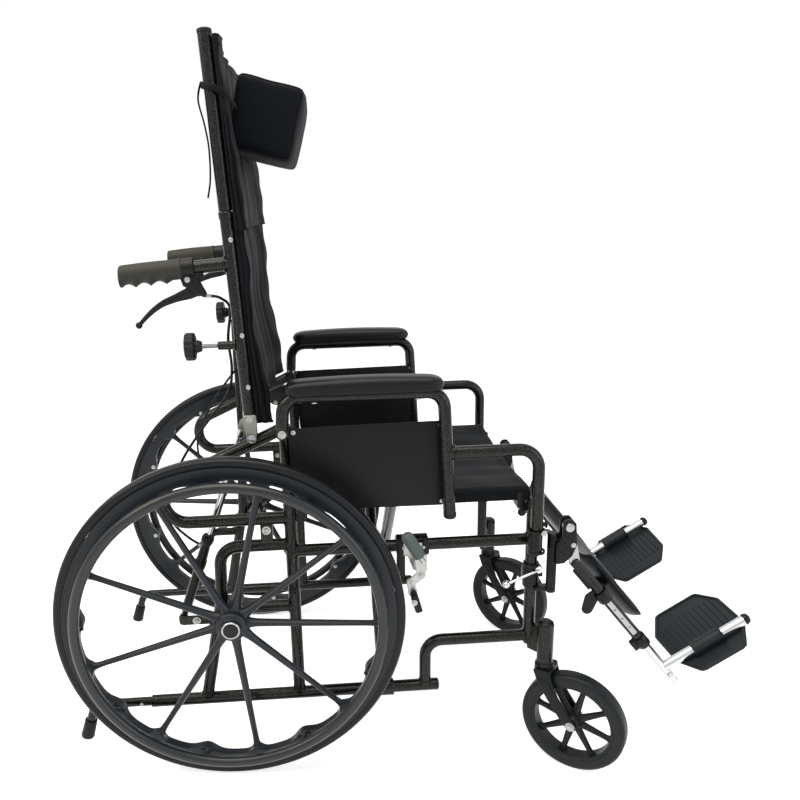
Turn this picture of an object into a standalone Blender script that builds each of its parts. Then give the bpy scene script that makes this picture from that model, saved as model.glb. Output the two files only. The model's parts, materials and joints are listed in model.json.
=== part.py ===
"""Reclining wheelchair with elevating legrests, in metres, +X forward, +Y to its left and +Z up.

Every piece is drawn on a level chair and parented to one empty, which pitches the whole chair
nose-up about the rear axle until the casters and the rear wheels stand on the floor together.
A moving piece has its origin on the axis that it turns about.
"""

import math

import bmesh
import bpy
from mathutils import Matrix, Vector

# Stance of the chair
NOSE_UP = math.radians(3.90)
STANCE_SHIFT = (-0.3350, 0.0086)
REAR_WHEEL_RADIUS = 0.305
RIGHT = -1
LEFT = 1
SIDE_NAMES = {RIGHT: "right", LEFT: "left"}
FIT = 0.0003

# Planes across the chair, measured from its middle
FRAME_Y = 0.214
SEAT_RAIL_Y = 0.200
CYLINDER_Y = 0.190
ARM_Y = 0.250
BARREL_Y = 0.243
LEGREST_Y = 0.235
WHEEL_Y = 0.283
HANDRIM_Y = 0.315
LOCK_Y = 0.262

# Side frame, seen from the side
TUBE = 0.0111
PIN = 0.0040
TRIGGER_PIN = 0.0028
FOOT_PIN = 0.0032
LOWER_RAIL_Z = 0.108
LOWER_RAIL_X = (-0.172, 0.3715)
UPRIGHT_X = 0.107
UPRIGHT_TOP_Z = 0.640
MID_RAIL_Z = 0.403
POST_X = 0.548
POST_Z = (0.190, 0.478)
LOOP_TOP_Z = 0.417
AXLE_TUBE_Z = 0.294
HAIRPIN_Z = 0.468
BARREL_X = 0.572
BARREL_Z = (0.163, 0.247)
SOCKET_X = 0.546

# Pivots, seen from the side
RECLINE_PIVOT = (0.050, 0.622)
CYLINDER_FOOT = (-0.103, 0.2675)
ROD_TOP = (0.033, 0.638)
ROD_RADIUS = 0.0040
ARM_PIVOT = (0.104, 0.637)
LOCK_PIVOT = (0.336, 0.366)
SHOE_PIVOT = (0.318, 0.352)
SWING_POST_X = 0.580
LEG_PIVOT = (0.6076, 0.4356)
LATCH_PIVOT = (0.5590, 0.3470)
TRIGGER_PIVOT = (-0.036, 0.894)

# Back, handles and head extension
CANE_FOOT = (0.0503, 0.6214)
CANE_LEAN = -0.0472
CANE_JOIN_Z = 0.999
HEAD_TOP_Z = 1.2637
HANDLE_Z = 0.9175
HANDLE_SLOPE = math.radians(4.4)
GRIP_X = (-0.145, -0.046)
KNOB_Z = 0.783
KNOB_STUD = 0.0038
SPIGOT = 0.0084
SPREADER_LEAN = math.radians(-8.7)
SPREADER_LENGTH = 0.310

# Seat and cross brace
SEAT_RAIL_Z = 0.489
SEAT_RAIL_X = (0.125, 0.5445)
BRACE_X = (0.268, 0.292)

# Wheels
TYRE_BED = 0.2895
SPOKES = 9
SPOKE_PHASE = {RIGHT: -NOSE_UP, LEFT: math.radians(20.0) - NOSE_UP}
HANDRIM_RADIUS = 0.2625
HANDRIM_TUBE = 0.0092
AXLE_RADIUS = 0.006
TIPPER_TUBE = 0.0084
CASTER_RADIUS = 0.098
CASTER_HALF_WIDTH = 0.0150
CASTER_TRAIL = 0.0606
CASTER_SWIVEL = {RIGHT: math.radians(-34.8), LEFT: math.radians(-41.3)}
CASTER_SPOKES = 8

# Legrest, measured along its tube from the ratchet down to the foot
LEG_SLOPE = math.radians(51.5)
LEG_START = (0.624, 0.361)
LEG_TUBE = 0.0100
LEG_INNER = 0.0078
LEG_LENGTH = 0.226
FOOT_TUBE = 0.0095
FOOT_SLOPE = math.radians(31.5)
FOOT_START = (0.8095, 0.1295)
FOOT_LENGTH = 0.179

CHAIR = bpy.data.objects.new("chair_stance", None)


def material(name, colour, roughness, metallic):
    """Return a Principled material of one colour."""
    made = bpy.data.materials.new(name)
    made.use_nodes = True
    shader = made.node_tree.nodes["Principled BSDF"]
    shader.inputs["Base Color"].default_value = (*colour, 1.0)
    shader.inputs["Roughness"].default_value = roughness
    shader.inputs["Metallic"].default_value = metallic
    made.diffuse_color = (*colour, 1.0)
    return made


def clear_scene():
    """Remove what the opened file holds and hang the stance empty in the scene."""
    for obj in list(bpy.data.objects):
        if obj != CHAIR:
            bpy.data.objects.remove(obj)
    bpy.context.scene.collection.objects.link(CHAIR)
    axle = Matrix.Translation((0.0, 0.0, REAR_WHEEL_RADIUS))
    shift = Matrix.Translation((*STANCE_SHIFT, 0.0))
    CHAIR.matrix_world = shift @ axle @ Matrix.Rotation(-NOSE_UP, 4, "Y") @ axle.inverted()


def place(side, x, y, z):
    """Return a point at distance y from the chair's middle, on the given side."""
    return Vector((x, side * y, z))


def temporary(data):
    """Put data in the scene as an object that a later step consumes."""
    obj = bpy.data.objects.new("shape", data)
    bpy.context.scene.collection.objects.link(obj)
    return obj


def as_mesh(obj, weld=0.000001):
    """Replace obj by a mesh of its evaluated shape, drawn in the scene's axes and welded."""
    graph = bpy.context.evaluated_depsgraph_get()
    mesh = bpy.data.meshes.new_from_object(obj.evaluated_get(graph))
    mesh.transform(obj.matrix_world)
    bpy.data.objects.remove(obj)
    shape = bmesh.new()
    shape.from_mesh(mesh)
    bmesh.ops.remove_doubles(shape, verts=shape.verts, dist=weld)
    bmesh.ops.recalc_face_normals(shape, faces=shape.faces)
    shape.to_mesh(mesh)
    shape.free()
    return temporary(mesh)


def from_bmesh(shape, matrix):
    """Turn a bmesh into an object after moving it by matrix."""
    bmesh.ops.transform(shape, matrix=matrix, verts=shape.verts)
    mesh = bpy.data.meshes.new("shape")
    shape.to_mesh(mesh)
    shape.free()
    return temporary(mesh)


def frame_along(direction, centre):
    """Return the matrix that puts local +Z along direction and the origin at centre."""
    turn = Vector(direction).to_track_quat("Z", "Y").to_matrix().to_4x4()
    return Matrix.Translation(centre) @ turn


def boolean(body, tool, operation):
    """Join tool to body, or cut it away, and remove tool."""
    modifier = body.modifiers.new("boolean", "BOOLEAN")
    modifier.operation = operation
    modifier.solver = "EXACT"
    modifier.object = tool
    made = as_mesh(body)
    bpy.data.objects.remove(tool)
    return made


def union(*pieces):
    """Fuse all the pieces into one body."""
    body = pieces[0]
    for piece in pieces[1:]:
        body = boolean(body, piece, "UNION")
    return body


def cut(body, *tools):
    """Cut each tool out of body."""
    for tool in tools:
        body = boolean(body, tool, "DIFFERENCE")
    return body


def rounded(corners, bend, steps=3):
    """Return the path through corners with each inner corner replaced by an arc of radius bend."""
    points = [Vector(corners[0])]
    for before, corner, after in zip(corners, corners[1:], corners[2:]):
        here = Vector(corner)
        back = (Vector(before) - here).normalized()
        ahead = (Vector(after) - here).normalized()
        half = back.angle(ahead) / 2.0
        reach = bend / math.tan(half)
        centre = here + (back + ahead).normalized() * (bend / math.sin(half))
        start = here + back * reach - centre
        end = here + ahead * reach - centre
        turn = start.rotation_difference(end)
        for step in range(steps + 1):
            part = Matrix.Rotation(turn.angle * step / steps, 3, turn.axis)
            points.append(centre + part @ start)
    points.append(Vector(corners[-1]))
    return points


def tube(corners, radius=TUBE, bend=0.0, resolution=2, steps=3):
    """Sweep a round section along a path whose corners are bent to an arc."""
    points = rounded(corners, bend, steps) if bend else [Vector(corner) for corner in corners]
    curve = bpy.data.curves.new("tube", "CURVE")
    curve.dimensions = "3D"
    curve.bevel_depth = radius
    curve.bevel_resolution = resolution
    curve.use_fill_caps = True
    spline = curve.splines.new("POLY")
    spline.points.add(len(points) - 1)
    for knot, point in zip(spline.points, points):
        knot.co = (*point, 1.0)
    return as_mesh(temporary(curve))


def rod(start, end, radius, end_radius=None, sides=8):
    """Make a round bar, or a cone where the end radius differs."""
    start = Vector(start)
    end = Vector(end)
    shape = bmesh.new()
    bmesh.ops.create_cone(
        shape,
        cap_ends=True,
        segments=sides,
        radius1=radius,
        radius2=radius if end_radius is None else end_radius,
        depth=(end - start).length,
    )
    return from_bmesh(shape, frame_along(end - start, (start + end) / 2.0))


def clearance(radius, sides=8):
    """Return the radius of a bore with that many sides that leaves the fit round a shaft."""
    return (radius + FIT) / math.cos(math.pi / sides)


def cross_pin(side, x, z, inner, outer, radius, sides=8):
    """Make a round bar across the chair, from y inner to y outer on one side."""
    return rod(place(side, x, inner, z), place(side, x, outer, z), radius, sides=sides)


def ball(centre, radius, sides=8):
    """Make a sphere."""
    shape = bmesh.new()
    bmesh.ops.create_uvsphere(shape, u_segments=sides, v_segments=sides // 2 + 1, radius=radius)
    return from_bmesh(shape, Matrix.Translation(centre))


def box(centre, size, turn=0.0, bevel=0.0, segments=1):
    """Make a block, turned nose-down about Y by turn, with its edges rounded by bevel."""
    shape = bmesh.new()
    bmesh.ops.create_cube(shape, size=1.0)
    bmesh.ops.scale(shape, vec=size, verts=shape.verts)
    obj = from_bmesh(shape, Matrix.Translation(centre) @ Matrix.Rotation(turn, 4, "Y"))
    if bevel:
        modifier = obj.modifiers.new("round edges", "BEVEL")
        modifier.width = bevel
        modifier.segments = segments
        obj = as_mesh(obj)
    return obj


def turned(profile, centre, axis, sides, closed=False):
    """Turn (radius, height) points, listed down the outer side, about an axis through centre."""
    mesh = bpy.data.meshes.new("profile")
    edges = [(i, i + 1) for i in range(len(profile) - 1)]
    if closed:
        edges.append((len(profile) - 1, 0))
    mesh.from_pydata([(radius, 0.0, height) for radius, height in profile], edges, [])
    obj = temporary(mesh)
    obj.matrix_world = frame_along(axis, centre)
    screw = obj.modifiers.new("turn", "SCREW")
    screw.steps = sides
    screw.render_steps = sides
    screw.use_merge_vertices = True
    screw.merge_threshold = 0.00001
    bpy.context.view_layer.update()
    return as_mesh(obj)


def plate(outlines, thickness, matrix):
    """Extrude an outline, less the holes that follow it, by thickness about the local XY plane."""
    curve = bpy.data.curves.new("plate", "CURVE")
    curve.dimensions = "2D"
    curve.fill_mode = "BOTH"
    curve.extrude = thickness / 2.0
    for outline in outlines:
        spline = curve.splines.new("POLY")
        spline.points.add(len(outline) - 1)
        for knot, (u, v) in zip(spline.points, outline):
            knot.co = (u, v, 0.0, 1.0)
        spline.use_cyclic_u = True
    obj = temporary(curve)
    obj.matrix_world = matrix
    bpy.context.view_layer.update()
    return as_mesh(obj)


def side_plate(outlines, y, thickness):
    """Extrude (x, z) outlines into an upright plate whose middle lies at y."""
    upright = Matrix.Rotation(math.radians(90.0), 4, "X")
    return plate(outlines, thickness, Matrix.Translation((0.0, y, 0.0)) @ upright)


def circle(u, v, radius, count=8):
    """Return the points of a circle."""
    turns = [2.0 * math.pi * i / count for i in range(count)]
    return [(u + radius * math.cos(turn), v + radius * math.sin(turn)) for turn in turns]


def hull_outline(discs, count=12):
    """Return the outline of the band stretched round several (u, v, radius) discs."""
    points = [point for u, v, radius in discs for point in circle(u, v, radius, count)]
    points.sort()
    chains = []
    for run in (points, points[::-1]):
        chain = []
        for point in run:
            while len(chain) > 1 and turns_right(chain[-2], chain[-1], point):
                chain.pop()
            chain.append(point)
        chains.extend(chain[:-1])
    return chains


def turns_right(first, second, third):
    """Tell whether a path through three points fails to turn left."""
    ahead = (second[0] - first[0], second[1] - first[1])
    beyond = (third[0] - first[0], third[1] - first[1])
    return ahead[0] * beyond[1] - ahead[1] * beyond[0] <= 1e-10


def loft(sections, around=False):
    """Skin a closed solid through rings of points, capped at both ends or joined end to end."""
    shape = bmesh.new()
    rings = [[shape.verts.new(point) for point in ring] for ring in sections]
    followers = rings[1:] + rings[:1] if around else rings[1:]
    for ring, following in zip(rings, followers):
        for i in range(len(ring)):
            j = (i + 1) % len(ring)
            shape.faces.new((ring[i], ring[j], following[j], following[i]))
    if not around:
        shape.faces.new(rings[0])
        shape.faces.new(rings[-1])
    bmesh.ops.recalc_face_normals(shape, faces=shape.faces)
    bmesh.ops.triangulate(shape, faces=[face for face in shape.faces if len(face.verts) > 4])
    return from_bmesh(shape, Matrix.Identity(4))


def subdivided(obj, levels):
    """Smooth a coarse cage with Subdivision Surface."""
    modifier = obj.modifiers.new("soften", "SUBSURF")
    modifier.levels = levels
    modifier.render_levels = levels
    return as_mesh(obj)


def dissolve_flat(mesh):
    """Merge faces that lie in one plane, which joins leave in pieces."""
    shape = bmesh.new()
    shape.from_mesh(mesh)
    bmesh.ops.dissolve_limit(
        shape, angle_limit=math.radians(0.2), verts=shape.verts, edges=shape.edges
    )
    shape.to_mesh(mesh)
    shape.free()


def part(name, body, surface, pivot=(0.0, 0.0, 0.0), smooth=40.0):
    """Name a finished body, set its origin on its pivot and hang it on the stance empty."""
    dissolve_flat(body.data)
    body.data.transform(Matrix.Translation(-Vector(pivot)))
    body.name = name
    body.data.name = name
    body.data.materials.clear()
    body.data.materials.append(surface)
    body.data.shade_smooth()
    body.data.set_sharp_from_angle(angle=math.radians(smooth))
    bpy.context.scene.collection.objects.unlink(body)
    PARTS.objects.link(body)
    body.parent = CHAIR
    body.location = pivot
    return body


def cane_x(z):
    """Return where the leaning back cane stands at height z."""
    return CANE_FOOT[0] + CANE_LEAN * (z - CANE_FOOT[1])


def cane_point(side, z, forward=0.0):
    """Return a point on the axis of a back cane, or forward of it."""
    return place(side, cane_x(z) + forward, FRAME_Y, z)


def frame_tubes(side):
    """Return the tubes of a side frame, whose radii differ a little where two meet in one plane."""
    runs = [
        (0.0111, 0.0, [(LOWER_RAIL_X[0], LOWER_RAIL_Z), (LOWER_RAIL_X[1], LOWER_RAIL_Z)]),
        (0.0112, 0.0, [(UPRIGHT_X, LOWER_RAIL_Z), (UPRIGHT_X, UPRIGHT_TOP_Z)]),
        (0.0110, 0.034, [(UPRIGHT_X, LOOP_TOP_Z), (-0.0215, LOOP_TOP_Z), (-0.0255, 0.316),
                         (-0.068, LOWER_RAIL_Z + 0.002)]),
        (0.0108, 0.0, [(-0.031, AXLE_TUBE_Z), (UPRIGHT_X, AXLE_TUBE_Z)]),
        (0.0109, 0.0, [(UPRIGHT_X, MID_RAIL_Z), (POST_X, MID_RAIL_Z)]),
        (0.0111, 0.0, [(POST_X, POST_Z[0]), (POST_X, POST_Z[1])]),
        (0.0109, 0.032, [(POST_X, 0.2035), (0.349, 0.2035), (0.348, LOWER_RAIL_Z)]),
        (0.0109, 0.0405, [(UPRIGHT_X, 0.6365), (-0.1125, 0.5370), (-0.1125, HAIRPIN_Z),
                          (UPRIGHT_X, HAIRPIN_Z)]),
    ]
    return [tube([place(side, x, FRAME_Y, z) for x, z in corners], radius, bend)
            for radius, bend, corners in runs]


def frame_barrel(side):
    """Return the caster barrel with its bore, its cap and the gusset to the front post."""
    low, high = BARREL_Z
    barrel = turned(
        [(0.0, high), (0.0135, high), (0.0156, high - 0.004), (0.0150, low), (0.0078, low),
         (0.0078, high - 0.008), (0.0, high - 0.008)],
        place(side, BARREL_X, BARREL_Y, 0.0),
        (0.0, 0.0, 1.0),
        10,
    )
    middle = place(side, (BARREL_X + POST_X) / 2.0, (BARREL_Y + FRAME_Y) / 2.0, 0.0)
    gap = place(side, BARREL_X, BARREL_Y, 0.0) - place(side, POST_X, FRAME_Y, 0.0)
    shape = bmesh.new()
    bmesh.ops.create_cube(shape, size=1.0)
    bmesh.ops.scale(shape, vec=(gap.length - 0.018, 0.012, 0.050), verts=shape.verts)
    turn = Matrix.Rotation(math.atan2(gap.y, gap.x), 4, "Z")
    gusset = from_bmesh(shape, Matrix.Translation(middle + Vector((0, 0, 0.204))) @ turn)
    return [barrel, gusset]


def frame_brackets(side):
    """Return the axle housing, the pivot lugs and the seats of what hangs on a side frame."""
    recline_x, recline_z = RECLINE_PIVOT
    foot_x, foot_z = CYLINDER_FOOT
    arm_x, arm_z = ARM_PIVOT
    axle_z = REAR_WHEEL_RADIUS
    pieces = [
        cross_pin(side, 0.0, axle_z, 0.196, 0.2400, 0.0135, 10),
        cross_pin(side, 0.0, axle_z, 0.190, WHEEL_Y + 0.0152, AXLE_RADIUS),
        cross_pin(side, recline_x, recline_z, FRAME_Y - 0.0112, FRAME_Y + 0.0112, 0.0090),
        cross_pin(side, recline_x, recline_z, FRAME_Y - 0.0180, FRAME_Y + 0.0180, PIN, 6),
        cross_pin(side, arm_x, arm_z, 0.210, 0.2645, PIN, 6),
        cross_pin(side, arm_x, arm_z, 0.218, 0.2380, 0.0085, 6),
        box(place(side, 0.064, FRAME_Y, 0.4425), (0.020, 0.012, 0.036)),
        box(place(side, -0.0705, 0.2005, 0.2665), (0.078, 0.0046, 0.018)),
        box(place(side, -0.0450, 0.2060, 0.2660), (0.016, 0.0104, 0.0156)),
        cross_pin(side, foot_x, foot_z, 0.2010, 0.1835, FOOT_PIN, 6),
    ]
    return pieces


def frame_seats(side):
    """Return the seat guides, the armrest receiver, the wheel lock plate and the latch clamp."""
    guide_y = SEAT_RAIL_Y
    pieces = []
    for x in (0.1305, 0.5265):
        middle = place(side, x, guide_y, SEAT_RAIL_Z)
        across = Matrix(((0, 0, 1, 0), (1, 0, 0, 0), (0, 1, 0, 0), (0, 0, 0, 1)))
        outline = [(-0.0152, 0.0060), (-0.0124, 0.0060), (-0.0124, -0.0122), (0.0124, -0.0122),
                   (0.0124, 0.0060), (0.0152, 0.0060), (0.0152, -0.0240), (-0.0152, -0.0240)]
        pieces.append(plate([outline], 0.0150, Matrix.Translation(middle) @ across))
    pieces.append(box(place(side, 0.1255, 0.2075, 0.4660), (0.018, 0.015, 0.014)))
    pieces.append(box(place(side, 0.5335, 0.2075, 0.4660), (0.020, 0.015, 0.014)))
    arc = [math.radians(90.0 + 45.0 * i) for i in range(5)]
    shell = [(0.0156 * math.cos(turn), 0.0156 * math.sin(turn)) for turn in arc]
    shell += [(0.0126 * math.cos(turn), 0.0126 * math.sin(turn)) for turn in arc[::-1]]
    receiver = plate([shell], 0.0450, Matrix.Translation(place(side, SOCKET_X, ARM_Y, 0.4135)))
    pieces.append(receiver)
    pieces.append(box(place(side, 0.5465, 0.2300, 0.4080), (0.016, 0.016, 0.034)))
    pieces.extend(lock_mount(side))
    pieces.extend(latch_clamp(side))
    return pieces


def lock_mount(side):
    """Return the bracket of the wheel lock, clamped round the middle rail, and its pivot pins."""
    lock_x, lock_z = LOCK_PIVOT
    outline = [(0.300, 0.3935), (0.300, 0.4125), (0.352, 0.4125), (0.352, 0.3560), (0.343, 0.3500),
               (0.326, 0.3600), (0.316, 0.3860)]
    return [
        side_plate([outline], side * (FRAME_Y + 0.0122), 0.0050),
        cross_pin(side, lock_x, lock_z, FRAME_Y + 0.012, LOCK_Y + 0.0075, FOOT_PIN, 6),
    ]


def latch_clamp(side):
    """Return the clamp that carries the legrest latch and the saddles under the swing post."""
    low = 0.3080
    high = 0.3560
    clamp = rod(place(side, POST_X, FRAME_Y, low), place(side, POST_X, FRAME_Y, high), 0.0150)
    latch_x, latch_z = LATCH_PIVOT
    x = SWING_POST_X
    y = LEGREST_Y
    return [
        clamp,
        box(place(side, latch_x, 0.2180, 0.3400), (0.016, 0.018, 0.018)),
        cross_pin(side, latch_x, latch_z, 0.222, 0.2285, 0.0042, 6),
        box(place(side, 0.5660, 0.2260, 0.3090), (0.030, 0.017, 0.007)),
        rod(place(side, x, y, 0.3050), place(side, x, y, 0.3135), 0.0090),
        rod(place(side, x, y, 0.3100), place(side, x, y, 0.3480), 0.0048, sides=6),
        box(place(side, 0.5650, 0.2250, 0.4200), (0.030, 0.015, 0.005)),
        rod(place(side, x, y, 0.4170), place(side, x, y, 0.4230), 0.0090),
        rod(place(side, x, y, 0.3850), place(side, x, y, 0.4200), 0.0048, sides=6),
    ]


def side_frame(side):
    """Build one welded side frame, with the rear bore that takes the anti-tipper."""
    pieces = frame_tubes(side)
    pieces.extend(frame_barrel(side))
    pieces.extend(frame_brackets(side))
    pieces.extend(frame_seats(side))
    bore = rod(
        place(side, -0.200, FRAME_Y, LOWER_RAIL_Z),
        place(side, -0.095, FRAME_Y, LOWER_RAIL_Z),
        clearance(TIPPER_TUBE),
    )
    body = cut(union(*pieces), bore)
    part(f"side_frame_{SIDE_NAMES[side]}", body, FRAME_COAT)


def cross_brace(foot_side, x, name):
    """Build one half of the folding X: a sleeve on a lower rail, a tube and a seat rail."""
    foot = place(foot_side, x, FRAME_Y, LOWER_RAIL_Z)
    head = place(-foot_side, x, SEAT_RAIL_Y, SEAT_RAIL_Z)
    along = (head - foot).normalized()
    sleeve = rod(foot - Vector((0.019, 0, 0)), foot + Vector((0.019, 0, 0)), 0.0155, sides=10)
    leg = tube([foot + along * 0.012, head], TUBE)
    rail = tube(
        [place(-foot_side, SEAT_RAIL_X[0], SEAT_RAIL_Y, SEAT_RAIL_Z),
         place(-foot_side, SEAT_RAIL_X[1], SEAT_RAIL_Y, SEAT_RAIL_Z)],
        TUBE,
    )
    middle = brace_middle()
    bore = rod(foot - Vector((0.03, 0, 0)), foot + Vector((0.03, 0, 0)), clearance(TUBE, 10), sides=10)
    body = union(sleeve, leg, rail)
    if foot_side == RIGHT:
        reach = Vector((0.0430, 0, 0))
        bolt = rod(middle - Vector((0.016, 0, 0)), middle + reach, PIN, sides=6)
        head_one = rod(middle - Vector((0.0165, 0, 0)), middle - Vector((0.010, 0, 0)), 0.0075, sides=6)
        nut = rod(middle + reach - Vector((0.0055, 0, 0)), middle + reach, 0.0075, sides=6)
        body = union(cut(body, bore), bolt, head_one, nut)
    else:
        hole = rod(middle - Vector((0.03, 0, 0)), middle + Vector((0.06, 0, 0)), clearance(PIN))
        body = cut(body, bore, hole)
    part(name, body, FRAME_COAT, pivot=foot if foot_side == RIGHT else middle)


def brace_middle():
    """Return where the two halves of the folding X cross, in the plane of the first half."""
    rise = SEAT_RAIL_Z - LOWER_RAIL_Z
    height = LOWER_RAIL_Z + rise * FRAME_Y / (FRAME_Y + SEAT_RAIL_Y)
    return Vector((BRACE_X[0], 0.0, height))


def seat_upholstery():
    """Build the sling seat, which sags between the rails and wraps over them."""
    thick = 0.0035
    top = SEAT_RAIL_Z + TUBE + FIT + 0.0002
    sag = 0.014
    count = 8
    half = SEAT_RAIL_Y

    def surface(offset):
        points = []
        for i in range(count + 1):
            y = -half + 2.0 * half * i / count
            points.append((y, top + offset - sag * (1.0 - (y / half) ** 2)))
        return points

    wrap = TUBE + FIT + 0.0004
    upper = surface(thick)
    lower = surface(0.0)
    right = [(-half - wrap - thick, SEAT_RAIL_Z - 0.008), (-half - wrap - thick, SEAT_RAIL_Z + 0.006),
             (-half - 0.0105, top + thick - 0.002)]
    right_in = [(-half - 0.0080, top - 0.0016), (-half - wrap, SEAT_RAIL_Z + 0.004),
                (-half - wrap, SEAT_RAIL_Z - 0.008)]
    left = [(-y, z) for y, z in reversed(right)]
    left_in = [(-y, z) for y, z in reversed(right_in)]
    ring = right + upper + left + left_in + lower[::-1] + right_in
    wrapped = loft([[(x, y, z) for y, z in ring] for x in (0.142, 0.330, 0.514)])
    hem = [(y * 0.995, z) for y, z in surface(thick - 0.0004) + surface(0.0004)[::-1]]
    strips = []
    for ends in ((0.129, 0.150), (0.505, 0.541)):
        strips.append(loft([[(x, y, z) for y, z in hem] for x in ends]))
    part("seat_upholstery", union(wrapped, *strips), NYLON)


def hinge_shoe(side):
    """Return the galvanised foot of a back cane: two cheeks, a cap and the ear for the rod."""
    px, pz = RECLINE_PIVOT
    ax, az = ROD_TOP
    cx = cane_x(0.650)
    cheek = hull_outline([(px, pz, 0.0085), (cx - 0.004, 0.652, 0.008), (cx + 0.004, 0.652, 0.008)], 8)
    ear = hull_outline([(px, pz, 0.0085), (ax, az, 0.0078), (cx, 0.652, 0.010)], 8)
    pieces = []
    for y, outline in ((FRAME_Y - 0.0129, ear), (FRAME_Y + 0.0129, cheek)):
        pieces.append(side_plate([outline, circle(px, pz, clearance(PIN))], side * y, 0.0026))
    pieces.append(box(place(side, cx, FRAME_Y, 0.6535), (0.0236, 0.0268, 0.0130)))
    inboard = hull_outline([(ax, az, 0.0078), (0.0500, 0.6440, 0.0075)], 8)
    pieces.append(side_plate([inboard], side * 0.1806, 0.0026))
    pieces.append(box(place(side, 0.0518, 0.1905, 0.6440), (0.0060, 0.0200, 0.0100)))
    return pieces


def back_cane(side):
    """Build a back cane with its hinge shoe, push handle tube, knob boss and trigger cable stop."""
    foot = cane_point(side, 0.6530)
    top = cane_point(side, CANE_JOIN_Z)
    ring_low = cane_point(side, CANE_JOIN_Z - 0.012)
    along = (top - foot).normalized()
    cane = tube([foot, top], TUBE)
    ring = rod(ring_low, top + along * 0.0002, 0.0123, sides=10)
    handle = tube([cane_point(side, HANDLE_Z), handle_point(side, GRIP_X[0] + 0.006)], TUBE - 0.0002)
    boss = rod(place(side, 0.004, FRAME_Y, KNOB_Z), cane_point(side, KNOB_Z), 0.0072)
    body = union(cane, ring, handle, boss, *hinge_shoe(side))
    socket = rod(cane_point(side, 0.842), cane_point(side, CANE_JOIN_Z + 0.02), clearance(SPIGOT))
    stud_rear = place(side, -0.010, FRAME_Y, KNOB_Z)
    stud_front = place(side, 0.026, FRAME_Y, KNOB_Z)
    stud = rod(stud_rear, stud_front, clearance(KNOB_STUD))
    body = cut(body, socket, stud)
    pivot = place(side, RECLINE_PIVOT[0], FRAME_Y, RECLINE_PIVOT[1])
    part(f"back_cane_{SIDE_NAMES[side]}", body, FRAME_COAT, pivot=pivot)


def handle_point(side, x, down=0.0):
    """Return a point on the axis of a push handle, or below it."""
    start = cane_x(HANDLE_Z)
    drop = (start - x) * math.tan(HANDLE_SLOPE)
    return place(side, x, FRAME_Y, HANDLE_Z - drop - down)


def head_post(side):
    """Build the removable head extension post, with the spigot that slides into the cane."""
    join = cane_point(side, CANE_JOIN_Z + 0.0005)
    top = cane_point(side, HEAD_TOP_Z)
    post = tube([join, top], TUBE)
    spigot = rod(cane_point(side, 0.850), cane_point(side, CANE_JOIN_Z + 0.030), SPIGOT)
    cap = rod(top - (top - join).normalized() * 0.006, top + (top - join).normalized() * 0.003,
              0.0117, 0.0095)
    part(f"head_post_{SIDE_NAMES[side]}", union(post, spigot, cap), FRAME_COAT, pivot=join)


def grip(side):
    """Build a push grip with four finger scallops, and the clamp that carries its trigger."""
    sections = []
    rear, front = GRIP_X
    count = 11
    sides = 8
    length = front - rear
    for i in range(count):
        x = rear + length * i / (count - 1)
        axis = handle_point(side, x)
        share = (x - rear) / length
        wave = abs(math.sin(share * math.pi * 4.0)) if share < 0.75 else 0.25 * (1.0 - share) * 4.0
        belly = 0.0215 - 0.0055 * wave
        body = 0.0158 + 0.0012 * math.sin(share * math.pi)
        if i in (0, count - 1):
            body -= 0.0015
            belly -= 0.0015
        ring = []
        for k in range(sides):
            turn = 2.0 * math.pi * k / sides
            down = max(0.0, -math.sin(turn)) ** 2
            radius = body + (belly - body) * down
            ring.append(axis + Vector((0, radius * math.cos(turn), radius * math.sin(turn))))
        sections.append(ring)
    shape = loft(sections)
    clamp = rod(handle_point(side, -0.0500), handle_point(side, -0.0240), 0.0155)
    outline = [(-0.052, 0.905), (-0.017, 0.905), (-0.018, 0.890), (-0.0065, 0.866), (-0.012, 0.8645),
               (-0.030, 0.876), (-0.044, 0.884)]
    bracket = side_plate([outline], side * FRAME_Y, 0.0180)
    px, pz = TRIGGER_PIVOT
    slot_outline = hull_outline([(px, pz, 0.0135), (-0.030, 0.862, 0.014), (-0.004, 0.858, 0.010)], 8)
    slot = side_plate([slot_outline], side * FRAME_Y, 0.0110)
    bore = rod(handle_point(side, rear + 0.0056), handle_point(side, 0.0), clearance(TUBE))
    body = cut(union(shape, clamp, bracket), slot)
    pin = cross_pin(side, px, pz, FRAME_Y - 0.0098, FRAME_Y + 0.0098, TRIGGER_PIN, 6)
    body = cut(union(body, pin), bore)
    part(f"grip_{SIDE_NAMES[side]}", body, RUBBER)


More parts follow.
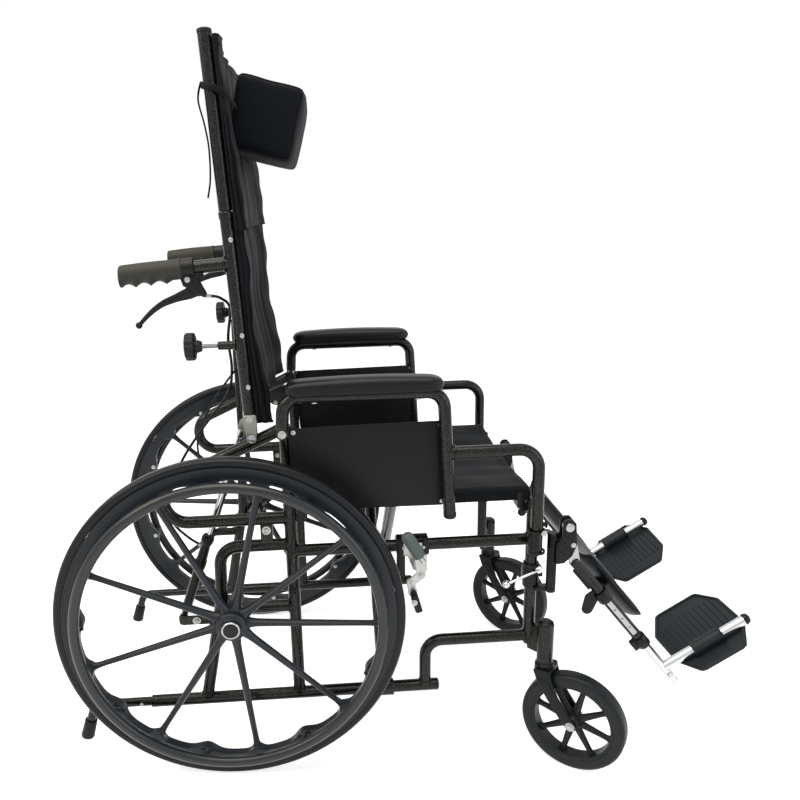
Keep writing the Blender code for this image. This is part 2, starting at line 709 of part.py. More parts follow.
def trigger_lever(side):
    """Build the recline trigger: a fork on the pivot and a curved blade that ends in a ball."""
    px, pz = TRIGGER_PIVOT
    knots = [(-0.026, 0.876, 0.0105), (-0.044, 0.868, 0.0075), (-0.062, 0.863, 0.0058),
             (-0.080, 0.856, 0.0048), (-0.096, 0.846, 0.0042), (-0.110, 0.834, 0.0036),
             (-0.121, 0.823, 0.0032)]
    sections = []
    for i, (x, z, half) in enumerate(knots):
        ahead = knots[min(i + 1, len(knots) - 1)]
        behind = knots[max(i - 1, 0)]
        along = Vector((ahead[0] - behind[0], 0.0, ahead[1] - behind[1])).normalized()
        across = Vector((-along.z, 0.0, along.x))
        ring = []
        for k in range(6):
            turn = 2.0 * math.pi * (k + 0.5) / 6
            offset = across * (half * math.sin(turn)) + Vector((0, 0.0050 * math.cos(turn), 0))
            ring.append(place(side, x, FRAME_Y, z) + offset)
        sections.append(ring)
    blade = loft(sections)
    root = hull_outline([(px, pz, 0.0068), (-0.026, 0.876, 0.0095), (-0.016, 0.873, 0.0050)], 8)
    head = side_plate([root, circle(px, pz, clearance(TRIGGER_PIN))], side * FRAME_Y, 0.0096)
    tip = ball(place(side, -0.1225, FRAME_Y, 0.8215), 0.0058, 6)
    pivot = place(side, px, FRAME_Y, pz)
    part(f"trigger_lever_{SIDE_NAMES[side]}", union(head, blade, tip), LEVER_BLACK, pivot=pivot)


def smooth_route(knots, count):
    """Return count points on a Catmull-Rom curve through the knots."""
    knots = [Vector(knot) for knot in knots]
    spans = len(knots) - 1
    points = []
    for i in range(count):
        position = spans * i / (count - 1)
        k = min(int(position), spans - 1)
        t = position - k
        before = knots[max(k - 1, 0)]
        after = knots[min(k + 2, spans)]
        first, second = knots[k], knots[k + 1]
        lead = (second - before) / 2.0
        trail = (after - first) / 2.0
        points.append(
            first * (2 * t**3 - 3 * t**2 + 1) + lead * (t**3 - 2 * t**2 + t)
            + second * (3 * t**2 - 2 * t**3) + trail * (t**3 - t**2)
        )
    return points


def recline_cable(side):
    """Build the cable that runs from a trigger down behind the back to its gas cylinder."""
    route = [(-0.0045, 0.208, 0.8655), (0.0120, 0.203, 0.8610), (0.0255, 0.192, 0.8420),
             (0.0180, 0.186, 0.790), (0.0200, 0.184, 0.735), (0.0080, 0.182, 0.690),
             (-0.0400, 0.180, 0.630), (-0.0820, 0.178, 0.570), (-0.1100, 0.177, 0.505),
             (-0.1080, 0.176, 0.455), (-0.0840, 0.176, 0.424), (-0.0605, 0.1765, 0.4060)]
    points = smooth_route([place(side, *knot) for knot in route], 28)
    part(f"recline_cable_{SIDE_NAMES[side]}", tube(points, 0.0024, resolution=1), CABLE_BLACK)


def clamp_knob(side):
    """Build the lobed clamp knob behind a cane, with its hub and threaded stud."""
    lobes = 10
    count = lobes * 2
    outline = []
    for i in range(count):
        turn = 2.0 * math.pi * i / count
        radius = 0.0232 - 0.0012 * (1.0 - math.cos(lobes * turn)) / 2.0
        outline.append((radius * math.cos(turn), radius * math.sin(turn)))
    middle = place(side, -0.0420, FRAME_Y, KNOB_Z)
    disc = plate([outline], 0.0165, frame_along((1.0, 0.0, 0.0), middle))
    hub = turned(
        [(0.0, 0.0190), (0.0085, 0.0190), (0.0105, 0.0130), (0.0105, 0.006), (0.0, 0.006)],
        middle,
        (1.0, 0.0, 0.0),
        8,
    )
    stud = rod(middle, place(side, 0.0245, FRAME_Y, KNOB_Z), KNOB_STUD)
    body = union(disc, hub, stud)
    part(f"clamp_knob_{SIDE_NAMES[side]}", body, KNOB_BLACK, pivot=middle)


def spreader_bar():
    """Build the telescopic spreader bar, which hangs pushed together from the left knob's stud."""
    x = -0.0130
    top = KNOB_Z
    bar = tube([(x, FRAME_Y, top - 0.120), (x, FRAME_Y, top - SPREADER_LENGTH + 0.018)], 0.0070)
    sleeve = tube([(x, FRAME_Y, top - 0.016), (x, FRAME_Y, top - 0.130)], 0.0082)
    turn = Matrix.Translation((x, FRAME_Y, 0.0)) @ Matrix.Rotation(math.radians(90.0), 4, "Y")
    eye = plate([hull_outline([(-top, 0.0, 0.0095), (-top + 0.024, 0.0, 0.0060)], 10),
                 circle(-top, 0.0, clearance(KNOB_STUD))], 0.0052, turn)
    foot = -top + SPREADER_LENGTH
    hook = plate([hull_outline([(foot, 0.0, 0.0095), (foot - 0.024, 0.0, 0.0060)], 10)], 0.0050, turn)
    mouth = plate([hull_outline([(foot, 0.0, 0.0046), (foot, -0.014, 0.0046)])], 0.02, turn)
    body = union(bar, sleeve, eye, cut(hook, mouth))
    lean = Matrix.Rotation(SPREADER_LEAN, 4, "X")
    hinge = Matrix.Translation((x, FRAME_Y, top))
    body = moved(body, hinge @ lean @ hinge.inverted())
    pivot = (x, FRAME_Y, top)
    part("spreader_bar", body, FRAME_COAT, pivot=pivot)


def cylinder_axis(side):
    """Return the foot, the head and the direction of a locking gas cylinder."""
    foot = place(side, CYLINDER_FOOT[0], CYLINDER_Y, CYLINDER_FOOT[1])
    head = place(side, ROD_TOP[0], CYLINDER_Y, ROD_TOP[1])
    return foot, head, (head - foot).normalized()


def gas_cylinder(side):
    """Build a locking gas cylinder: eye, barrel, flared valve boot and the bore for its rod."""
    foot, head, along = cylinder_axis(side)
    barrel = turned(
        [(0.0, 0.174), (0.0092, 0.174), (0.0118, 0.166), (0.0086, 0.152), (0.0098, 0.120),
         (0.0088, 0.110), (0.0088, 0.022), (0.0060, 0.014), (0.0060, 0.006), (0.0, 0.006)],
        foot,
        along,
        8,
    )
    eye = cross_pin(side, foot.x, foot.z, CYLINDER_Y - 0.0035, CYLINDER_Y + 0.0035, 0.0085)
    stop = box(foot + along * 0.146 - Vector((0, side * 0.0095, 0)), (0.010, 0.012, 0.012))
    bore = rod(foot + along * 0.040, foot + along * 0.20, clearance(ROD_RADIUS))
    hole = cross_pin(side, foot.x, foot.z, CYLINDER_Y - 0.01, CYLINDER_Y + 0.01, clearance(FOOT_PIN))
    body = cut(union(barrel, eye, stop), bore, hole)
    part(f"gas_cylinder_{SIDE_NAMES[side]}", body, CYLINDER_BLACK, pivot=foot)


def cylinder_rod(side):
    """Build the chrome rod of a gas cylinder, with the eye at its head."""
    foot, head, along = cylinder_axis(side)
    shaft = rod(foot + along * 0.078, head - along * 0.004, ROD_RADIUS)
    collar = rod(head - along * 0.026, head - along * 0.005, 0.0052)
    eye = cross_pin(side, head.x, head.z, CYLINDER_Y - 0.0033, CYLINDER_Y + 0.0033, 0.0062)
    part(f"cylinder_rod_{SIDE_NAMES[side]}", union(shaft, collar, eye), CHROME, pivot=head)


def arm_frame(side):
    """Build a stepped desk-length arm tube with its rear hinge eye and front leg."""
    px, pz = ARM_PIVOT
    y = ARM_Y

    def run(radius, bend, *corners):
        return tube([place(side, x, y, z) for x, z in corners], radius, bend)

    arch = run(TUBE, 0.030, (px, pz + 0.005), (0.108, 0.698), (0.3785, 0.698), (0.389, 0.474))
    step = run(TUBE - 0.0002, 0.036, (0.385, 0.5885), (SOCKET_X, 0.5885), (SOCKET_X, 0.3945))
    eye = cross_pin(side, px, pz, y - 0.0115, y + 0.0113, 0.0105)
    cap = rod(place(side, 0.3892, y, 0.4780), place(side, 0.3894, y, 0.4700), 0.0118, 0.0095)
    button_z = 0.4460
    stub_start = place(side, SOCKET_X + 0.006, y, button_z)
    button_start = place(side, SOCKET_X + 0.0155, y, button_z)
    button_end = place(side, SOCKET_X + 0.0180, y, button_z)
    stub = rod(stub_start, button_start + Vector((0.001, 0.0, 0.0)), 0.0042, sides=6)
    button = rod(button_start, button_end, 0.0070)
    hole = cross_pin(side, px, pz, y - 0.02, y + 0.02, clearance(PIN))
    body = cut(union(arch, step, eye, cap, stub, button), hole)
    pivot = place(side, px, y, pz)
    part(f"arm_frame_{SIDE_NAMES[side]}", body, FRAME_COAT, pivot=pivot)


def arm_pad(side):
    """Build the padded armrest: a crowned vinyl top with drawn-in sides, grooved for its tube."""
    rear, front = 0.112, 0.377
    inner, outer = 0.2318, 0.2780
    low, high = 0.7010, 0.7290
    middle_y = (inner + outer) / 2.0
    half_y = (outer - inner) / 2.0
    sections = []
    count = 9
    for i in range(count):
        share = i / (count - 1)
        x = rear + (front - rear) * share
        end = min(share, 1.0 - share) * (front - rear)
        blunt = math.sqrt(max(0.0, 1.0 - max(0.0, 1.0 - (end + 0.002) / 0.024) ** 2))
        width = half_y * (0.45 + 0.55 * blunt)
        height = (high - low) / 2.0 * (0.55 + 0.45 * blunt)
        ring = []
        for k in range(12):
            turn = 2.0 * math.pi * (k + 0.5) / 12
            c, s = math.cos(turn), math.sin(turn)
            across = math.copysign(abs(c) ** 0.55, c) * width
            up = math.copysign(abs(s) ** (0.65 if s > 0 else 0.35), s) * height
            tilt = 0.0015 * math.sin(math.pi * share)
            ring.append(place(side, x, middle_y + across, low + (high - low) / 2.0 + up + tilt))
        sections.append(ring)
    groove = tube(
        [place(side, 0.050, ARM_Y, 0.698), place(side, 0.420, ARM_Y, 0.698)], TUBE + FIT,
    )
    elbow = tube(
        [place(side, x, ARM_Y, z) for x, z in
         ((ARM_PIVOT[0], 0.642), (0.108, 0.698), (0.3785, 0.698), (0.389, 0.474))],
        TUBE + FIT,
        0.030,
    )
    body = cut(loft(sections), groove, elbow)
    part(f"arm_pad_{SIDE_NAMES[side]}", body, VINYL)


def skirt_guard(side):
    """Build the thin clothing guard that hangs inside an armrest's tubes."""
    outline = [(0.1125, 0.6400), (0.3600, 0.6430), (0.3770, 0.6430), (0.3800, 0.4880),
               (0.3700, 0.4880), (0.1330, 0.4900), (0.1185, 0.5050)]
    panel = side_plate([outline], side * 0.2372, 0.0022)
    part(f"skirt_guard_{SIDE_NAMES[side]}", panel, SKIRT_BLACK)


def rim_sections():
    """Return the rim's section at each angle round the wheel, its web scalloped between spokes."""
    pitch = 360.0 / SPOKES
    sections = []
    for spoke in range(SPOKES):
        for ahead in (0.0, 5.0, 14.5, 20.0, 25.5, 35.0):
            near = min(ahead, pitch - ahead)
            bump = 0.0130 * math.exp(-(((pitch / 2.0 - near) / 4.6) ** 2))
            gusset = 0.0120 * math.exp(-((near / 2.4) ** 2))
            edge = 0.2665 - bump - gusset
            turn = math.radians(spoke * pitch + ahead)
            ring = [(TYRE_BED, 0.0112), (TYRE_BED, -0.0112), (edge, -0.0090), (edge, 0.0090)]
            sections.append([Vector((r * math.cos(turn), r * math.sin(turn), z)) for r, z in ring])
    return sections


def wheel_axes(side):
    """Return the matrix whose local XY plane is a rear wheel's and whose +Z points outboard."""
    centre = place(side, 0.0, WHEEL_Y, REAR_WHEEL_RADIUS)
    flip = Matrix(((1, 0, 0, 0), (0, 0, side, 0), (0, -side, 0, 0), (0, 0, 0, 1)))
    spin = Matrix.Rotation(-side * SPOKE_PHASE[side], 4, "Z")
    return Matrix.Translation(centre) @ flip @ spin


def moved(obj, matrix):
    """Move a shape drawn at the origin by matrix."""
    obj.data.transform(matrix)
    return obj


def rear_wheel(side):
    """Build the moulded rear wheel: flanged rim, scalloped web, tapered spokes and hub."""
    origin = (0.0, 0.0, 0.0)
    up = (0.0, 0.0, 1.0)
    rim = loft(rim_sections(), around=True)
    hub = turned(
        [(0.0, 0.0300), (0.0165, 0.0275), (0.0175, 0.0205), (0.0255, 0.0195), (0.0265, -0.0120),
         (0.0190, -0.0380), (0.0, -0.0380)],
        origin, up, 10,
    )
    pieces = [rim, hub]
    for spoke in range(SPOKES):
        turn = 2.0 * math.pi * spoke / SPOKES
        pieces.append(moved(spoke_blade(), Matrix.Rotation(turn, 4, "Z")))
    bore = rod((0.0, 0.0, -0.05), (0.0, 0.0, 0.0158), clearance(AXLE_RADIUS))
    body = moved(cut(union(*pieces), bore), wheel_axes(side))
    centre = place(side, 0.0, WHEEL_Y, REAR_WHEEL_RADIUS)
    part(f"rear_wheel_{SIDE_NAMES[side]}", body, WHEEL_BLACK, pivot=centre)


def spoke_blade():
    """Return one spoke along local +X: a ridged blade that tapers to the rim."""
    sections = []
    for x, wide, deep in ((0.0180, 0.0078, 0.0084), (0.2705, 0.0047, 0.0062)):
        ring = [(0.0, deep), (-wide, 0.0), (0.0, -deep), (wide, 0.0)]
        sections.append([(x, y, z) for y, z in ring])
    return loft(sections)


def rear_tyre(side):
    """Build the solid rear tyre on its bed."""
    steps = 36
    bed = clearance(TYRE_BED, steps)
    outer = REAR_WHEEL_RADIUS
    body = turned(
        [(bed, 0.0108), (0.2980, 0.0125), (outer, 0.0050), (outer, -0.0050), (0.2980, -0.0125),
         (bed, -0.0108)],
        place(side, 0.0, WHEEL_Y, REAR_WHEEL_RADIUS), (0.0, 1.0, 0.0), steps, closed=True,
    )
    centre = place(side, 0.0, WHEEL_Y, REAR_WHEEL_RADIUS)
    part(f"rear_tyre_{SIDE_NAMES[side]}", body, TYRE_BLACK, pivot=centre)


def handrim(side):
    """Build the push ring and the standoffs that seat it on the wheel's bumps."""
    ring_count = 30
    section = 6
    offset = HANDRIM_Y - WHEEL_Y
    profile = []
    for k in range(section):
        turn = -2.0 * math.pi * (k + 0.5) / section
        profile.append(
            (HANDRIM_RADIUS + HANDRIM_TUBE * math.cos(turn), offset + HANDRIM_TUBE * math.sin(turn))
        )
    pieces = [turned(profile, (0.0, 0.0, 0.0), (0.0, 0.0, 1.0), ring_count, closed=True)]
    for spoke in range(SPOKES):
        turn = 2.0 * math.pi * (spoke + 0.5) / SPOKES
        x = 0.2605 * math.cos(turn)
        y = 0.2605 * math.sin(turn)
        pieces.append(rod((x, y, 0.0105), (x, y, offset), 0.0042, sides=4))
    body = moved(union(*pieces), wheel_axes(side))
    centre = place(side, 0.0, WHEEL_Y, REAR_WHEEL_RADIUS)
    part(f"handrim_{SIDE_NAMES[side]}", body, HANDRIM_GREY, pivot=centre)


def caster_axle_height(side):
    """Return the level-chair height of a caster's axle that stands its tyre on the floor."""
    angle = CASTER_SWIVEL[side]
    x = BARREL_X + CASTER_TRAIL * math.cos(angle)
    lean = math.sin(angle) * math.sin(NOSE_UP)
    crown = CASTER_HALF_WIDTH * 0.45
    drop = CASTER_RADIUS * math.sqrt(1.0 - lean**2) + crown * abs(lean)
    world = drop - x * math.sin(NOSE_UP) - REAR_WHEEL_RADIUS
    return REAR_WHEEL_RADIUS + world / math.cos(NOSE_UP)


def caster_axes(side, height=0.0):
    """Return the matrix with its origin on the swivel axis, +X trailing and +Y along the axle."""
    base = Matrix.Translation(place(side, BARREL_X, BARREL_Y, height))
    return base @ Matrix.Rotation(CASTER_SWIVEL[side], 4, "Z")


def caster_fork(side):
    """Build a caster fork: stem, crown, two curved legs and the axle bolt through them."""
    top = BARREL_Z[0] - 0.0006
    axle = caster_axle_height(side)
    crown = turned(
        [(0.0, top), (0.0165, top), (0.0180, top - 0.004), (0.0180, top - 0.016), (0.0, top - 0.016)],
        (0.0, 0.0, 0.0), (0.0, 0.0, 1.0), 10,
    )
    stem = rod((0.0, 0.0, top - 0.008), (0.0, 0.0, BARREL_Z[1] - 0.0095), 0.0070)
    bridge = box((0.004, 0.0, top - 0.0125), (0.031, 0.0470, 0.0110))
    pieces = [crown, stem, bridge]
    for across in (-0.0217, 0.0217):
        outline = [(-0.0150, top - 0.006), (0.0180, top - 0.006), (0.0215, top - 0.022),
                   (0.0345, axle + 0.052), (0.0560, axle + 0.0215), (CASTER_TRAIL + 0.0110, axle + 0.0020),
                   (CASTER_TRAIL + 0.0060, axle - 0.0095), (CASTER_TRAIL - 0.0050, axle - 0.0100),
                   (0.0400, axle + 0.0090), (0.0140, axle + 0.0450), (-0.0060, top - 0.030)]
        pieces.append(side_plate([outline], across, 0.0056))
    bolt = rod((CASTER_TRAIL, -0.0275, axle), (CASTER_TRAIL, 0.0275, axle), PIN, sides=6)
    pieces.append(bolt)
    body = moved(union(*pieces), caster_axes(side))
    pivot = place(side, BARREL_X, BARREL_Y, BARREL_Z[0])
    part(f"caster_fork_{SIDE_NAMES[side]}", body, FORK_BLACK, pivot=pivot)


def caster_wheel(side):
    """Build a caster wheel: rounded solid tyre, rim, wedge spokes and hub in one moulding."""
    half = CASTER_HALF_WIDTH
    crown = half * 0.45
    tyre = turned(
        [(0.0720, half * 0.85), (0.0900, half), (CASTER_RADIUS, crown), (CASTER_RADIUS, -crown),
         (0.0900, -half), (0.0720, -half * 0.85)],
        (0.0, 0.0, 0.0), (0.0, 1.0, 0.0), 20, closed=True,
    )
    hub = turned(
        [(0.0, 0.0180), (0.0125, 0.0180), (0.0175, 0.0), (0.0125, -0.0180), (0.0, -0.0180)],
        (0.0, 0.0, 0.0), (0.0, 1.0, 0.0), 8,
    )
    pieces = [tyre, hub]
    for spoke in range(CASTER_SPOKES):
        rings = []
        for radius, half_width, half_depth in ((0.0125, 0.0078, 0.0065), (0.0760, 0.0042, 0.0055)):
            rings.append([(radius, 0.0, -half_width), (radius, half_depth, 0.0),
                          (radius, 0.0, half_width), (radius, -half_depth, 0.0)])
        blade = loft(rings)
        turn = Matrix.Rotation(2.0 * math.pi * (spoke + 0.31) / CASTER_SPOKES, 4, "Y")
        pieces.append(moved(blade, turn))
    bore = rod((0.0, -0.03, 0.0), (0.0, 0.03, 0.0), clearance(PIN))
    body = cut(union(*pieces), bore)
    axle = caster_axes(side, caster_axle_height(side)) @ Matrix.Translation((CASTER_TRAIL, 0.0, 0.0))
    part(f"caster_wheel_{SIDE_NAMES[side]}", moved(body, axle), CASTER_BLACK, pivot=axle.translation)


def lock_lever(side):
    """Build the wheel lock's hand lever, with its grip standing outboard of the middle rail."""
    px, pz = LOCK_PIVOT
    arm = hull_outline([(px, pz, 0.0085), (0.332, 0.402, 0.0075)], 8)
    tail = hull_outline([(px, pz, 0.0085), (0.318, 0.352, 0.0075)], 8)
    holes = [circle(px, pz, clearance(FOOT_PIN))]
    blade = side_plate([arm, *holes], side * LOCK_Y, 0.0036)
    foot = side_plate([tail, *holes], side * LOCK_Y, 0.0036)
    grip_low = Vector((0.3345, side * (LOCK_Y + 0.002), 0.4020))
    grip_high = Vector((0.3075, side * (LOCK_Y + 0.006), 0.4500))
    along = (grip_high - grip_low).normalized()
    handle = turned(
        [(0.0, 0.0550), (0.0070, 0.0535), (0.0105, 0.0470), (0.0112, 0.0040), (0.0095, 0.0), (0.0, 0.0)],
        grip_low, along, 8,
    )
    shaft = rod(grip_low - along * 0.012, grip_low + along * 0.010, 0.0045)
    rivet = cross_pin(side, *SHOE_PIVOT, LOCK_Y - 0.0070, LOCK_Y, TRIGGER_PIN, 6)
    body = union(blade, foot, handle, shaft, rivet)
    pivot = place(side, px, LOCK_Y, pz)
    part(f"lock_lever_{SIDE_NAMES[side]}", body, ZINC, pivot=pivot)


def lock_shoe(side):
    """Build the wheel lock's shoe link and the ribbed block that bears on the tyre."""
    px, pz = SHOE_PIVOT
    link = hull_outline([(px, pz, 0.0075), (0.321, 0.330, 0.0080)], 8)
    arm = side_plate([link, circle(px, pz, clearance(TRIGGER_PIN))], side * (LOCK_Y - 0.0044), 0.0036)
    block = box(place(side, 0.3265, LOCK_Y + 0.004, 0.3160), (0.0120, 0.024, 0.034),
                turn=math.radians(-16.0), bevel=0.0015)
    pivot = place(side, px, LOCK_Y, pz)
    part(f"lock_shoe_{SIDE_NAMES[side]}", union(arm, block), LEVER_BLACK, pivot=pivot)


def legrest_hanger(side):
    """Build the swing-away hanger: hollow swing post, moulded ratchet cheeks and pivot bolt."""
    x = SWING_POST_X
    y = LEGREST_Y
    px, pz = LEG_PIVOT
    post = rod(place(side, x, y, 0.3140), place(side, x, y, 0.4164), 0.0090)
    bore = rod(place(side, x, y, 0.300), place(side, x, y, 0.430), clearance(0.0048))
    outline = [(0.5840, 0.3640), (0.5840, 0.4040), (0.5950, 0.4180), (0.5960, 0.4440), (0.6025, 0.4500),
               (0.6130, 0.4500), (0.6195, 0.4420), (0.6225, 0.4010), (0.6140, 0.3790), (0.6000, 0.3660)]
    cheeks = side_plate([outline], side * y, 0.0260)
    slot_outline = [(0.5935, 0.3500), (0.5935, 0.4090), (0.5985, 0.4560), (0.6400, 0.4560),
                    (0.6400, 0.3500)]
    slot = side_plate([slot_outline], side * y, 0.0136)
    bolt = cross_pin(side, px, pz, y - 0.0160, y + 0.0145, PIN, 6)
    head = cross_pin(side, px, pz, y + 0.0125, y + 0.0150, 0.0088)
    body = union(cut(union(post, cheeks), bore, slot), bolt, head)
    part(f"legrest_hanger_{SIDE_NAMES[side]}", body, HOUSING_BLACK, pivot=place(side, x, y, 0.3140))


def latch_lever(side):
    """Build the bright lever that releases a legrest, turning on its stud beside the post."""
    px, pz = LATCH_PIVOT
    eye = cross_pin(side, px, pz, 0.2290, 0.2320, 0.0070)
    bends = [(px, 0.2314, pz), (0.5320, 0.2330, 0.3370), (0.5000, 0.2340, 0.3240)]
    arm = tube([place(side, *bend) for bend in bends], 0.0026)
    knob = ball(place(side, 0.4975, 0.2341, 0.3228), 0.0072, 6)
    pivot = place(side, px, 0.2305, pz)
    part(f"latch_lever_{SIDE_NAMES[side]}", union(eye, arm, knob), ZINC, pivot=pivot)


def leg_point(side, along, lift=0.0, inward=0.0):
    """Return a point on the legrest tube's axis, lifted off it and moved towards the middle."""
    x = LEG_START[0] + along * math.cos(LEG_SLOPE) + lift * math.sin(LEG_SLOPE)
    z = LEG_START[1] - along * math.sin(LEG_SLOPE) + lift * math.cos(LEG_SLOPE)
    return place(side, x, LEGREST_Y - inward, z)


def leg_tube(side):
    """Build the elevating leg tube: ratchet strap, drilled outer tube, clamp collar and stop."""
    px, pz = LEG_PIVOT
    y = LEGREST_Y
    strap = hull_outline([(px, pz, 0.0100), (0.6150, 0.3800, 0.0095), (0.6225, 0.3640, 0.0095)], 8)
    blade = side_plate([strap, circle(px, pz, clearance(PIN))], side * y, 0.0100)
    outer = tube([leg_point(side, -0.006), leg_point(side, LEG_LENGTH)], LEG_TUBE)
    collar = rod(leg_point(side, LEG_LENGTH - 0.020), leg_point(side, LEG_LENGTH + 0.004), 0.0128)
    hook = box(leg_point(side, LEG_LENGTH - 0.008, -0.0150), (0.022, 0.010, 0.011), turn=LEG_SLOPE)
    rib = tube([leg_point(side, 0.012, -0.0110), leg_point(side, 0.062, -0.0110)], 0.0036, resolution=1)
    body = union(outer, blade, collar, hook, rib)
    bore = rod(leg_point(side, 0.100), leg_point(side, LEG_LENGTH + 0.05), clearance(LEG_INNER))
    holes = []
    for i in range(3):
        spot = 0.124 + 0.024 * i
        holes.append(rod(leg_point(side, spot), leg_point(side, spot, 0.0, -0.02), 0.0030, sides=6))
    body = cut(body, bore, *holes)
    part(f"leg_tube_{SIDE_NAMES[side]}", body, FRAME_COAT, pivot=place(side, px, y, pz))


def calf_pad(side):
    """Build the calf pad: a padded shell curved round the calf, on a sleeve round the leg tube."""
    start, end = 0.030, 0.196
    inner_edge, outer_edge = 0.150, 0.020
    sections = []
    for i in range(6):
        share = i / 5.0
        along = start + (end - start) * share
        round_off = math.sqrt(max(0.0, 1.0 - (2.0 * share - 1.0) ** 4))
        ring_top, ring_low = [], []
        for k in range(8):
            across = k / 7.0
            width = 0.80 + 0.20 * round_off
            middle = (inner_edge + outer_edge) / 2.0
            inward = middle + (outer_edge - middle) * width * (1.0 - 2.0 * across)
            dish = 0.020 * (2.0 * across - 1.0) ** 2
            edge = math.sqrt(max(0.0, 1.0 - (2.0 * across - 1.0) ** 6))
            half = 0.0035 + 0.0070 * edge * (0.45 + 0.55 * round_off)
            lift = 0.0100 + dish
            ring_top.append(leg_point(side, along, lift + half, inward))
            ring_low.append(leg_point(side, along, lift - half, inward))
        sections.append(ring_top + ring_low[::-1])
    pad = loft(sections)
    middle = 0.090
    sleeve = rod(leg_point(side, middle - 0.012), leg_point(side, middle + 0.012), 0.0142)
    arm = box(leg_point(side, middle, 0.009, 0.033), (0.020, 0.044, 0.012), turn=LEG_SLOPE)
    bore = rod(leg_point(side, middle - 0.03), leg_point(side, middle + 0.03), clearance(LEG_TUBE))
    hook = hull_outline([(0.6680, 0.2960, 0.009), (0.6560, 0.2860, 0.010), (0.6520, 0.2640, 0.0105)], 8)
    hanger = side_plate([hook, circle(0.6530, 0.2640, 0.0060)], side * LEGREST_Y, 0.0050)
    body = cut(union(pad, arm, sleeve, hanger), bore)
    part(f"calf_pad_{SIDE_NAMES[side]}", body, CALF_VINYL, pivot=leg_point(side, middle))


def foot_axes(side):
    """Return the matrix with +X along the footplate's tube, +Y towards the middle and +Z up."""
    start = place(side, FOOT_START[0], LEGREST_Y, FOOT_START[1])
    along = Vector((math.cos(FOOT_SLOPE), 0.0, math.sin(FOOT_SLOPE)))
    inward = Vector((0.0, -side, 0.0))
    normal = Vector((-math.sin(FOOT_SLOPE), 0.0, math.cos(FOOT_SLOPE)))
    turn = Matrix((along, inward, normal)).transposed().to_4x4()
    return Matrix.Translation(start) @ turn


def footplate_post(side):
    """Build the chrome footrest post that telescopes in the leg tube, with its plate tube."""
    post = rod(leg_point(side, 0.120), leg_point(side, 0.3370), LEG_INNER)
    foot = foot_axes(side)
    tube_start = foot @ Vector((0.0, 0.0, 0.0))
    tube_end = foot @ Vector((FOOT_LENGTH, 0.0, 0.0))
    cross = tube([tube_start, tube_end], FOOT_TUBE)
    cap = turned(
        [(0.0, 0.0075), (0.0070, 0.0060), (0.0103, 0.0015), (0.0108, -0.0050), (0.0, -0.0050)],
        tube_end, tube_end - tube_start, 8,
    )
    bolt_x, bolt_z = leg_point(side, 0.3180).x, leg_point(side, 0.3180).z
    bolt = cross_pin(side, bolt_x, bolt_z, LEGREST_Y - 0.0110, LEGREST_Y + 0.0125, 0.0052, 6)
    part(f"footplate_post_{SIDE_NAMES[side]}", union(post, cross, cap, bolt), CHROME,
         pivot=leg_point(side, LEG_LENGTH))


def footplate(side):
    """Build the moulded footplate with its sleeve round the tube, ribs and turned-up edge."""
    outline = [(0.0500, 0.1560), (0.1450, 0.1560), (0.1740, 0.1060), (0.1775, 0.0120), (0.1480, -0.0450),
               (0.0540, -0.0450), (0.0260, 0.0120), (0.0225, 0.1000)]
    slab = plate([outline], 0.0050, Matrix.Translation((0.0, 0.0, -0.0150)))
    pieces = [slab]
    sleeve = rod((0.0640, 0.0, 0.0), (0.1250, 0.0, 0.0), 0.0138, sides=10)
    saddle = box((0.0945, 0.0, -0.0080), (0.0590, 0.0236, 0.0120))
    pieces.extend([sleeve, saddle])
    for u in (0.0440, 0.0720, 0.1000, 0.1280, 0.1540):
        pieces.append(box((u, 0.0700, -0.0118), (0.0060, 0.1000, 0.0030)))
    pieces.append(box((0.1010, -0.0425, -0.0135), (0.0820, 0.0040, 0.0100)))
    bore = rod((-0.01, 0.0, 0.0), (0.20, 0.0, 0.0), clearance(FOOT_TUBE))
    body = moved(cut(union(*pieces), bore), foot_axes(side))
    if side == LEFT:
        body.data.flip_normals()
    part(f"footplate_{SIDE_NAMES[side]}", body, FOOT_BLACK, pivot=foot_axes(side).translation)


def anti_tipper(side):
    """Build the anti-tipper: a tube that slides in the lower rail, bent down to a rubber tip."""
    y = FRAME_Y
    corners = [(-0.1000, LOWER_RAIL_Z), (-0.2795, LOWER_RAIL_Z), (-0.2990, 0.0460)]
    arm = tube([place(side, x, y, z) for x, z in corners], TIPPER_TUBE, bend=0.024)
    tip = rod(place(side, -0.2893, y, 0.0770), place(side, -0.3005, y, 0.0410), 0.0112, 0.0128)
    pivot = place(side, LOWER_RAIL_X[0], y, LOWER_RAIL_Z)
    part(f"anti_tipper_{SIDE_NAMES[side]}", union(arm, tip), RUBBER, pivot=pivot)


def back_upholstery():
    """Build the back sling: side flaps in front of the canes and a sagging panel between."""
    rows = 8
    low, high = 0.662, 0.984
    across = 13
    thick = 0.0045
    sections = []
    for row in range(rows):
        share = row / (rows - 1)
        z = low + (high - low) * share
        hang = cane_x(z) + TUBE + 0.0006
        front = hang + 0.042 - 0.018 * share + 0.004 * math.sin(share * math.pi * 3.0)
        outer, inner = [], []
        for k in range(across + 1):
            t = 2.0 * k / across - 1.0
            y = 0.2205 * t
            sag = 0.030 * (1.0 - t * t) + 0.0022 * math.sin(t * math.pi * 5.0 + share * 2.0)
            outer.append(Vector((front - sag, y, z)))
            inner.append(Vector((front - sag - thick, y * (1.0 - thick / 0.2205), z)))
        left = [Vector((hang, 0.2205, z))]
        right = [Vector((hang, -0.2205, z))]
        left_in = [Vector((hang, 0.2205 - thick, z))]
        right_in = [Vector((hang, -0.2205 + thick, z))]
        sections.append(right + outer + left + left_in + inner[::-1] + right_in)
    part("back_upholstery", loft(sections), NYLON, smooth=60.0)


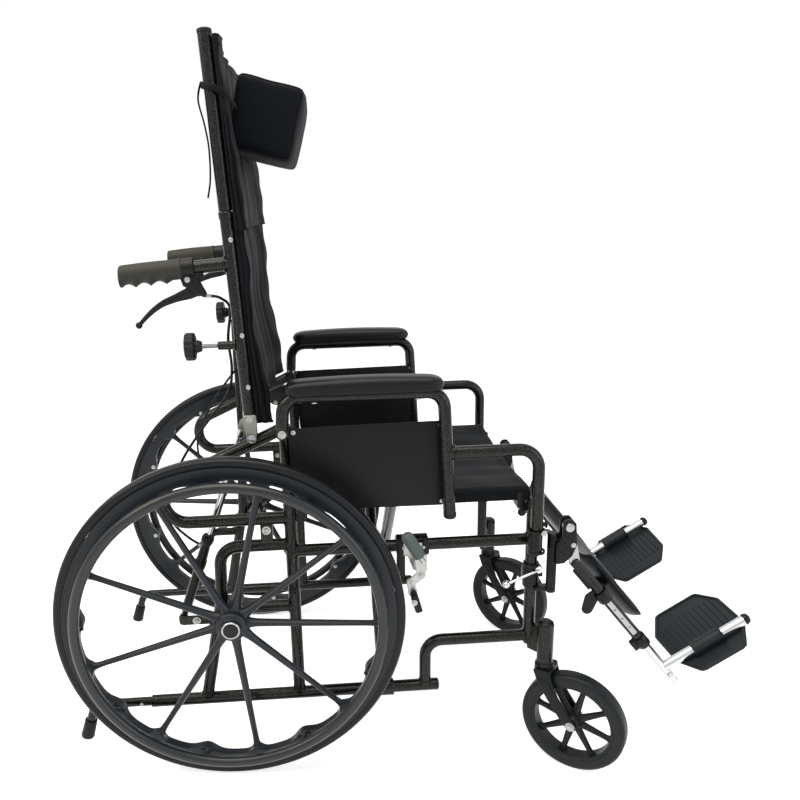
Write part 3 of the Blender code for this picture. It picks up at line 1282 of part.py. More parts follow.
def head_upholstery():
    """Build the head extension's sling, whose hem hangs in front of the back sling's top."""
    rows = 7
    low, high = 0.990, 1.2560
    across = 11
    thick = 0.0045
    sections = []
    for row in range(rows):
        share = row / (rows - 1)
        z = low + (high - low) * share
        hang = cane_x(z) + TUBE + 0.0016
        front = hang + 0.026 - 0.008 * share + 0.003 * math.sin(share * math.pi * 2.0)
        outer, inner = [], []
        for k in range(across + 1):
            t = 2.0 * k / across - 1.0
            y = 0.2245 * t
            sag = 0.018 * (1.0 - t * t) + 0.0018 * math.sin(t * math.pi * 4.0 + share * 2.0)
            outer.append(Vector((front - sag, y, z)))
            inner.append(Vector((front - sag - thick, y * (1.0 - thick / 0.2245), z)))
        left = [Vector((hang, 0.2245, z))]
        right = [Vector((hang, -0.2245, z))]
        left_in = [Vector((hang, 0.2245 - thick, z))]
        right_in = [Vector((hang, -0.2245 + thick, z))]
        sections.append(right + outer + left + left_in + inner[::-1] + right_in)
    part("head_upholstery", loft(sections), NYLON, smooth=60.0)


def head_pillow():
    """Build the pillow of the head extension: a box cushion with a crowned front."""
    shape = bmesh.new()
    bmesh.ops.create_cube(shape, size=1.0)
    bmesh.ops.subdivide_edges(shape, edges=shape.edges, cuts=2, use_grid_fill=True)
    size = Vector((0.100, 0.322, 0.112))
    for vert in shape.verts:
        inset = 1.0 - 0.10 * (abs(vert.co.y) * 2.0) ** 4
        vert.co.x *= inset
        vert.co.z *= inset
        vert.co = Vector((vert.co.x * size.x, vert.co.y * size.y, vert.co.z * size.z))
    centre = Vector((0.1095, 0.0, 1.1350))
    cushion = from_bmesh(shape, Matrix.Translation(centre) @ Matrix.Rotation(math.radians(15.0), 4, "Y"))
    part("head_pillow", subdivided(cushion, 1), PILLOW_NYLON, smooth=60.0)


def build():
    """Build every piece of the chair."""
    for side in (RIGHT, LEFT):
        side_frame(side)
        back_cane(side)
        head_post(side)
        grip(side)
        trigger_lever(side)
        recline_cable(side)
        clamp_knob(side)
        gas_cylinder(side)
        cylinder_rod(side)
        arm_frame(side)
        arm_pad(side)
        skirt_guard(side)
        rear_wheel(side)
        rear_tyre(side)
        handrim(side)
        caster_fork(side)
        caster_wheel(side)
        lock_lever(side)
        lock_shoe(side)
        legrest_hanger(side)
        latch_lever(side)
        leg_tube(side)
        calf_pad(side)
        footplate_post(side)
        footplate(side)
        anti_tipper(side)
    cross_brace(RIGHT, BRACE_X[0], "cross_brace_a")
    cross_brace(LEFT, BRACE_X[1], "cross_brace_b")
    spreader_bar()
    seat_upholstery()
    back_upholstery()
    head_upholstery()
    head_pillow()


clear_scene()
PARTS = bpy.data.collections.new("reclining_wheelchair")
bpy.context.scene.collection.children.link(PARTS)
FRAME_COAT = material("silver_vein_powder_coat", (0.055, 0.055, 0.052), 0.35, 0.8)
CHROME = material("chrome_plate", (0.80, 0.80, 0.80), 0.12, 1.0)
ZINC = material("bright_zinc", (0.66, 0.67, 0.66), 0.30, 1.0)
WHEEL_BLACK = material("moulded_wheel_nylon", (0.020, 0.024, 0.028), 0.45, 0.0)
TYRE_BLACK = material("solid_tyre_polyurethane", (0.016, 0.018, 0.020), 0.55, 0.0)
HANDRIM_GREY = material("handrim_vinyl_coat", (0.045, 0.050, 0.052), 0.40, 0.0)
CASTER_BLACK = material("caster_moulding", (0.018, 0.022, 0.026), 0.45, 0.0)
FORK_BLACK = material("fork_powder_coat", (0.022, 0.025, 0.028), 0.40, 0.3)
RUBBER = material("grip_rubber", (0.065, 0.065, 0.062), 0.70, 0.0)
LEVER_BLACK = material("lever_plastic", (0.022, 0.022, 0.024), 0.45, 0.0)
CABLE_BLACK = material("cable_jacket", (0.012, 0.012, 0.012), 0.50, 0.0)
KNOB_BLACK = material("knob_plastic", (0.035, 0.038, 0.040), 0.50, 0.0)
CYLINDER_BLACK = material("cylinder_enamel", (0.020, 0.022, 0.024), 0.35, 0.2)
VINYL = material("arm_pad_vinyl", (0.012, 0.014, 0.016), 0.42, 0.0)
CALF_VINYL = material("calf_pad_vinyl", (0.020, 0.035, 0.050), 0.40, 0.0)
NYLON = material("black_nylon", (0.010, 0.011, 0.014), 0.75, 0.0)
PILLOW_NYLON = material("pillow_nylon", (0.009, 0.010, 0.012), 0.80, 0.0)
SKIRT_BLACK = material("skirt_panel", (0.006, 0.007, 0.010), 0.55, 0.0)
HOUSING_BLACK = material("housing_coat", (0.018, 0.018, 0.018), 0.45, 0.1)
FOOT_BLACK = material("footplate_nylon", (0.030, 0.036, 0.040), 0.50, 0.0)
build()
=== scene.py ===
"""Reclining wheelchair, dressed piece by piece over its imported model.

Sizes are in metres on a level chair: +X forward, +Y to its left, +Z up, with the origin on the
floor under the rear axle. Stance turns them into the model's axes, nose-up on its four wheels.
"""

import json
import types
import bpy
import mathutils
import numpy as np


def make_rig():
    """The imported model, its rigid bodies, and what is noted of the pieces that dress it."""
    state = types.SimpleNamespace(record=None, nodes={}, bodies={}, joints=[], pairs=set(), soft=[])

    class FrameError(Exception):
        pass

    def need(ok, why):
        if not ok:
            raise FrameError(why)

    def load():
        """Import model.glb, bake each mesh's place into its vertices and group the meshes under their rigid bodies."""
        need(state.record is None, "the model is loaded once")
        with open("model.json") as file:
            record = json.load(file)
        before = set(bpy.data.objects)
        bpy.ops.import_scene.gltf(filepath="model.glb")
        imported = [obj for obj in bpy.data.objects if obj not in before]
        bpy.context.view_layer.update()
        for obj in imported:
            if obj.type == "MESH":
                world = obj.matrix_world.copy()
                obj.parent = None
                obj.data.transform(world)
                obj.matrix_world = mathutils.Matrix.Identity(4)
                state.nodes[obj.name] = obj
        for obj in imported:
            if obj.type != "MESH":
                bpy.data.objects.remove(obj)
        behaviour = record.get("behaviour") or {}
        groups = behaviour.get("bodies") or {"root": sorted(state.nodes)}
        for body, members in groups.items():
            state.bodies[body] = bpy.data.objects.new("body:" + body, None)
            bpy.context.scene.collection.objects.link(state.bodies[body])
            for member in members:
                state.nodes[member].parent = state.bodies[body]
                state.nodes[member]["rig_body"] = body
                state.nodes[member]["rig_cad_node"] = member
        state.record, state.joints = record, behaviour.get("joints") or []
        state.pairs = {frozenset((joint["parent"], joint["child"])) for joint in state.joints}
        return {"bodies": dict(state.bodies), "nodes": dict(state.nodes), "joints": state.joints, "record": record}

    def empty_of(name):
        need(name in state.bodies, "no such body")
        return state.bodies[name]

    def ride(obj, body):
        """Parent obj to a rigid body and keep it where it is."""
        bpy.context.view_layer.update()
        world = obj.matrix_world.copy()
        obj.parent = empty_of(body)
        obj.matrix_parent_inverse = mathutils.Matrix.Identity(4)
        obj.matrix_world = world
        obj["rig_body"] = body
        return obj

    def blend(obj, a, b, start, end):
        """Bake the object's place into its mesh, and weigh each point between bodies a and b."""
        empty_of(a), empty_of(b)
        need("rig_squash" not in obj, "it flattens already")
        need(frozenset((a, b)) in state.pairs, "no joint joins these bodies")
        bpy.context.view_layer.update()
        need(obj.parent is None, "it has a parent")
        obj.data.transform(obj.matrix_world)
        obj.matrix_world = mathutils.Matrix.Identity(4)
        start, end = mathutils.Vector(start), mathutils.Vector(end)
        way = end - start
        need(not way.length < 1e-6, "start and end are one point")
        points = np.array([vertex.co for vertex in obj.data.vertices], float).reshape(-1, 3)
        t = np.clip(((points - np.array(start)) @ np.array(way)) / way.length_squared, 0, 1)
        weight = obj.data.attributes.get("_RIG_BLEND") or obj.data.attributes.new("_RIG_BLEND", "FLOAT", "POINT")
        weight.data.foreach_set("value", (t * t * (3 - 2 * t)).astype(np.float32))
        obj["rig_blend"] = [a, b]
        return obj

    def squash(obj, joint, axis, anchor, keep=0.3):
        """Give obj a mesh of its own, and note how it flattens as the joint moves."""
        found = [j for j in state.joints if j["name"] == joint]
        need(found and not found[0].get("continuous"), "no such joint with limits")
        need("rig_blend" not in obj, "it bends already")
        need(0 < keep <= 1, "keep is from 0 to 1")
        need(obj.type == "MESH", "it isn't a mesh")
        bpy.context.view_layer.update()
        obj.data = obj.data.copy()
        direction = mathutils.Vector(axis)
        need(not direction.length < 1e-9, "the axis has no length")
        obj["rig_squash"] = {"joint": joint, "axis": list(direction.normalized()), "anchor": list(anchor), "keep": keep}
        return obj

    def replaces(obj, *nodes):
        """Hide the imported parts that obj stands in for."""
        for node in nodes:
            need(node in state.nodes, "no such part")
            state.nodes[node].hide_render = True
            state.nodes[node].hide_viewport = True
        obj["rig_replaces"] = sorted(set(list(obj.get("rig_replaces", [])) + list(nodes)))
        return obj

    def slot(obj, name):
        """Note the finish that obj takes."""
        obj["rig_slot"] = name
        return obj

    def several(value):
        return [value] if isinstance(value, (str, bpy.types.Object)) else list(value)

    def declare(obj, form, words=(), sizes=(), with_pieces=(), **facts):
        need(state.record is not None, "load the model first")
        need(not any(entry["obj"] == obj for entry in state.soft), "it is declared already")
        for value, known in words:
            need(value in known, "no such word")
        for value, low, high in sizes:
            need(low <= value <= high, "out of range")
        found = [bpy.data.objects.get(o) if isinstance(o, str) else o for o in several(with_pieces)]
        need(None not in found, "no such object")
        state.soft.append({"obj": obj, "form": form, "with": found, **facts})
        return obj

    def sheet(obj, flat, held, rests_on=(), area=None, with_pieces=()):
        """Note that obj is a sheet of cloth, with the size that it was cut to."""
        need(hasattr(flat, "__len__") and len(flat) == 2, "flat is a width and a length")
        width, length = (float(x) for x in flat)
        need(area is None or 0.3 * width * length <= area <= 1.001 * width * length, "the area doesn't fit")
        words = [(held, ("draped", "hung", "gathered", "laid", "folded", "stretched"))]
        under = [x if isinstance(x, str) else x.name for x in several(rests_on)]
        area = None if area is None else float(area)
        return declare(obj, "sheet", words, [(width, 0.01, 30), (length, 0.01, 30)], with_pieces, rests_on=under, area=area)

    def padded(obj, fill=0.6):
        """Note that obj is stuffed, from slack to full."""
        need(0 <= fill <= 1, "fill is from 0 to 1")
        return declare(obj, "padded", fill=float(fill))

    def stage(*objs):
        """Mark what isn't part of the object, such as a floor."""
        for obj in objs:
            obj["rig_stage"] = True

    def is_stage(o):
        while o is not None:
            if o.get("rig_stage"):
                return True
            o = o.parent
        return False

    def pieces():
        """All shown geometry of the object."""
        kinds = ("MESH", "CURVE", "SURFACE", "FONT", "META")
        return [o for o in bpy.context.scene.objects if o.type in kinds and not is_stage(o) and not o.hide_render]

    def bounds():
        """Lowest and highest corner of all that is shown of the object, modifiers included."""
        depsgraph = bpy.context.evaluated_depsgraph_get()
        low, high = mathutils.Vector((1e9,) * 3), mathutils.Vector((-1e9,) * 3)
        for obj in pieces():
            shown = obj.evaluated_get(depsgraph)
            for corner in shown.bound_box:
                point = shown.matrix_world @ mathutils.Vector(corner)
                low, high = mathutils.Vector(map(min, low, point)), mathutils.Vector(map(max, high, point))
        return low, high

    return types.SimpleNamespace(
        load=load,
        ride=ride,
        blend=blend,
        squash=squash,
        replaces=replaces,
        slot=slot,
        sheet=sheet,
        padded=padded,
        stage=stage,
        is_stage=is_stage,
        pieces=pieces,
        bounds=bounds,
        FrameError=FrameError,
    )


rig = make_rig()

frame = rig.load()

import json
import logging
import math
from dataclasses import dataclass
from enum import Enum
from typing import Iterable, Sequence

import bmesh
import bpy
import numpy as np
from mathutils import Matrix, Vector

LOG = logging.getLogger("wheelchair")
CAD_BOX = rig.bounds()
Array = np.ndarray
Axis = tuple[float, float, float]
FORWARD: Axis = (1.0, 0.0, 0.0)
ACROSS: Axis = (0.0, 1.0, 0.0)
UP: Axis = (0.0, 0.0, 1.0)
BACKWARD: Axis = (-1.0, 0.0, 0.0)
DOWN: Axis = (0.0, 0.0, -1.0)
ORIGIN: Axis = (0.0, 0.0, 0.0)
FOLD_TRAVEL = 0.14266  # how far the left side moves in when the chair folds


class Side(Enum):
    """A side of the chair, valued by the sign of its Y."""

    RIGHT = -1
    LEFT = 1

    @property
    def label(self) -> str:
        """Return the side's name as the nodes spell it."""
        return self.name.lower()

    @property
    def out(self) -> Axis:
        """Return the direction away from the chair's middle plane."""
        return (0.0, float(self.value), 0.0)

    @property
    def inward(self) -> Axis:
        """Return the direction towards the chair's middle plane."""
        return (0.0, -float(self.value), 0.0)

    def at(self, x: float, y: float, z: float) -> Array:
        """Return a point at distance y from the chair's middle plane."""
        return np.array((x, self.value * y, z))

    def run(self, corners: Iterable[tuple[float, float]], y: float) -> Array:
        """Return (x, z) corners as points in the upright plane at distance y."""
        return np.array([(x, self.value * y, z) for x, z in corners])


@dataclass(frozen=True)
class Stance:
    """How the level chair stands: pitched nose-up about its rear axle, then shifted."""

    nose_up: float = math.radians(3.9)
    axle_height: float = 0.305
    shift: tuple[float, float] = (-0.335, 0.0086)

    def matrix(self) -> Matrix:
        """Return the move from the level chair to the model's axes."""
        axle = Matrix.Translation((0.0, 0.0, self.axle_height))
        turn = Matrix.Rotation(-self.nose_up, 4, "Y")
        return Matrix.Translation((*self.shift, 0.0)) @ axle @ turn @ axle.inverted()


STANCE = Stance()


@dataclass(frozen=True)
class Layout:
    """Planes and driving sizes that several assemblies share."""

    frame_y: float = 0.214
    seat_rail_y: float = 0.2
    cylinder_y: float = 0.19
    arm_y: float = 0.25
    barrel_y: float = 0.243
    legrest_y: float = 0.235
    wheel_y: float = 0.283
    handrim_y: float = 0.315
    lock_y: float = 0.262
    tube: float = 0.0111
    lower_rail_z: float = 0.108
    seat_rail_z: float = 0.489
    knob_z: float = 0.783
    cane_foot: tuple[float, float] = (0.0503, 0.6214)
    cane_lean: float = -0.0472
    cane_join_z: float = 0.999
    head_top_z: float = 1.2637
    back_pivot: tuple[float, float] = (0.05, 0.622)
    arm_pivot: tuple[float, float] = (0.104, 0.637)
    strut_foot: tuple[float, float] = (-0.103, 0.2675)
    rod_eye: tuple[float, float] = (0.033, 0.638)
    lock_pivot: tuple[float, float] = (0.336, 0.366)
    latch_pin: tuple[float, float] = (0.559, 0.347)
    swing_post_x: float = 0.58
    barrel_x: float = 0.572
    barrel_foot: float = 0.163

    def cane_x(self, z: float | Array) -> float | Array:
        """Return where the leaning back cane stands at height z."""
        return self.cane_foot[0] + self.cane_lean * (z - self.cane_foot[1])


SIZES = Layout()


@dataclass
class Shape:
    """A surface: an array of points and the faces between them."""

    points: Array
    faces: list[tuple[int, ...]]

    def moved(self, matrix: Matrix) -> "Shape":
        """Return the shape moved by a 4x4 matrix."""
        m = np.array(matrix)
        return Shape(self.points @ m[:3, :3].T + m[:3, 3], self.faces)


def round_turn(count: int) -> Array:
    """Return count equal steps round a circle, in radians from zero."""
    return 2.0 * np.pi * np.arange(count) / count


def signed_power(wave: Array, exponent: float | Array) -> Array:
    """Return a wave raised to an exponent, each value with its own sign."""
    return np.sign(wave) * np.abs(wave) ** exponent


def unit(vectors: Array) -> Array:
    """Return vectors scaled to length one along their last axis."""
    length = np.linalg.norm(vectors, axis=-1, keepdims=True)
    return vectors / np.maximum(length, 1e-12)


def skin(points: Array, wrap_rows: bool = False, wrap_cols: bool = True,
         caps: bool = True) -> Shape:
    """Join a grid of points into quads.

    Args:
        points: rows x columns x 3 array.
        wrap_rows: joins the last row to the first, as round a ring.
        wrap_cols: joins the last column to the first, as round a tube.
        caps: closes the first and last row with a face.

    Returns:
        The surface as a Shape.
    """
    rows, cols = points.shape[:2]
    index = np.arange(rows * cols).reshape(rows, cols)
    below = index if wrap_rows else index[:-1]
    above = np.roll(index, -1, axis=0) if wrap_rows else index[1:]
    if wrap_cols:
        corners = (below, np.roll(below, -1, axis=1), np.roll(above, -1, axis=1), above)
    else:
        corners = (below[:, :-1], below[:, 1:], above[:, 1:], above[:, :-1])
    quads = np.stack([corner.ravel() for corner in corners], axis=1).tolist()
    faces = [tuple(quad) for quad in quads]
    if caps and not wrap_rows:
        faces.append(tuple(index[0].tolist()))
        faces.append(tuple(index[-1][::-1].tolist()))
    return Shape(points.reshape(-1, 3), faces)


def bent(corners: Sequence, bend: float, steps: int = 8, closed: bool = False) -> Array:
    """Round the corners of a path.

    Each corner gives way to an arc of radius bend that touches both its runs: the arc's points are
    the centre plus a spherical blend of the two touching radii.

    Args:
        corners: the path's corners, in two or three dimensions.
        bend: the arcs' radius.
        steps: how many chords each arc has.
        closed: also rounds the first and last corner of a loop.

    Returns:
        The rounded path as an array of points.
    """
    knots = np.asarray(corners, dtype=float)
    count = len(knots)
    share = np.linspace(0.0, 1.0, steps + 1)[:, None]
    pieces = []
    for i in range(count):
        here = knots[i]
        back = unit(knots[i - 1] - here)
        ahead = unit(knots[(i + 1) % count] - here)
        half = math.acos(max(-1.0, min(1.0, float(back @ ahead)))) / 2.0
        if bend <= 0.0 or (not closed and i in (0, count - 1)) or half > 1.56:
            pieces.append(here[None])
            continue
        centre = here + unit(back + ahead) * bend / math.sin(half)
        first = here + back * bend / math.tan(half) - centre
        last = here + ahead * bend / math.tan(half) - centre
        angle = math.pi - 2.0 * half
        arc = np.sin((1.0 - share) * angle) * first + np.sin(share * angle) * last
        pieces.append(centre + arc / math.sin(angle))
    return np.concatenate(pieces)


def flowing(knots: Sequence, count: int) -> Array:
    """Return count points on a Catmull-Rom curve through the knots.

    Each span blends its two knots and half the chords beside them with the Hermite cubics.
    """
    spots = np.asarray(knots, dtype=float)
    spans = len(spots) - 1
    place = np.linspace(0.0, spans, count)
    k = np.minimum(place.astype(int), spans - 1)
    t = (place - k)[:, None]
    first, second = spots[k], spots[k + 1]
    lead = (second - spots[np.maximum(k - 1, 0)]) / 2.0
    trail = (spots[np.minimum(k + 2, spans)] - first) / 2.0
    return (first * (2 * t**3 - 3 * t**2 + 1) + lead * (t**3 - 2 * t**2 + t)
            + second * (3 * t**2 - 2 * t**3) + trail * (t**3 - t**2))


def swept(path: Array, radius: float | Array, sides: int = 20, plane: Axis = ACROSS,
          chamfer: float = 0.0008, flat: float = 1.0) -> Shape:
    """Carry a round section along a path.

    A ring's points are path + radius x (cos u x side + flat x sin u x plane), where side stands
    square to the path and to the plane's normal. Both ends are chamfered and closed.

    Args:
        path: points along the middle line.
        radius: the section's radius, one for all or one for each point.
        sides: points in a ring.
        plane: a direction that the path never follows.
        chamfer: how much the ends are broken.
        flat: the section's height across the path's plane, as a share of the radius.

    Returns:
        The closed tube.
    """
    line = np.asarray(path, dtype=float)
    reach = unit(np.diff(line, axis=0))
    along = unit(np.concatenate([reach[:1], reach[:-1] + reach[1:], reach[-1:]]))
    size = np.broadcast_to(np.asarray(radius, dtype=float), (len(line),))
    line = np.concatenate([[line[0], line[0], line[0] + along[0] * chamfer], line[1:-1],
                           [line[-1] - along[-1] * chamfer, line[-1], line[-1]]])
    size = np.concatenate([[1e-6, size[0] - chamfer, size[0]], size[1:-1],
                           [size[-1], size[-1] - chamfer, 1e-6]])
    along = np.concatenate([along[:1], along[:1], along[:1], along[1:-1], along[-1:], along[-1:],
                            along[-1:]])
    side = unit(np.cross(along, np.asarray(plane, dtype=float)))
    other = np.cross(along, side)
    turn = round_turn(sides)
    ring = (np.cos(turn)[None, :, None] * side[:, None]
            + flat * np.sin(turn)[None, :, None] * other[:, None])
    return skin(line[:, None] + size[:, None, None] * ring)


def turned(profile: Sequence, centre: Sequence, axis: Sequence, sides: int = 32,
           soften: float = 0.0, closed: bool = False) -> Shape:
    """Turn a profile about an axis.

    A point is centre + height x axis + radius x (cos u x first + sin u x second), with first and
    second square to the axis and to each other.

    Args:
        profile: (radius, height) corners.
        centre: where height is zero.
        axis: direction of the axis.
        sides: steps round the axis.
        soften: radius that rounds the profile's corners.
        closed: the profile is a loop, as for a tyre.

    Returns:
        The closed surface.
    """
    outline = bent(profile, soften, 3, closed) if soften else np.asarray(profile, dtype=float)
    way = unit(np.asarray(axis, dtype=float))
    aside = np.array(UP if abs(way[2]) < 0.9 else FORWARD)
    first = unit(np.cross(aside, way))
    second = np.cross(way, first)
    turn = round_turn(sides)
    round_it = np.cos(turn)[:, None] * first + np.sin(turn)[:, None] * second
    radius = np.maximum(outline[:, 0], 1e-6)[:, None, None]
    points = (np.asarray(centre, dtype=float) + outline[:, 1][:, None, None] * way
              + radius * round_it[None])
    return skin(points, wrap_rows=closed, caps=not closed)


def hoop(inner: float, outer: float, half: float, centre: Sequence, axis: Sequence, sides: int = 32,
         soften: float = 0.0) -> Shape:
    """Make a square-section ring of the given radii that reaches half each way along its axis."""
    section = [(inner, -half), (outer, -half), (outer, half), (inner, half)]
    return turned(section, centre, axis, sides, soften, closed=True)


def sleeve(radii: tuple[float, float, float], halves: tuple[float, float], centre: Sequence,
           axis: Sequence, soften: float = 0.0) -> Shape:
    """Make a short sleeve with bevelled ends.

    Args:
        radii: of the bore, of the end faces and of the barrel.
        halves: half the length over the end faces and over the barrel.
        centre: its middle.
        axis: its direction.
        soften: radius that rounds its section's corners.

    Returns:
        The closed ring.
    """
    (bore, face, barrel), (end, body) = radii, halves
    section = [(bore, -end), (face, -end), (barrel, -body), (barrel, body), (face, end),
               (bore, end)]
    return turned(section, centre, axis, 32, soften, closed=True)


def plug(centre: Sequence, axis: Sequence) -> Shape:
    """Make the plastic plug of a frame tube's end, facing along axis."""
    profile = [(0.0, 0.0035), (0.008, 0.003), (0.0112, 0.0006), (0.0114, -0.003), (0.0, -0.003)]
    return turned(profile, centre, axis, 28, 0.0008)


def weld(centre: Sequence, axis: Sequence) -> Shape:
    """Make the bead where a tube's end is welded to another tube."""
    section = [(0.01, -0.002), (0.0132, -0.001), (0.0134, 0.001), (0.01, 0.003)]
    return turned(section, centre, axis, 24, closed=True)


def slab(outline: Sequence, thickness: float, origin: Sequence, u: Axis = FORWARD, v: Axis = UP,
         edge: float = 0.0006) -> Shape:
    """Extrude an outline about its own plane, with rounded edges.

    The rim rises through the thickness while the outline moves in by edge x (1 - sin a) on a
    quarter turn a at each face.

    Args:
        outline: (u, v) corners of a loop.
        thickness: distance between the two faces.
        origin: where u and v are zero, in the middle of the thickness.
        u: direction of the outline's first number.
        v: direction of its second number.
        edge: radius of the rounded edges.

    Returns:
        The closed plate.
    """
    loop = np.asarray(outline, dtype=float)
    after = np.roll(loop, -1, axis=0) - loop
    area = float(np.sum(loop[:, 0] * np.roll(loop[:, 1], -1)
                        - np.roll(loop[:, 0], -1) * loop[:, 1]))
    turn = 1.0 if area > 0.0 else -1.0
    inward = unit(np.stack([-after[:, 1], after[:, 0]], axis=1)) * turn
    before = np.roll(inward, 1, axis=0)
    mitre = (inward + before) / np.maximum(1.0 + np.sum(inward * before, axis=1, keepdims=True),
                                           0.35)
    quarter = np.linspace(0.0, np.pi / 2.0, 4)
    inset = np.concatenate([edge * (1.0 - np.sin(quarter)), edge * (1.0 - np.sin(quarter[::-1]))])
    half = thickness / 2.0
    rise = np.concatenate([-half + edge * (1.0 - np.cos(quarter)), half
                           - edge * (1.0 - np.cos(quarter[::-1]))])
    flat = loop[None] + inset[:, None, None] * mitre[None]
    first, second = np.asarray(u, dtype=float), np.asarray(v, dtype=float)
    normal = np.cross(first, second)
    points = (np.asarray(origin, dtype=float) + flat[..., :1] * first + flat[..., 1:] * second
              + rise[:, None, None] * normal)
    return skin(points)


def block(centre: Sequence, size: Sequence, turn: float = 0.0, corner: float = 0.0015) -> Shape:
    """Make a block with rounded corners, turned nose-down about the axis across the chair.

    Its outline is a rectangle with bent corners in X and Z, and slab extrudes it along Y.
    """
    half_x, half_z = size[0] / 2.0, size[2] / 2.0
    corners = [(-half_x, -half_z), (half_x, -half_z), (half_x, half_z), (-half_x, half_z)]
    outline = bent(corners, min(corner, half_x * 0.8, half_z * 0.8), 3, closed=True)
    cos, sin = math.cos(turn), math.sin(turn)
    edge = min(corner * 0.6, size[1] * 0.3)
    return slab(outline, size[1], centre, (cos, 0.0, -sin), (sin, 0.0, cos), edge)


def bar(start: Sequence, end: Sequence, radius: float, sides: int = 20,
        chamfer: float = 0.0006) -> Shape:
    """Make a straight round bar between two points."""
    path = np.array([start, end], dtype=float)
    way = unit(path[1] - path[0])
    plane = ACROSS if abs(way[1]) < 0.9 else FORWARD
    return swept(path, radius, sides, plane, chamfer)


def ball(centre: Sequence, radius: float, sides: int = 20) -> Shape:
    """Make a sphere: a half circle turned about an upright axis."""
    turn = np.linspace(np.pi / 2.0, -np.pi / 2.0, sides // 2 + 1)
    return turned(np.stack([radius * np.cos(turn), radius * np.sin(turn)], axis=1), centre, UP,
                  sides)


def band(discs: Sequence[tuple[float, float, float]], count: int = 48) -> Array:
    """Return the outline of the belt stretched round several (u, v, radius) discs.

    In each direction the belt lies on the disc whose centre's reach plus radius is greatest.
    """
    turn = round_turn(count)
    way = np.stack([np.cos(turn), np.sin(turn)], axis=1)
    spots = np.asarray(discs, dtype=float)
    reach = way @ spots[:, :2].T + spots[:, 2]
    best = spots[np.argmax(reach, axis=1)]
    return best[:, :2] + best[:, 2:] * way


def bolt(centre: Sequence, axis: Sequence, radius: float, height: float) -> list[Shape]:
    """Make a domed screw head on a washer, facing along axis, with its seat at centre."""
    dome = [(0.0, height), (radius * 0.55, height * 0.92), (radius * 0.88, height * 0.6),
            (radius * 0.97, height * 0.25), (radius * 0.97, -0.001), (0.0, -0.001)]
    washer = [(0.0, 0.0009), (radius * 1.35, 0.0008), (radius * 1.4, -0.001), (0.0, -0.001)]
    return [turned(dome, centre, axis, 20), turned(washer, centre, axis, 24)]


def nut(centre: Sequence, axis: Sequence, radius: float, height: float) -> list[Shape]:
    """Make a six-sided nut with its lock ring, facing along axis."""
    body = [(0.0, height * 0.7), (radius * 0.9, height * 0.7), (radius, height * 0.55),
            (radius, -0.001), (0.0, -0.001)]
    ring = [(0.0, height), (radius * 0.5, height), (radius * 0.66, height * 0.7),
            (0.0, height * 0.6)]
    return [turned(body, centre, axis, 6), turned(ring, centre, axis, 18)]


def piece(name: str, shapes: Iterable[Shape], finish: "Finish", body: str,
          stands_for: Sequence[str] = (), sharp: float = 34.0,
          place: Matrix | None = None) -> bpy.types.Object:
    """Make one named piece of the chair and hang it on a body of the model.

    Args:
        name: the piece's name.
        shapes: surfaces on the level chair.
        finish: what it is made of.
        body: the body of the model that carries it, or "" for a piece that bends between two.
        stands_for: nodes of the model that it is shown instead of.
        sharp: faces that meet at more than this angle in degrees keep a crisp edge.
        place: a move from the shapes' own axes to the level chair.

    Returns:
        The finished object.
    """
    points: list[Array] = []
    faces: list[tuple[int, ...]] = []
    first = 0
    for shape in shapes:
        points.append(shape.points)
        faces.extend(tuple(i + first for i in face) for face in shape.faces)
        first += len(shape.points)
    mesh = bpy.data.meshes.new(name)
    mesh.from_pydata(np.concatenate(points).tolist(), [], faces)
    mesh.transform(STANCE.matrix() @ place if place else STANCE.matrix())
    tidy = bmesh.new()
    tidy.from_mesh(mesh)
    bmesh.ops.remove_doubles(tidy, verts=tidy.verts, dist=0.000004)
    bmesh.ops.recalc_face_normals(tidy, faces=tidy.faces)
    tidy.to_mesh(mesh)
    tidy.free()
    mesh.shade_smooth()
    mesh.set_sharp_from_angle(angle=math.radians(sharp))
    obj = bpy.data.objects.new(name, mesh)
    bpy.context.scene.collection.objects.link(obj)
    mesh.materials.append(finish.material())
    if stands_for:
        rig.replaces(obj, *stands_for)
    if body:
        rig.ride(obj, body)
    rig.slot(obj, finish.slot)
    LOG.info("%s: %d faces on %s", name, len(mesh.polygons), body or "two bodies")
    return obj


def narrow(objs: Iterable[bpy.types.Object], half: float) -> None:
    """Let cloth between the two sides close up towards the right side as the chair folds.

    Args:
        objs: the pieces.
        half: half the width between their outer edges.

    The left side moves in by FOLD_TRAVEL at the fold's limit, so a piece keeps the share of its
    width that is left.
    """
    edge = STANCE.matrix() @ Vector((0.0, -half, 0.0))
    for obj in objs:
        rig.squash(obj, "fold", ACROSS, tuple(edge), keep=1.0 - FOLD_TRAVEL / (2.0 * half))


def span(objs: Iterable[bpy.types.Object], bodies: tuple[str, str],
         ends: tuple[Axis, Axis]) -> None:
    """Let pieces bend between two jointed bodies.

    Args:
        objs: the pieces, which ride neither body.
        bodies: the two bodies.
        ends: level points up to which a piece follows the first body and from which the second.
    """
    start, end = (tuple(STANCE.matrix() @ Vector(point)) for point in ends)
    for obj in objs:
        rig.blend(obj, *bodies, start, end)


def linear(hex_colour: str) -> tuple[float, float, float, float]:
    """Turn an sRGB colour such as '#1b2126' to linear light.

    Args:
        hex_colour: the colour as it is seen on a screen.

    Returns:
        Red, green, blue and an alpha of one.
    """
    channels = (int(hex_colour[i:i + 2], 16) / 255.0 for i in (1, 3, 5))
    red, green, blue = (c / 12.92 if c <= 0.04045 else ((c + 0.055) / 1.055) ** 2.4
                        for c in channels)
    return red, green, blue, 1.0


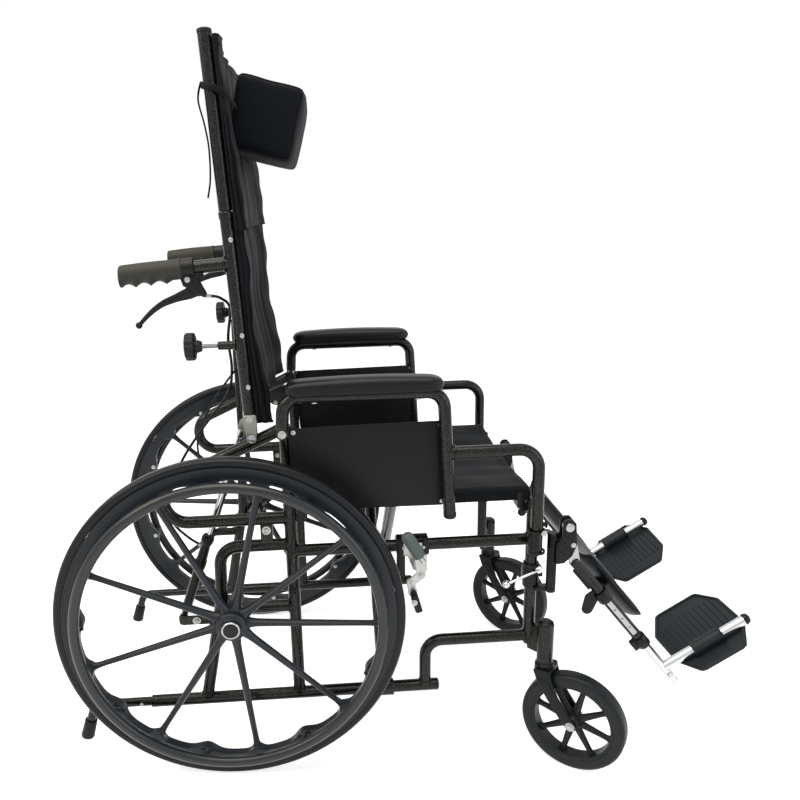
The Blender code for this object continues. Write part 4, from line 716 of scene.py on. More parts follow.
def add_node(tree: bpy.types.NodeTree, kind: str, settings: dict | None = None,
             **inputs: object) -> bpy.types.Node:
    """Add a node, with its settings, its fixed inputs and the sockets that feed it.

    Args:
        tree: the node tree.
        kind: the node's Blender type.
        settings: the node's own attributes.
        inputs: a value or an output socket for each input, named with underscores for spaces, or
            n and its number.

    Returns:
        The new node.
    """
    node = tree.nodes.new(kind)
    for name, value in (settings or {}).items():
        setattr(node, name, value)
    for name, value in inputs.items():
        numbered = name[0] == "n" and name[1:].isdigit()
        socket = node.inputs[int(name[1:]) if numbered else name.replace("_", " ")]
        if isinstance(value, bpy.types.NodeSocket):
            tree.links.new(value, socket)
        else:
            socket.default_value = value
    return node


@dataclass(frozen=True)
class Finish:
    """A finish of the chair: its material's name, colour, gloss and the record's slot."""

    name: str
    slot: str
    colour: str
    roughness: float = 0.45
    metallic: float = 0.0
    specular: float = 0.22

    def material(self) -> bpy.types.Material:
        """Return the finish's material, made on its first use."""
        known = bpy.data.materials.get(self.name)
        if known:
            return known
        made = bpy.data.materials.new(self.name)
        made.use_nodes = True
        tree = made.node_tree
        shader = tree.nodes["Principled BSDF"]
        shader.inputs["Metallic"].default_value = self.metallic
        shader.inputs["Specular IOR Level"].default_value = self.specular
        shader.inputs["Roughness"].default_value = self.roughness
        made.diffuse_color = linear(self.colour)
        place = add_node(tree, "ShaderNodeTexCoord").outputs["Object"]
        self.dress(tree, shader, place)
        return made

    def dress(self, tree: bpy.types.NodeTree, shader: bpy.types.Node,
              place: bpy.types.NodeSocket) -> None:
        """Wire the finish's own pattern; a plain finish is faintly mottled."""
        self.mottle(tree, shader, place, 60.0, 0.12)

    def mottle(self, tree: bpy.types.NodeTree, shader: bpy.types.Node, place: bpy.types.NodeSocket,
               scale: float, depth: float) -> None:
        """Vary the colour and the gloss slowly over the surface.

        Args:
            tree: the material's node tree.
            shader: its Principled node.
            place: coordinates of the pattern.
            scale: patches per metre.
            depth: how far the colour darkens, from 0 to 1.
        """
        cloud = add_node(tree, "ShaderNodeTexNoise", None, Vector=place, Scale=scale, Detail=4.0)
        tint = add_node(tree, "ShaderNodeMix", {"data_type": "RGBA"}, n0=cloud.outputs["Fac"])
        base = linear(self.colour)
        tint.inputs[6].default_value = (*(c * (1.0 - depth) for c in base[:3]), 1.0)
        tint.inputs[7].default_value = (*(min(1.0, c * (1.0 + depth) + 0.001) for c in base[:3]),
                                        1.0)
        tree.links.new(tint.outputs[2], shader.inputs["Base Color"])
        gloss = add_node(tree, "ShaderNodeMapRange", None, Value=cloud.outputs["Fac"])
        gloss.inputs["To Min"].default_value = self.roughness * 0.88
        gloss.inputs["To Max"].default_value = min(1.0, self.roughness * 1.12)
        tree.links.new(gloss.outputs["Result"], shader.inputs["Roughness"])

    def bump(self, tree: bpy.types.NodeTree, shader: bpy.types.Node, height: bpy.types.NodeSocket,
             depth: float, strength: float = 1.0) -> None:
        """Raise the surface by a height pattern of the given depth in metres."""
        relief = add_node(tree, "ShaderNodeBump", None, Height=height, Distance=depth,
                          Strength=strength)
        tree.links.new(relief.outputs["Normal"], shader.inputs["Normal"])


@dataclass(frozen=True)
class HammeredCoat(Finish):
    """Silver-vein powder coat: dark enamel dimples with bright metal flake between them.

    The real dimples are 2 mm across; they are drawn at 2.8 mm so that they show at this distance.
    """

    vein: str = "#30312e"
    dimple: float = 0.0028

    def dress(self, tree: bpy.types.NodeTree, shader: bpy.types.Node,
              place: bpy.types.NodeSocket) -> None:
        """Mix flake into the enamel between dimples and dent the surface with them."""
        wander = add_node(tree, "ShaderNodeTexNoise", None, Vector=place, Scale=0.5 / self.dimple,
                          Detail=2.0)
        shifted = add_node(tree, "ShaderNodeMix", {"data_type": "VECTOR"}, n0=0.0035)
        tree.links.new(place, shifted.inputs[4])
        tree.links.new(wander.outputs["Color"], shifted.inputs[5])
        cells = add_node(tree, "ShaderNodeTexVoronoi", {"feature": "F1"}, Vector=shifted.outputs[1],
                         Scale=1.0 / self.dimple)
        ramp = add_node(tree, "ShaderNodeValToRGB", None, Fac=cells.outputs["Distance"])
        ramp.color_ramp.elements[0].position = 0.25
        ramp.color_ramp.elements[0].color = linear(self.colour)
        ramp.color_ramp.elements[1].position = 0.95
        ramp.color_ramp.elements[1].color = linear(self.vein)
        tree.links.new(ramp.outputs["Color"], shader.inputs["Base Color"])
        self.bump(tree, shader, cells.outputs["Distance"], 0.00016, 0.6)


@dataclass(frozen=True)
class WovenNylon(Finish):
    """Black nylon pack cloth: a plain weave, matt, with a slight sheen on its folds.

    The threads lie 0.5 mm apart; they are drawn at 1.6 mm so that the weave shows.
    """

    thread: float = 0.0016

    def dress(self, tree: bpy.types.NodeTree, shader: bpy.types.Node,
              place: bpy.types.NodeSocket) -> None:
        """Cross two wave patterns for the weave and mottle the dye."""
        self.mottle(tree, shader, place, 18.0, 0.25)
        shader.inputs["Sheen Weight"].default_value = 0.04
        shader.inputs["Sheen Roughness"].default_value = 0.45
        shader.inputs["Specular IOR Level"].default_value = 0.1
        rows = add_node(tree, "ShaderNodeTexWave", {"bands_direction": "Z"}, Vector=place,
                        Scale=0.314 / self.thread, Distortion=0.3)
        cols = add_node(tree, "ShaderNodeTexWave", {"bands_direction": "DIAGONAL"}, Vector=place,
                        Scale=0.25 / self.thread, Distortion=0.3)
        cross = add_node(tree, "ShaderNodeMath", {"operation": "MULTIPLY"}, n0=rows.outputs["Fac"],
                         n1=cols.outputs["Fac"])
        self.bump(tree, shader, cross.outputs["Value"], 0.00022, 0.5)


@dataclass(frozen=True)
class GrainedVinyl(Finish):
    """Upholstery vinyl: an embossed leather grain of 1.4 mm under a soft gloss."""

    grain: float = 0.0014

    def dress(self, tree: bpy.types.NodeTree, shader: bpy.types.Node,
              place: bpy.types.NodeSocket) -> None:
        """Emboss a fine cell pattern and mottle the gloss."""
        self.mottle(tree, shader, place, 25.0, 0.1)
        cells = add_node(tree, "ShaderNodeTexVoronoi", {"feature": "DISTANCE_TO_EDGE"},
                         Vector=place, Scale=1.0 / self.grain)
        edge = add_node(tree, "ShaderNodeMath", {"operation": "MINIMUM"},
                        n0=cells.outputs["Distance"], n1=0.25)
        self.bump(tree, shader, edge.outputs["Value"], 0.0003, 0.35)


@dataclass(frozen=True)
class Moulded(Finish):
    """Moulded plastic or rubber: a fine spark-eroded texture of the given grit in metres."""

    grit: float = 0.0009
    relief: float = 0.00006

    def dress(self, tree: bpy.types.NodeTree, shader: bpy.types.Node,
              place: bpy.types.NodeSocket) -> None:
        """Give the surface its mould texture."""
        self.mottle(tree, shader, place, 30.0, 0.14)
        speck = add_node(tree, "ShaderNodeTexNoise", None, Vector=place, Scale=1.0 / self.grit,
                         Detail=3.0)
        self.bump(tree, shader, speck.outputs["Fac"], self.relief, 0.6)


@dataclass(frozen=True)
class Plated(Finish):
    """Plated metal: polished through a faint drawn grain, with a little haze in its gloss."""

    haze: float = 0.1

    def dress(self, tree: bpy.types.NodeTree, shader: bpy.types.Node,
              place: bpy.types.NodeSocket) -> None:
        """Cloud the gloss and wave the surface slightly, as plating over drawn tube does."""
        shader.inputs["Base Color"].default_value = linear(self.colour)
        cloud = add_node(tree, "ShaderNodeTexNoise", None, Vector=place, Scale=220.0, Detail=5.0)
        gloss = add_node(tree, "ShaderNodeMapRange", None, Value=cloud.outputs["Fac"])
        gloss.inputs["To Min"].default_value = self.roughness
        gloss.inputs["To Max"].default_value = self.roughness + self.haze
        tree.links.new(gloss.outputs["Result"], shader.inputs["Roughness"])
        self.bump(tree, shader, cloud.outputs["Fac"], 0.00008, 0.3)


COAT = HammeredCoat("silver_vein_powder_coat_on_steel", "silver_vein_powder_coat", "#0b0c0c", 0.2,
                    0.5, specular=0.38)
CHROME = Plated("chrome_plate_on_steel", "chrome_plate", "#c9ccce", 0.08, 1.0)
ZINC = Plated("bright_zinc_plate_on_steel", "bright_zinc", "#a4a7a6", 0.24, 1.0)
WHEEL_NYLON = Moulded("glass_filled_nylon_wheel", "moulded_wheel_nylon", "#141d25", 0.38,
                      specular=0.34)
TYRE = Moulded("solid_polyurethane_tyre", "solid_tyre_polyurethane", "#0d1115", 0.34, grit=0.0015)
HANDRIM = Moulded("vinyl_dipped_handrim", "handrim_vinyl_coat", "#1b2124", 0.28, specular=0.42)
CASTER = Moulded("moulded_caster_polyurethane", "caster_moulding", "#12181b", 0.42)
FORK = Moulded("satin_powder_coat_fork", "fork_powder_coat", "#111518", 0.38, 0.3)
GRIP = Moulded("moulded_pvc_grip", "grip_rubber", "#343531", 0.55, grit=0.0012)
LEVER = Moulded("injection_moulded_lever", "lever_plastic", "#0d0d0f", 0.35)
CABLE = Moulded("extruded_cable_jacket", "cable_jacket", "#0c0c0d", 0.4)
KNOB = Moulded("injection_moulded_knob", "knob_plastic", "#191c1e", 0.45)
CYLINDER = Moulded("black_enamelled_cylinder", "cylinder_enamel", "#16181a", 0.28, 0.2)
ARM_VINYL = GrainedVinyl("soft_vinyl_over_foam", "arm_pad_vinyl", "#08090b", 0.36)
CALF_VINYL = GrainedVinyl("blue_black_calf_vinyl", "calf_pad_vinyl", "#0d161f", 0.34)
NYLON = WovenNylon("black_nylon_pack_cloth", "black_nylon", "#070b10", 0.64)
PILLOW = WovenNylon("black_brushed_nylon", "pillow_nylon", "#060a10", 0.74)
SKIRT = Moulded("black_skirt_laminate", "skirt_panel", "#020406", 0.5)
HOUSING = HammeredCoat("fine_black_vein_coat", "housing_coat", "#0c0c0d", 0.36, 0.5, vein="#2c2d2b",
                       dimple=0.0025)
FOOT_NYLON = Moulded("moulded_footplate_nylon", "footplate_nylon", "#1b2226", 0.46)
THREAD = Finish("bonded_polyester_thread", "black_nylon", "#1d1f24", 0.6)
LOCK_GRIP = Moulded("grey_green_lock_grip", "lever_plastic", "#5b6763", 0.5)
GALVANISED = Plated("galvanised_pressed_steel", "bright_zinc", "#85877f", 0.36, 1.0, haze=0.2)


@dataclass
class SideFrame:
    """A welded side frame of bent tube, with what is bolted to it."""

    side: Side
    upright_x: float = 0.107
    post_x: float = 0.548
    mid_rail_z: float = 0.403
    loop_top_z: float = 0.417
    axle_tube_z: float = 0.294
    hairpin_z: float = 0.468
    barrel_top: float = 0.247
    axle_radius: float = 0.006

    @property
    def body(self) -> str:
        """Return the body that the frame is."""
        return f"{self.side.label}_frame"

    def build(self) -> None:
        """Build the welded tubes and everything fixed to them."""
        label = self.side.label
        piece(f"side_frame_tubes_{label}", self.tubes(), COAT, self.body, [f"side_frame_{label}"])
        piece(f"frame_brackets_{label}", self.brackets(), COAT, self.body)
        piece(f"caster_barrel_{label}", self.caster_barrel(), COAT, self.body)
        piece(f"frame_plugs_{label}", self.plugs(), LEVER, self.body)
        piece(f"frame_bolts_{label}", self.bolts(), ZINC, self.body)
        piece(f"seat_guides_{label}", self.seat_guides(), LEVER, self.body)
        piece(f"armrest_receiver_{label}", self.receiver(), HOUSING, self.body)
        piece(f"legrest_clamp_{label}", self.legrest_clamp(), LEVER, self.body)
        piece(f"wheel_lock_mount_{label}", self.lock_mount(), LEVER, self.body)
        piece(f"wheel_lock_plate_{label}", self.lock_plate(), ZINC, self.body)
        piece(f"axle_{label}", self.axle(), ZINC, self.body)

    def tubes(self) -> list[Shape]:
        """Return the frame's tubes, each a round section carried along its bent middle line."""
        rail_z = SIZES.lower_rail_z
        front, rear = self.post_x, self.upright_x
        runs = [
            (0.0, [(-0.172, rail_z), (0.3715, rail_z)]),
            (0.0, [(rear, rail_z), (rear, 0.64)]),
            (0.034, [(rear, self.loop_top_z), (-0.0215, self.loop_top_z), (-0.0255, 0.316),
                     (-0.068, 0.11)]),
            (0.0, [(-0.031, self.axle_tube_z), (rear, self.axle_tube_z)]),
            (0.0, [(rear, self.mid_rail_z), (front, self.mid_rail_z)]),
            (0.0, [(front, 0.19), (front, 0.478)]),
            (0.032, [(front, 0.2035), (0.349, 0.2035), (0.348, rail_z)]),
            (0.0405, [(rear, 0.6365), (-0.1125, 0.537), (-0.1125, self.hairpin_z),
                      (rear, self.hairpin_z)]),
        ]
        shapes = [swept(self.side.run(bent(corners, bend), SIZES.frame_y), SIZES.tube, 22)
                  for bend, corners in runs]
        return shapes + self.welds()

    def welds(self) -> list[Shape]:
        """Return the weld beads, each a flat ring where one tube meets another."""
        rail_z = SIZES.lower_rail_z
        front, rear = self.post_x, self.upright_x
        spots = [((rear, rail_z + 0.0105), UP), ((0.348, rail_z + 0.0105), UP),
                 ((front - 0.0105, 0.2035), FORWARD), ((front - 0.0105, self.mid_rail_z), FORWARD),
                 ((rear + 0.0105, self.mid_rail_z), FORWARD),
                 ((rear - 0.0105, self.loop_top_z), FORWARD),
                 ((rear - 0.0105, self.axle_tube_z), FORWARD),
                 ((rear - 0.0105, self.hairpin_z), FORWARD), ((-0.0665, rail_z + 0.0115), UP)]
        bead = [(0.0104, -0.0016), (0.0128, -0.001), (0.013, 0.0006), (0.0118, 0.002),
                (0.0104, 0.0022)]
        return [turned(bead, self.side.at(x, SIZES.frame_y, z), axis, 22, closed=True)
                for (x, z), axis in spots]

    def brackets(self) -> list[Shape]:
        """Return the axle housing, the pivot lugs and the small welded plates."""
        at, axle_z = self.side.at, STANCE.axle_height
        housing = bar(at(0.0, 0.196, axle_z), at(0.0, 0.24, axle_z), 0.0135, 24, 0.0012)
        (hinge_x, hinge_z), (arm_x, arm_z) = SIZES.back_pivot, SIZES.arm_pivot
        pivot = bar(at(hinge_x, 0.2028, hinge_z), at(hinge_x, 0.2252, hinge_z), 0.009)
        arm_lug = bar(at(arm_x, 0.205, arm_z), at(arm_x, 0.238, arm_z), 0.0088)
        saddle = block(at(0.064, 0.214, 0.4425), (0.0215, 0.012, 0.036), corner=0.002)
        strap = block(at(-0.0705, 0.2005, 0.2665), (0.078, 0.0046, 0.018), corner=0.007)
        spacer = block(at(-0.045, 0.206, 0.266), (0.016, 0.0104, 0.0156))
        top_seat = block(at(0.565, 0.225, 0.42), (0.03, 0.015, 0.005), corner=0.002)
        return [housing, pivot, arm_lug, saddle, strap, spacer, top_seat]

    def caster_barrel(self) -> list[Shape]:
        """Return the upright barrel that the caster stem turns in, and its gusset."""
        x, low, high = SIZES.barrel_x, SIZES.barrel_foot, self.barrel_top
        profile = [(0.0, high - 0.002), (0.0138, high - 0.002), (0.0156, high - 0.006),
                   (0.015, low + 0.004), (0.0158, low + 0.002), (0.0156, low), (0.007, low),
                   (0.0, low)]
        barrel = turned(profile, self.side.at(x, SIZES.barrel_y, 0.0), UP, 32, 0.0006)
        post = self.side.at(self.post_x, SIZES.frame_y, 0.204)
        axis = self.side.at(x, SIZES.barrel_y, 0.204)
        way = unit(axis - post)
        outline = bent([(0.0, -0.027), (0.0, 0.027), (0.0365, 0.027), (0.0365, -0.027)], 0.004, 3,
                       closed=True)
        gusset = slab(outline, 0.012, post, tuple(way), UP, 0.002)
        return [barrel, gusset]

    def plugs(self) -> list[Shape]:
        """Return the plugs of the rail's front end and the post's ends, and the barrel's cap."""
        at = self.side.at
        cap = [(0.0, 0.006), (0.009, 0.005), (0.014, 0.0015), (0.015, -0.003), (0.0, -0.003)]
        return [
            plug(at(0.3715, SIZES.frame_y, SIZES.lower_rail_z), FORWARD),
            plug(at(self.post_x, SIZES.frame_y, 0.19), DOWN),
            plug(at(self.post_x, SIZES.frame_y, 0.478), UP),
            turned(cap, at(SIZES.barrel_x, SIZES.barrel_y, self.barrel_top - 0.003), UP, 28,
                   0.0008),
        ]

    def bolts(self) -> list[Shape]:
        """Return the screws and nuts that show on the frame."""
        out = self.side.out
        inward = self.side.inward
        at = self.side.at
        (hinge_x, hinge_z), (arm_x, arm_z) = SIZES.back_pivot, SIZES.arm_pivot
        (strut_x, strut_z), (latch_x, latch_z) = SIZES.strut_foot, SIZES.latch_pin
        shapes = bolt(at(0.064, 0.2205, 0.448), out, 0.0058, 0.0035)
        shapes += nut(at(0.064, 0.2075, 0.448), inward, 0.006, 0.0045)
        shapes += bolt(at(hinge_x, 0.2312, hinge_z), out, 0.006, 0.003)
        shapes += bolt(at(arm_x, 0.2622, arm_z), out, 0.0052, 0.0024)
        shapes += bolt(at(-0.077, 0.203, 0.266), out, 0.0054, 0.004)
        shapes += nut(at(strut_x, 0.1855, strut_z), inward, 0.0056, 0.003)
        shapes += bolt(at(0.5545, 0.268, 0.436), out, 0.004, 0.002)
        shapes.append(bar(at(arm_x, 0.22, arm_z), at(arm_x, 0.2625, arm_z), 0.004))
        shapes.append(bar(at(strut_x, 0.201, strut_z), at(strut_x, 0.185, strut_z), 0.0032))
        shapes.append(bar(at(hinge_x, 0.196, hinge_z), at(hinge_x, 0.232, hinge_z), 0.004))
        shapes.append(bar(at(latch_x, 0.222, latch_z), at(latch_x, 0.2285, latch_z), 0.0042))
        return shapes

    def seat_guides(self) -> list[Shape]:
        """Return the plastic H-blocks that cradle the seat rail when the chair is open."""
        outline = [(-0.0152, 0.006), (-0.0124, 0.006), (-0.0124, -0.0122), (0.0124, -0.0122),
                   (0.0124, 0.006), (0.0152, 0.006), (0.0152, -0.024), (-0.0152, -0.024)]
        rail = SIZES.seat_rail_y
        guides = [slab(outline, 0.015, self.side.at(x, rail, SIZES.seat_rail_z), ACROSS, UP)
                  for x in (0.1305, 0.5265)]
        feet = [block(self.side.at(x, 0.2075, 0.466), (0.019, 0.015, 0.014))
                for x in (0.1255, 0.5335)]
        return guides + feet

    def receiver(self) -> list[Shape]:
        """Return the half-round armrest receiver and the ring that closes its top."""
        turn = np.linspace(math.pi / 2.0, math.pi * 1.5, 17)
        arc = np.stack([np.cos(turn), np.sin(turn) * self.side.value], axis=1)
        outline = np.concatenate([arc * 0.0156, arc[::-1] * 0.0126])
        middle = self.side.at(0.546, SIZES.arm_y, 0.4135)
        shell = slab(outline, 0.045, middle, FORWARD, ACROSS, 0.0004)
        lug = block(self.side.at(0.5465, 0.23, 0.408), (0.016, 0.018, 0.034))
        rings = [hoop(0.0126, 0.016, 0.0022, self.side.at(0.546, SIZES.arm_y, z), UP, 32, 0.0006)
                 for z in (0.435, 0.395)]
        return [shell, lug, *rings]

    def legrest_clamp(self) -> list[Shape]:
        """Return the clamp on the front post, the shelf under the swing post and its pins."""
        at = self.side.at
        x, y = SIZES.swing_post_x, SIZES.legrest_y
        clamp = sleeve((0.0108, 0.0146, 0.0152), (0.024, 0.02),
                       at(self.post_x, SIZES.frame_y, 0.332), UP, 0.001)
        return [
            clamp,
            block(at(0.559, 0.218, 0.34), (0.016, 0.018, 0.018)),
            block(at(0.566, 0.226, 0.309), (0.03, 0.017, 0.007), corner=0.002),
            bar(at(x, y, 0.305), at(x, y, 0.3135), 0.009),
            bar(at(x, y, 0.31), at(x, y, 0.348), 0.0048),
            bar(at(x, y, 0.417), at(x, y, 0.423), 0.009),
            bar(at(x, y, 0.385), at(x, y, 0.42), 0.0048),
            block(at(0.54, 0.214, 0.332), (0.016, 0.02, 0.03), corner=0.004),
        ]

    def lock_mount(self) -> list[Shape]:
        """Return the black saddle blocks that hold the wheel lock on the middle rail."""
        at = self.side.at
        saddle = [block(at(x, SIZES.frame_y, 0.403), (0.013, 0.033, 0.029), corner=0.004)
                  for x in (0.3025, 0.349)]
        return saddle + [block(at(0.326, 0.214, 0.4175), (0.058, 0.024, 0.005), corner=0.002)]

    def lock_plate(self) -> list[Shape]:
        """Return the zinc plate of the wheel lock and its pivot pin."""
        at = self.side.at
        outline = bent([(0.3, 0.3935), (0.3, 0.4125), (0.352, 0.4125), (0.352, 0.356),
                        (0.343, 0.35), (0.326, 0.36), (0.316, 0.386)], 0.003, 3, closed=True)
        shapes = [slab(outline, 0.0046, at(0.0, 0.2262, 0.0), FORWARD, UP, 0.0008)]
        px, pz = SIZES.lock_pivot
        shapes.append(bar(at(px, 0.226, pz), at(px, 0.269, pz), 0.0032))
        out = self.side.out
        for x, z in ((0.308, 0.404), (0.345, 0.404)):
            shapes += bolt(at(x, 0.2285, z), out, 0.0042, 0.0026)
        return shapes

    def axle(self) -> list[Shape]:
        """Return the rear axle bolt with its nut and the spacer between frame and hub."""
        at, axle_z = self.side.at, STANCE.axle_height
        shaft = bar(at(0.0, 0.19, axle_z), at(0.0, SIZES.wheel_y + 0.015, axle_z), self.axle_radius)
        inner = nut(at(0.0, 0.1962, axle_z), self.side.inward, 0.0105, 0.006)
        spacer = bar(at(0.0, 0.24, axle_z), at(0.0, 0.2446, axle_z), 0.0098)
        return [shaft, spacer, *inner]


@dataclass
class CrossBrace:
    """The folding X under the seat: two crossed tubes, each with a seat rail and a foot sleeve."""

    first_x: float = 0.268
    second_x: float = 0.292
    rail_x: tuple[float, float] = (0.125, 0.5445)

    def middle(self) -> Array:
        """Return where the two tubes cross."""
        rise = SIZES.seat_rail_z - SIZES.lower_rail_z
        share = SIZES.frame_y / (SIZES.frame_y + SIZES.seat_rail_y)
        return np.array((self.first_x, 0.0, SIZES.lower_rail_z + rise * share))

    def build(self) -> None:
        """Build both halves and the bolt between them."""
        for name, foot_side, x in (("a", Side.RIGHT, self.first_x),
                                   ("b", Side.LEFT, self.second_x)):
            head_side = Side.LEFT if foot_side is Side.RIGHT else Side.RIGHT
            foot = foot_side.at(x, SIZES.frame_y, SIZES.lower_rail_z)
            head = head_side.at(x, SIZES.seat_rail_y, SIZES.seat_rail_z)
            leg = swept(np.array([foot + unit(head - foot) * 0.013, head]), SIZES.tube, 22, FORWARD)
            foot_ring = sleeve((0.0115, 0.015, 0.0157), (0.019, 0.0175), foot, FORWARD, 0.0005)
            rail = swept(head_side.run([(self.rail_x[0], SIZES.seat_rail_z),
                                        (self.rail_x[1], SIZES.seat_rail_z)],
                                       SIZES.seat_rail_y), SIZES.tube, 22)
            bead = turned([(0.0104, -0.0016), (0.0134, -0.001), (0.0136, 0.001), (0.0104, 0.0026)],
                          head - unit(head - foot) * 0.01, unit(head - foot), 22, closed=True)
            piece(f"cross_tube_{name}", [leg, foot_ring, rail, bead], COAT, f"brace_{name}",
                  [f"cross_brace_{name}"])
            end = head_side.at(self.rail_x[1] - 0.0036, SIZES.seat_rail_y, SIZES.seat_rail_z)
            piece(f"seat_rail_plug_{name}", [plug(end, FORWARD)], LEVER, f"brace_{name}")
        middle = self.middle()
        reach = np.array((0.043, 0.0, 0.0))
        shapes = [bar(middle - (0.012, 0.0, 0.0), middle + reach, 0.004)]
        shapes += bolt(middle - (0.0112, 0.0, 0.0), BACKWARD, 0.007, 0.004)
        shapes += nut(middle + reach - (0.0075, 0.0, 0.0), FORWARD, 0.0072, 0.007)
        piece("brace_bolt", shapes, ZINC, "brace_a")


@dataclass
class BackPost:
    """One side of the back: leaning cane, hinge shoe, push handle, head post, trigger and cable."""

    side: Side
    handle_z: float = 0.9175
    handle_slope: float = math.radians(4.4)
    grip_x: tuple[float, float] = (-0.145, -0.046)
    trigger: tuple[float, float] = (-0.036, 0.894)

    def cane(self, z: float, forward: float = 0.0) -> Array:
        """Return a point on the cane's axis at height z, or forward of it."""
        return self.side.at(SIZES.cane_x(z) + forward, SIZES.frame_y, z)

    def handle(self, x: float, down: float = 0.0) -> Array:
        """Return a point on the push handle's axis, or below it."""
        drop = (SIZES.cane_x(self.handle_z) - x) * math.tan(self.handle_slope)
        return self.side.at(x, SIZES.frame_y, self.handle_z - drop - down)

    def build(self) -> None:
        """Build every piece of this side of the back."""
        label = self.side.label
        back, post = f"{label}_back", f"{label}_head_post"
        piece(f"back_tube_{label}", self.tube(), COAT, back, [f"back_cane_{label}"])
        piece(f"hinge_shoe_{label}", self.shoe(), GALVANISED, back)
        piece(f"back_hardware_{label}", self.hardware(), ZINC, back)
        piece(f"head_post_tube_{label}", self.head_tube(), COAT, post, [f"head_post_{label}"])
        piece(f"head_post_plug_{label}", self.head_plug(), LEVER, post)
        piece(f"push_grip_{label}", self.grip(), GRIP, back, [f"grip_{label}"], sharp=50.0)
        piece(f"trigger_clamp_{label}", self.clamp(), LEVER, back)
        piece(f"recline_trigger_{label}", self.blade(), LEVER, f"{label}_trigger",
              [f"trigger_lever_{label}"])
        cable = piece(f"recline_cable_jacket_{label}", self.cable(), CABLE, "",
                      [f"recline_cable_{label}"])
        ends = (self.side.at(-0.0605, 0.1765, 0.406), self.side.at(0.008, 0.182, 0.7))
        span([cable], (f"{label}_frame", back), ends)
        piece(f"cable_ferrule_{label}", self.ferrule(), ZINC, back)
        piece(f"knob_{label}", self.knob(), KNOB, f"{label}_knob", [f"clamp_knob_{label}"],
              sharp=28.0)
        piece(f"knob_stud_{label}", self.stud(), ZINC, f"{label}_knob")

    def tube(self) -> list[Shape]:
        """Return the cane, its swaged joint, the push handle and the knob's boss."""
        foot, top = self.cane(0.656), self.cane(SIZES.cane_join_z)
        along = unit(top - foot)
        cane = swept(np.array([foot, top]), SIZES.tube, 24)
        ring = turned([(0.0106, -0.012), (0.0121, -0.0112), (0.0124, -0.002), (0.0116, 0.0),
                       (0.0106, 0.0)],
                      top, along, 28, 0.0004, closed=True)
        handle = swept(np.array([self.handle(SIZES.cane_x(self.handle_z)), self.handle(-0.1385)]),
                       0.0109, 24)
        bead = weld(self.handle(SIZES.cane_x(self.handle_z) - 0.0115), BACKWARD)
        boss = bar(self.side.at(0.004, SIZES.frame_y, SIZES.knob_z), self.cane(SIZES.knob_z),
                   0.0072)
        boss_bead = turned([(0.0066, -0.002), (0.0092, -0.001), (0.0092, 0.001), (0.0066, 0.003)],
                           self.side.at(SIZES.cane_x(SIZES.knob_z) - 0.0112, SIZES.frame_y,
                                        SIZES.knob_z),
                           BACKWARD, 24, closed=True)
        return [cane, ring, handle, bead, boss, boss_bead]

    def shoe(self) -> list[Shape]:
        """Return the pressed hinge shoe: cheeks, saddle and the ears that hold the rod's eye."""
        (x, z), (rod_x, rod_z) = SIZES.back_pivot, SIZES.rod_eye
        lean = SIZES.cane_x(0.65)
        cheek = band([(x, z, 0.0085), (lean - 0.004, 0.652, 0.008), (lean + 0.004, 0.652, 0.008)])
        ear = band([(x, z, 0.0085), (rod_x, rod_z, 0.0078), (lean, 0.652, 0.01)])
        inner = band([(rod_x, rod_z, 0.0078), (0.05, 0.644, 0.0075)])
        at = self.side.at
        return [
            slab(ear, 0.0026, at(0.0, SIZES.frame_y - 0.0129, 0.0), edge=0.0007),
            slab(cheek, 0.0026, at(0.0, SIZES.frame_y + 0.0129, 0.0), edge=0.0007),
            block(at(lean, SIZES.frame_y, 0.656), (0.024, 0.0268, 0.015), corner=0.004),
            slab(inner, 0.0026, at(0.0, 0.1806, 0.0), edge=0.0007),
            block(at(0.0518, 0.1905, 0.644), (0.006, 0.021, 0.01)),
        ]

    def hardware(self) -> list[Shape]:
        """Return the rivets of the shoe, the trigger's pin and the screws down the cane."""
        out = self.side.out
        at = self.side.at
        y = SIZES.frame_y
        px, pz = self.trigger
        shapes = bolt(at(SIZES.cane_x(0.656), y + 0.014, 0.656), out, 0.004, 0.0022)
        shapes += bolt(at(px, y + 0.0088, pz), out, 0.0034, 0.0016)
        shapes.append(bar(at(px, y - 0.0095, pz), at(px, y + 0.0092, pz), 0.0028))
        for z in (0.712, 0.8, 0.955):
            shapes += bolt(at(SIZES.cane_x(z) + 0.003, y + 0.01, z), out, 0.0034, 0.002)
        return shapes

    def head_tube(self) -> list[Shape]:
        """Return the head post and the spigot that slides into the cane."""
        join, top = self.cane(SIZES.cane_join_z + 0.0005), self.cane(SIZES.head_top_z)
        post = swept(np.array([join, top]), SIZES.tube, 24)
        return [post, bar(self.cane(0.85), self.cane(1.03), 0.0084)]

    def head_plug(self) -> list[Shape]:
        """Return the plug in the post's top."""
        top = self.cane(SIZES.head_top_z)
        along = unit(top - self.cane(SIZES.cane_join_z))
        profile = [(0.0, 0.0026), (0.008, 0.0024), (0.0114, 0.0004), (0.0117, -0.005),
                   (0.0, -0.005)]
        return [turned(profile, top, along, 28, 0.0008)]

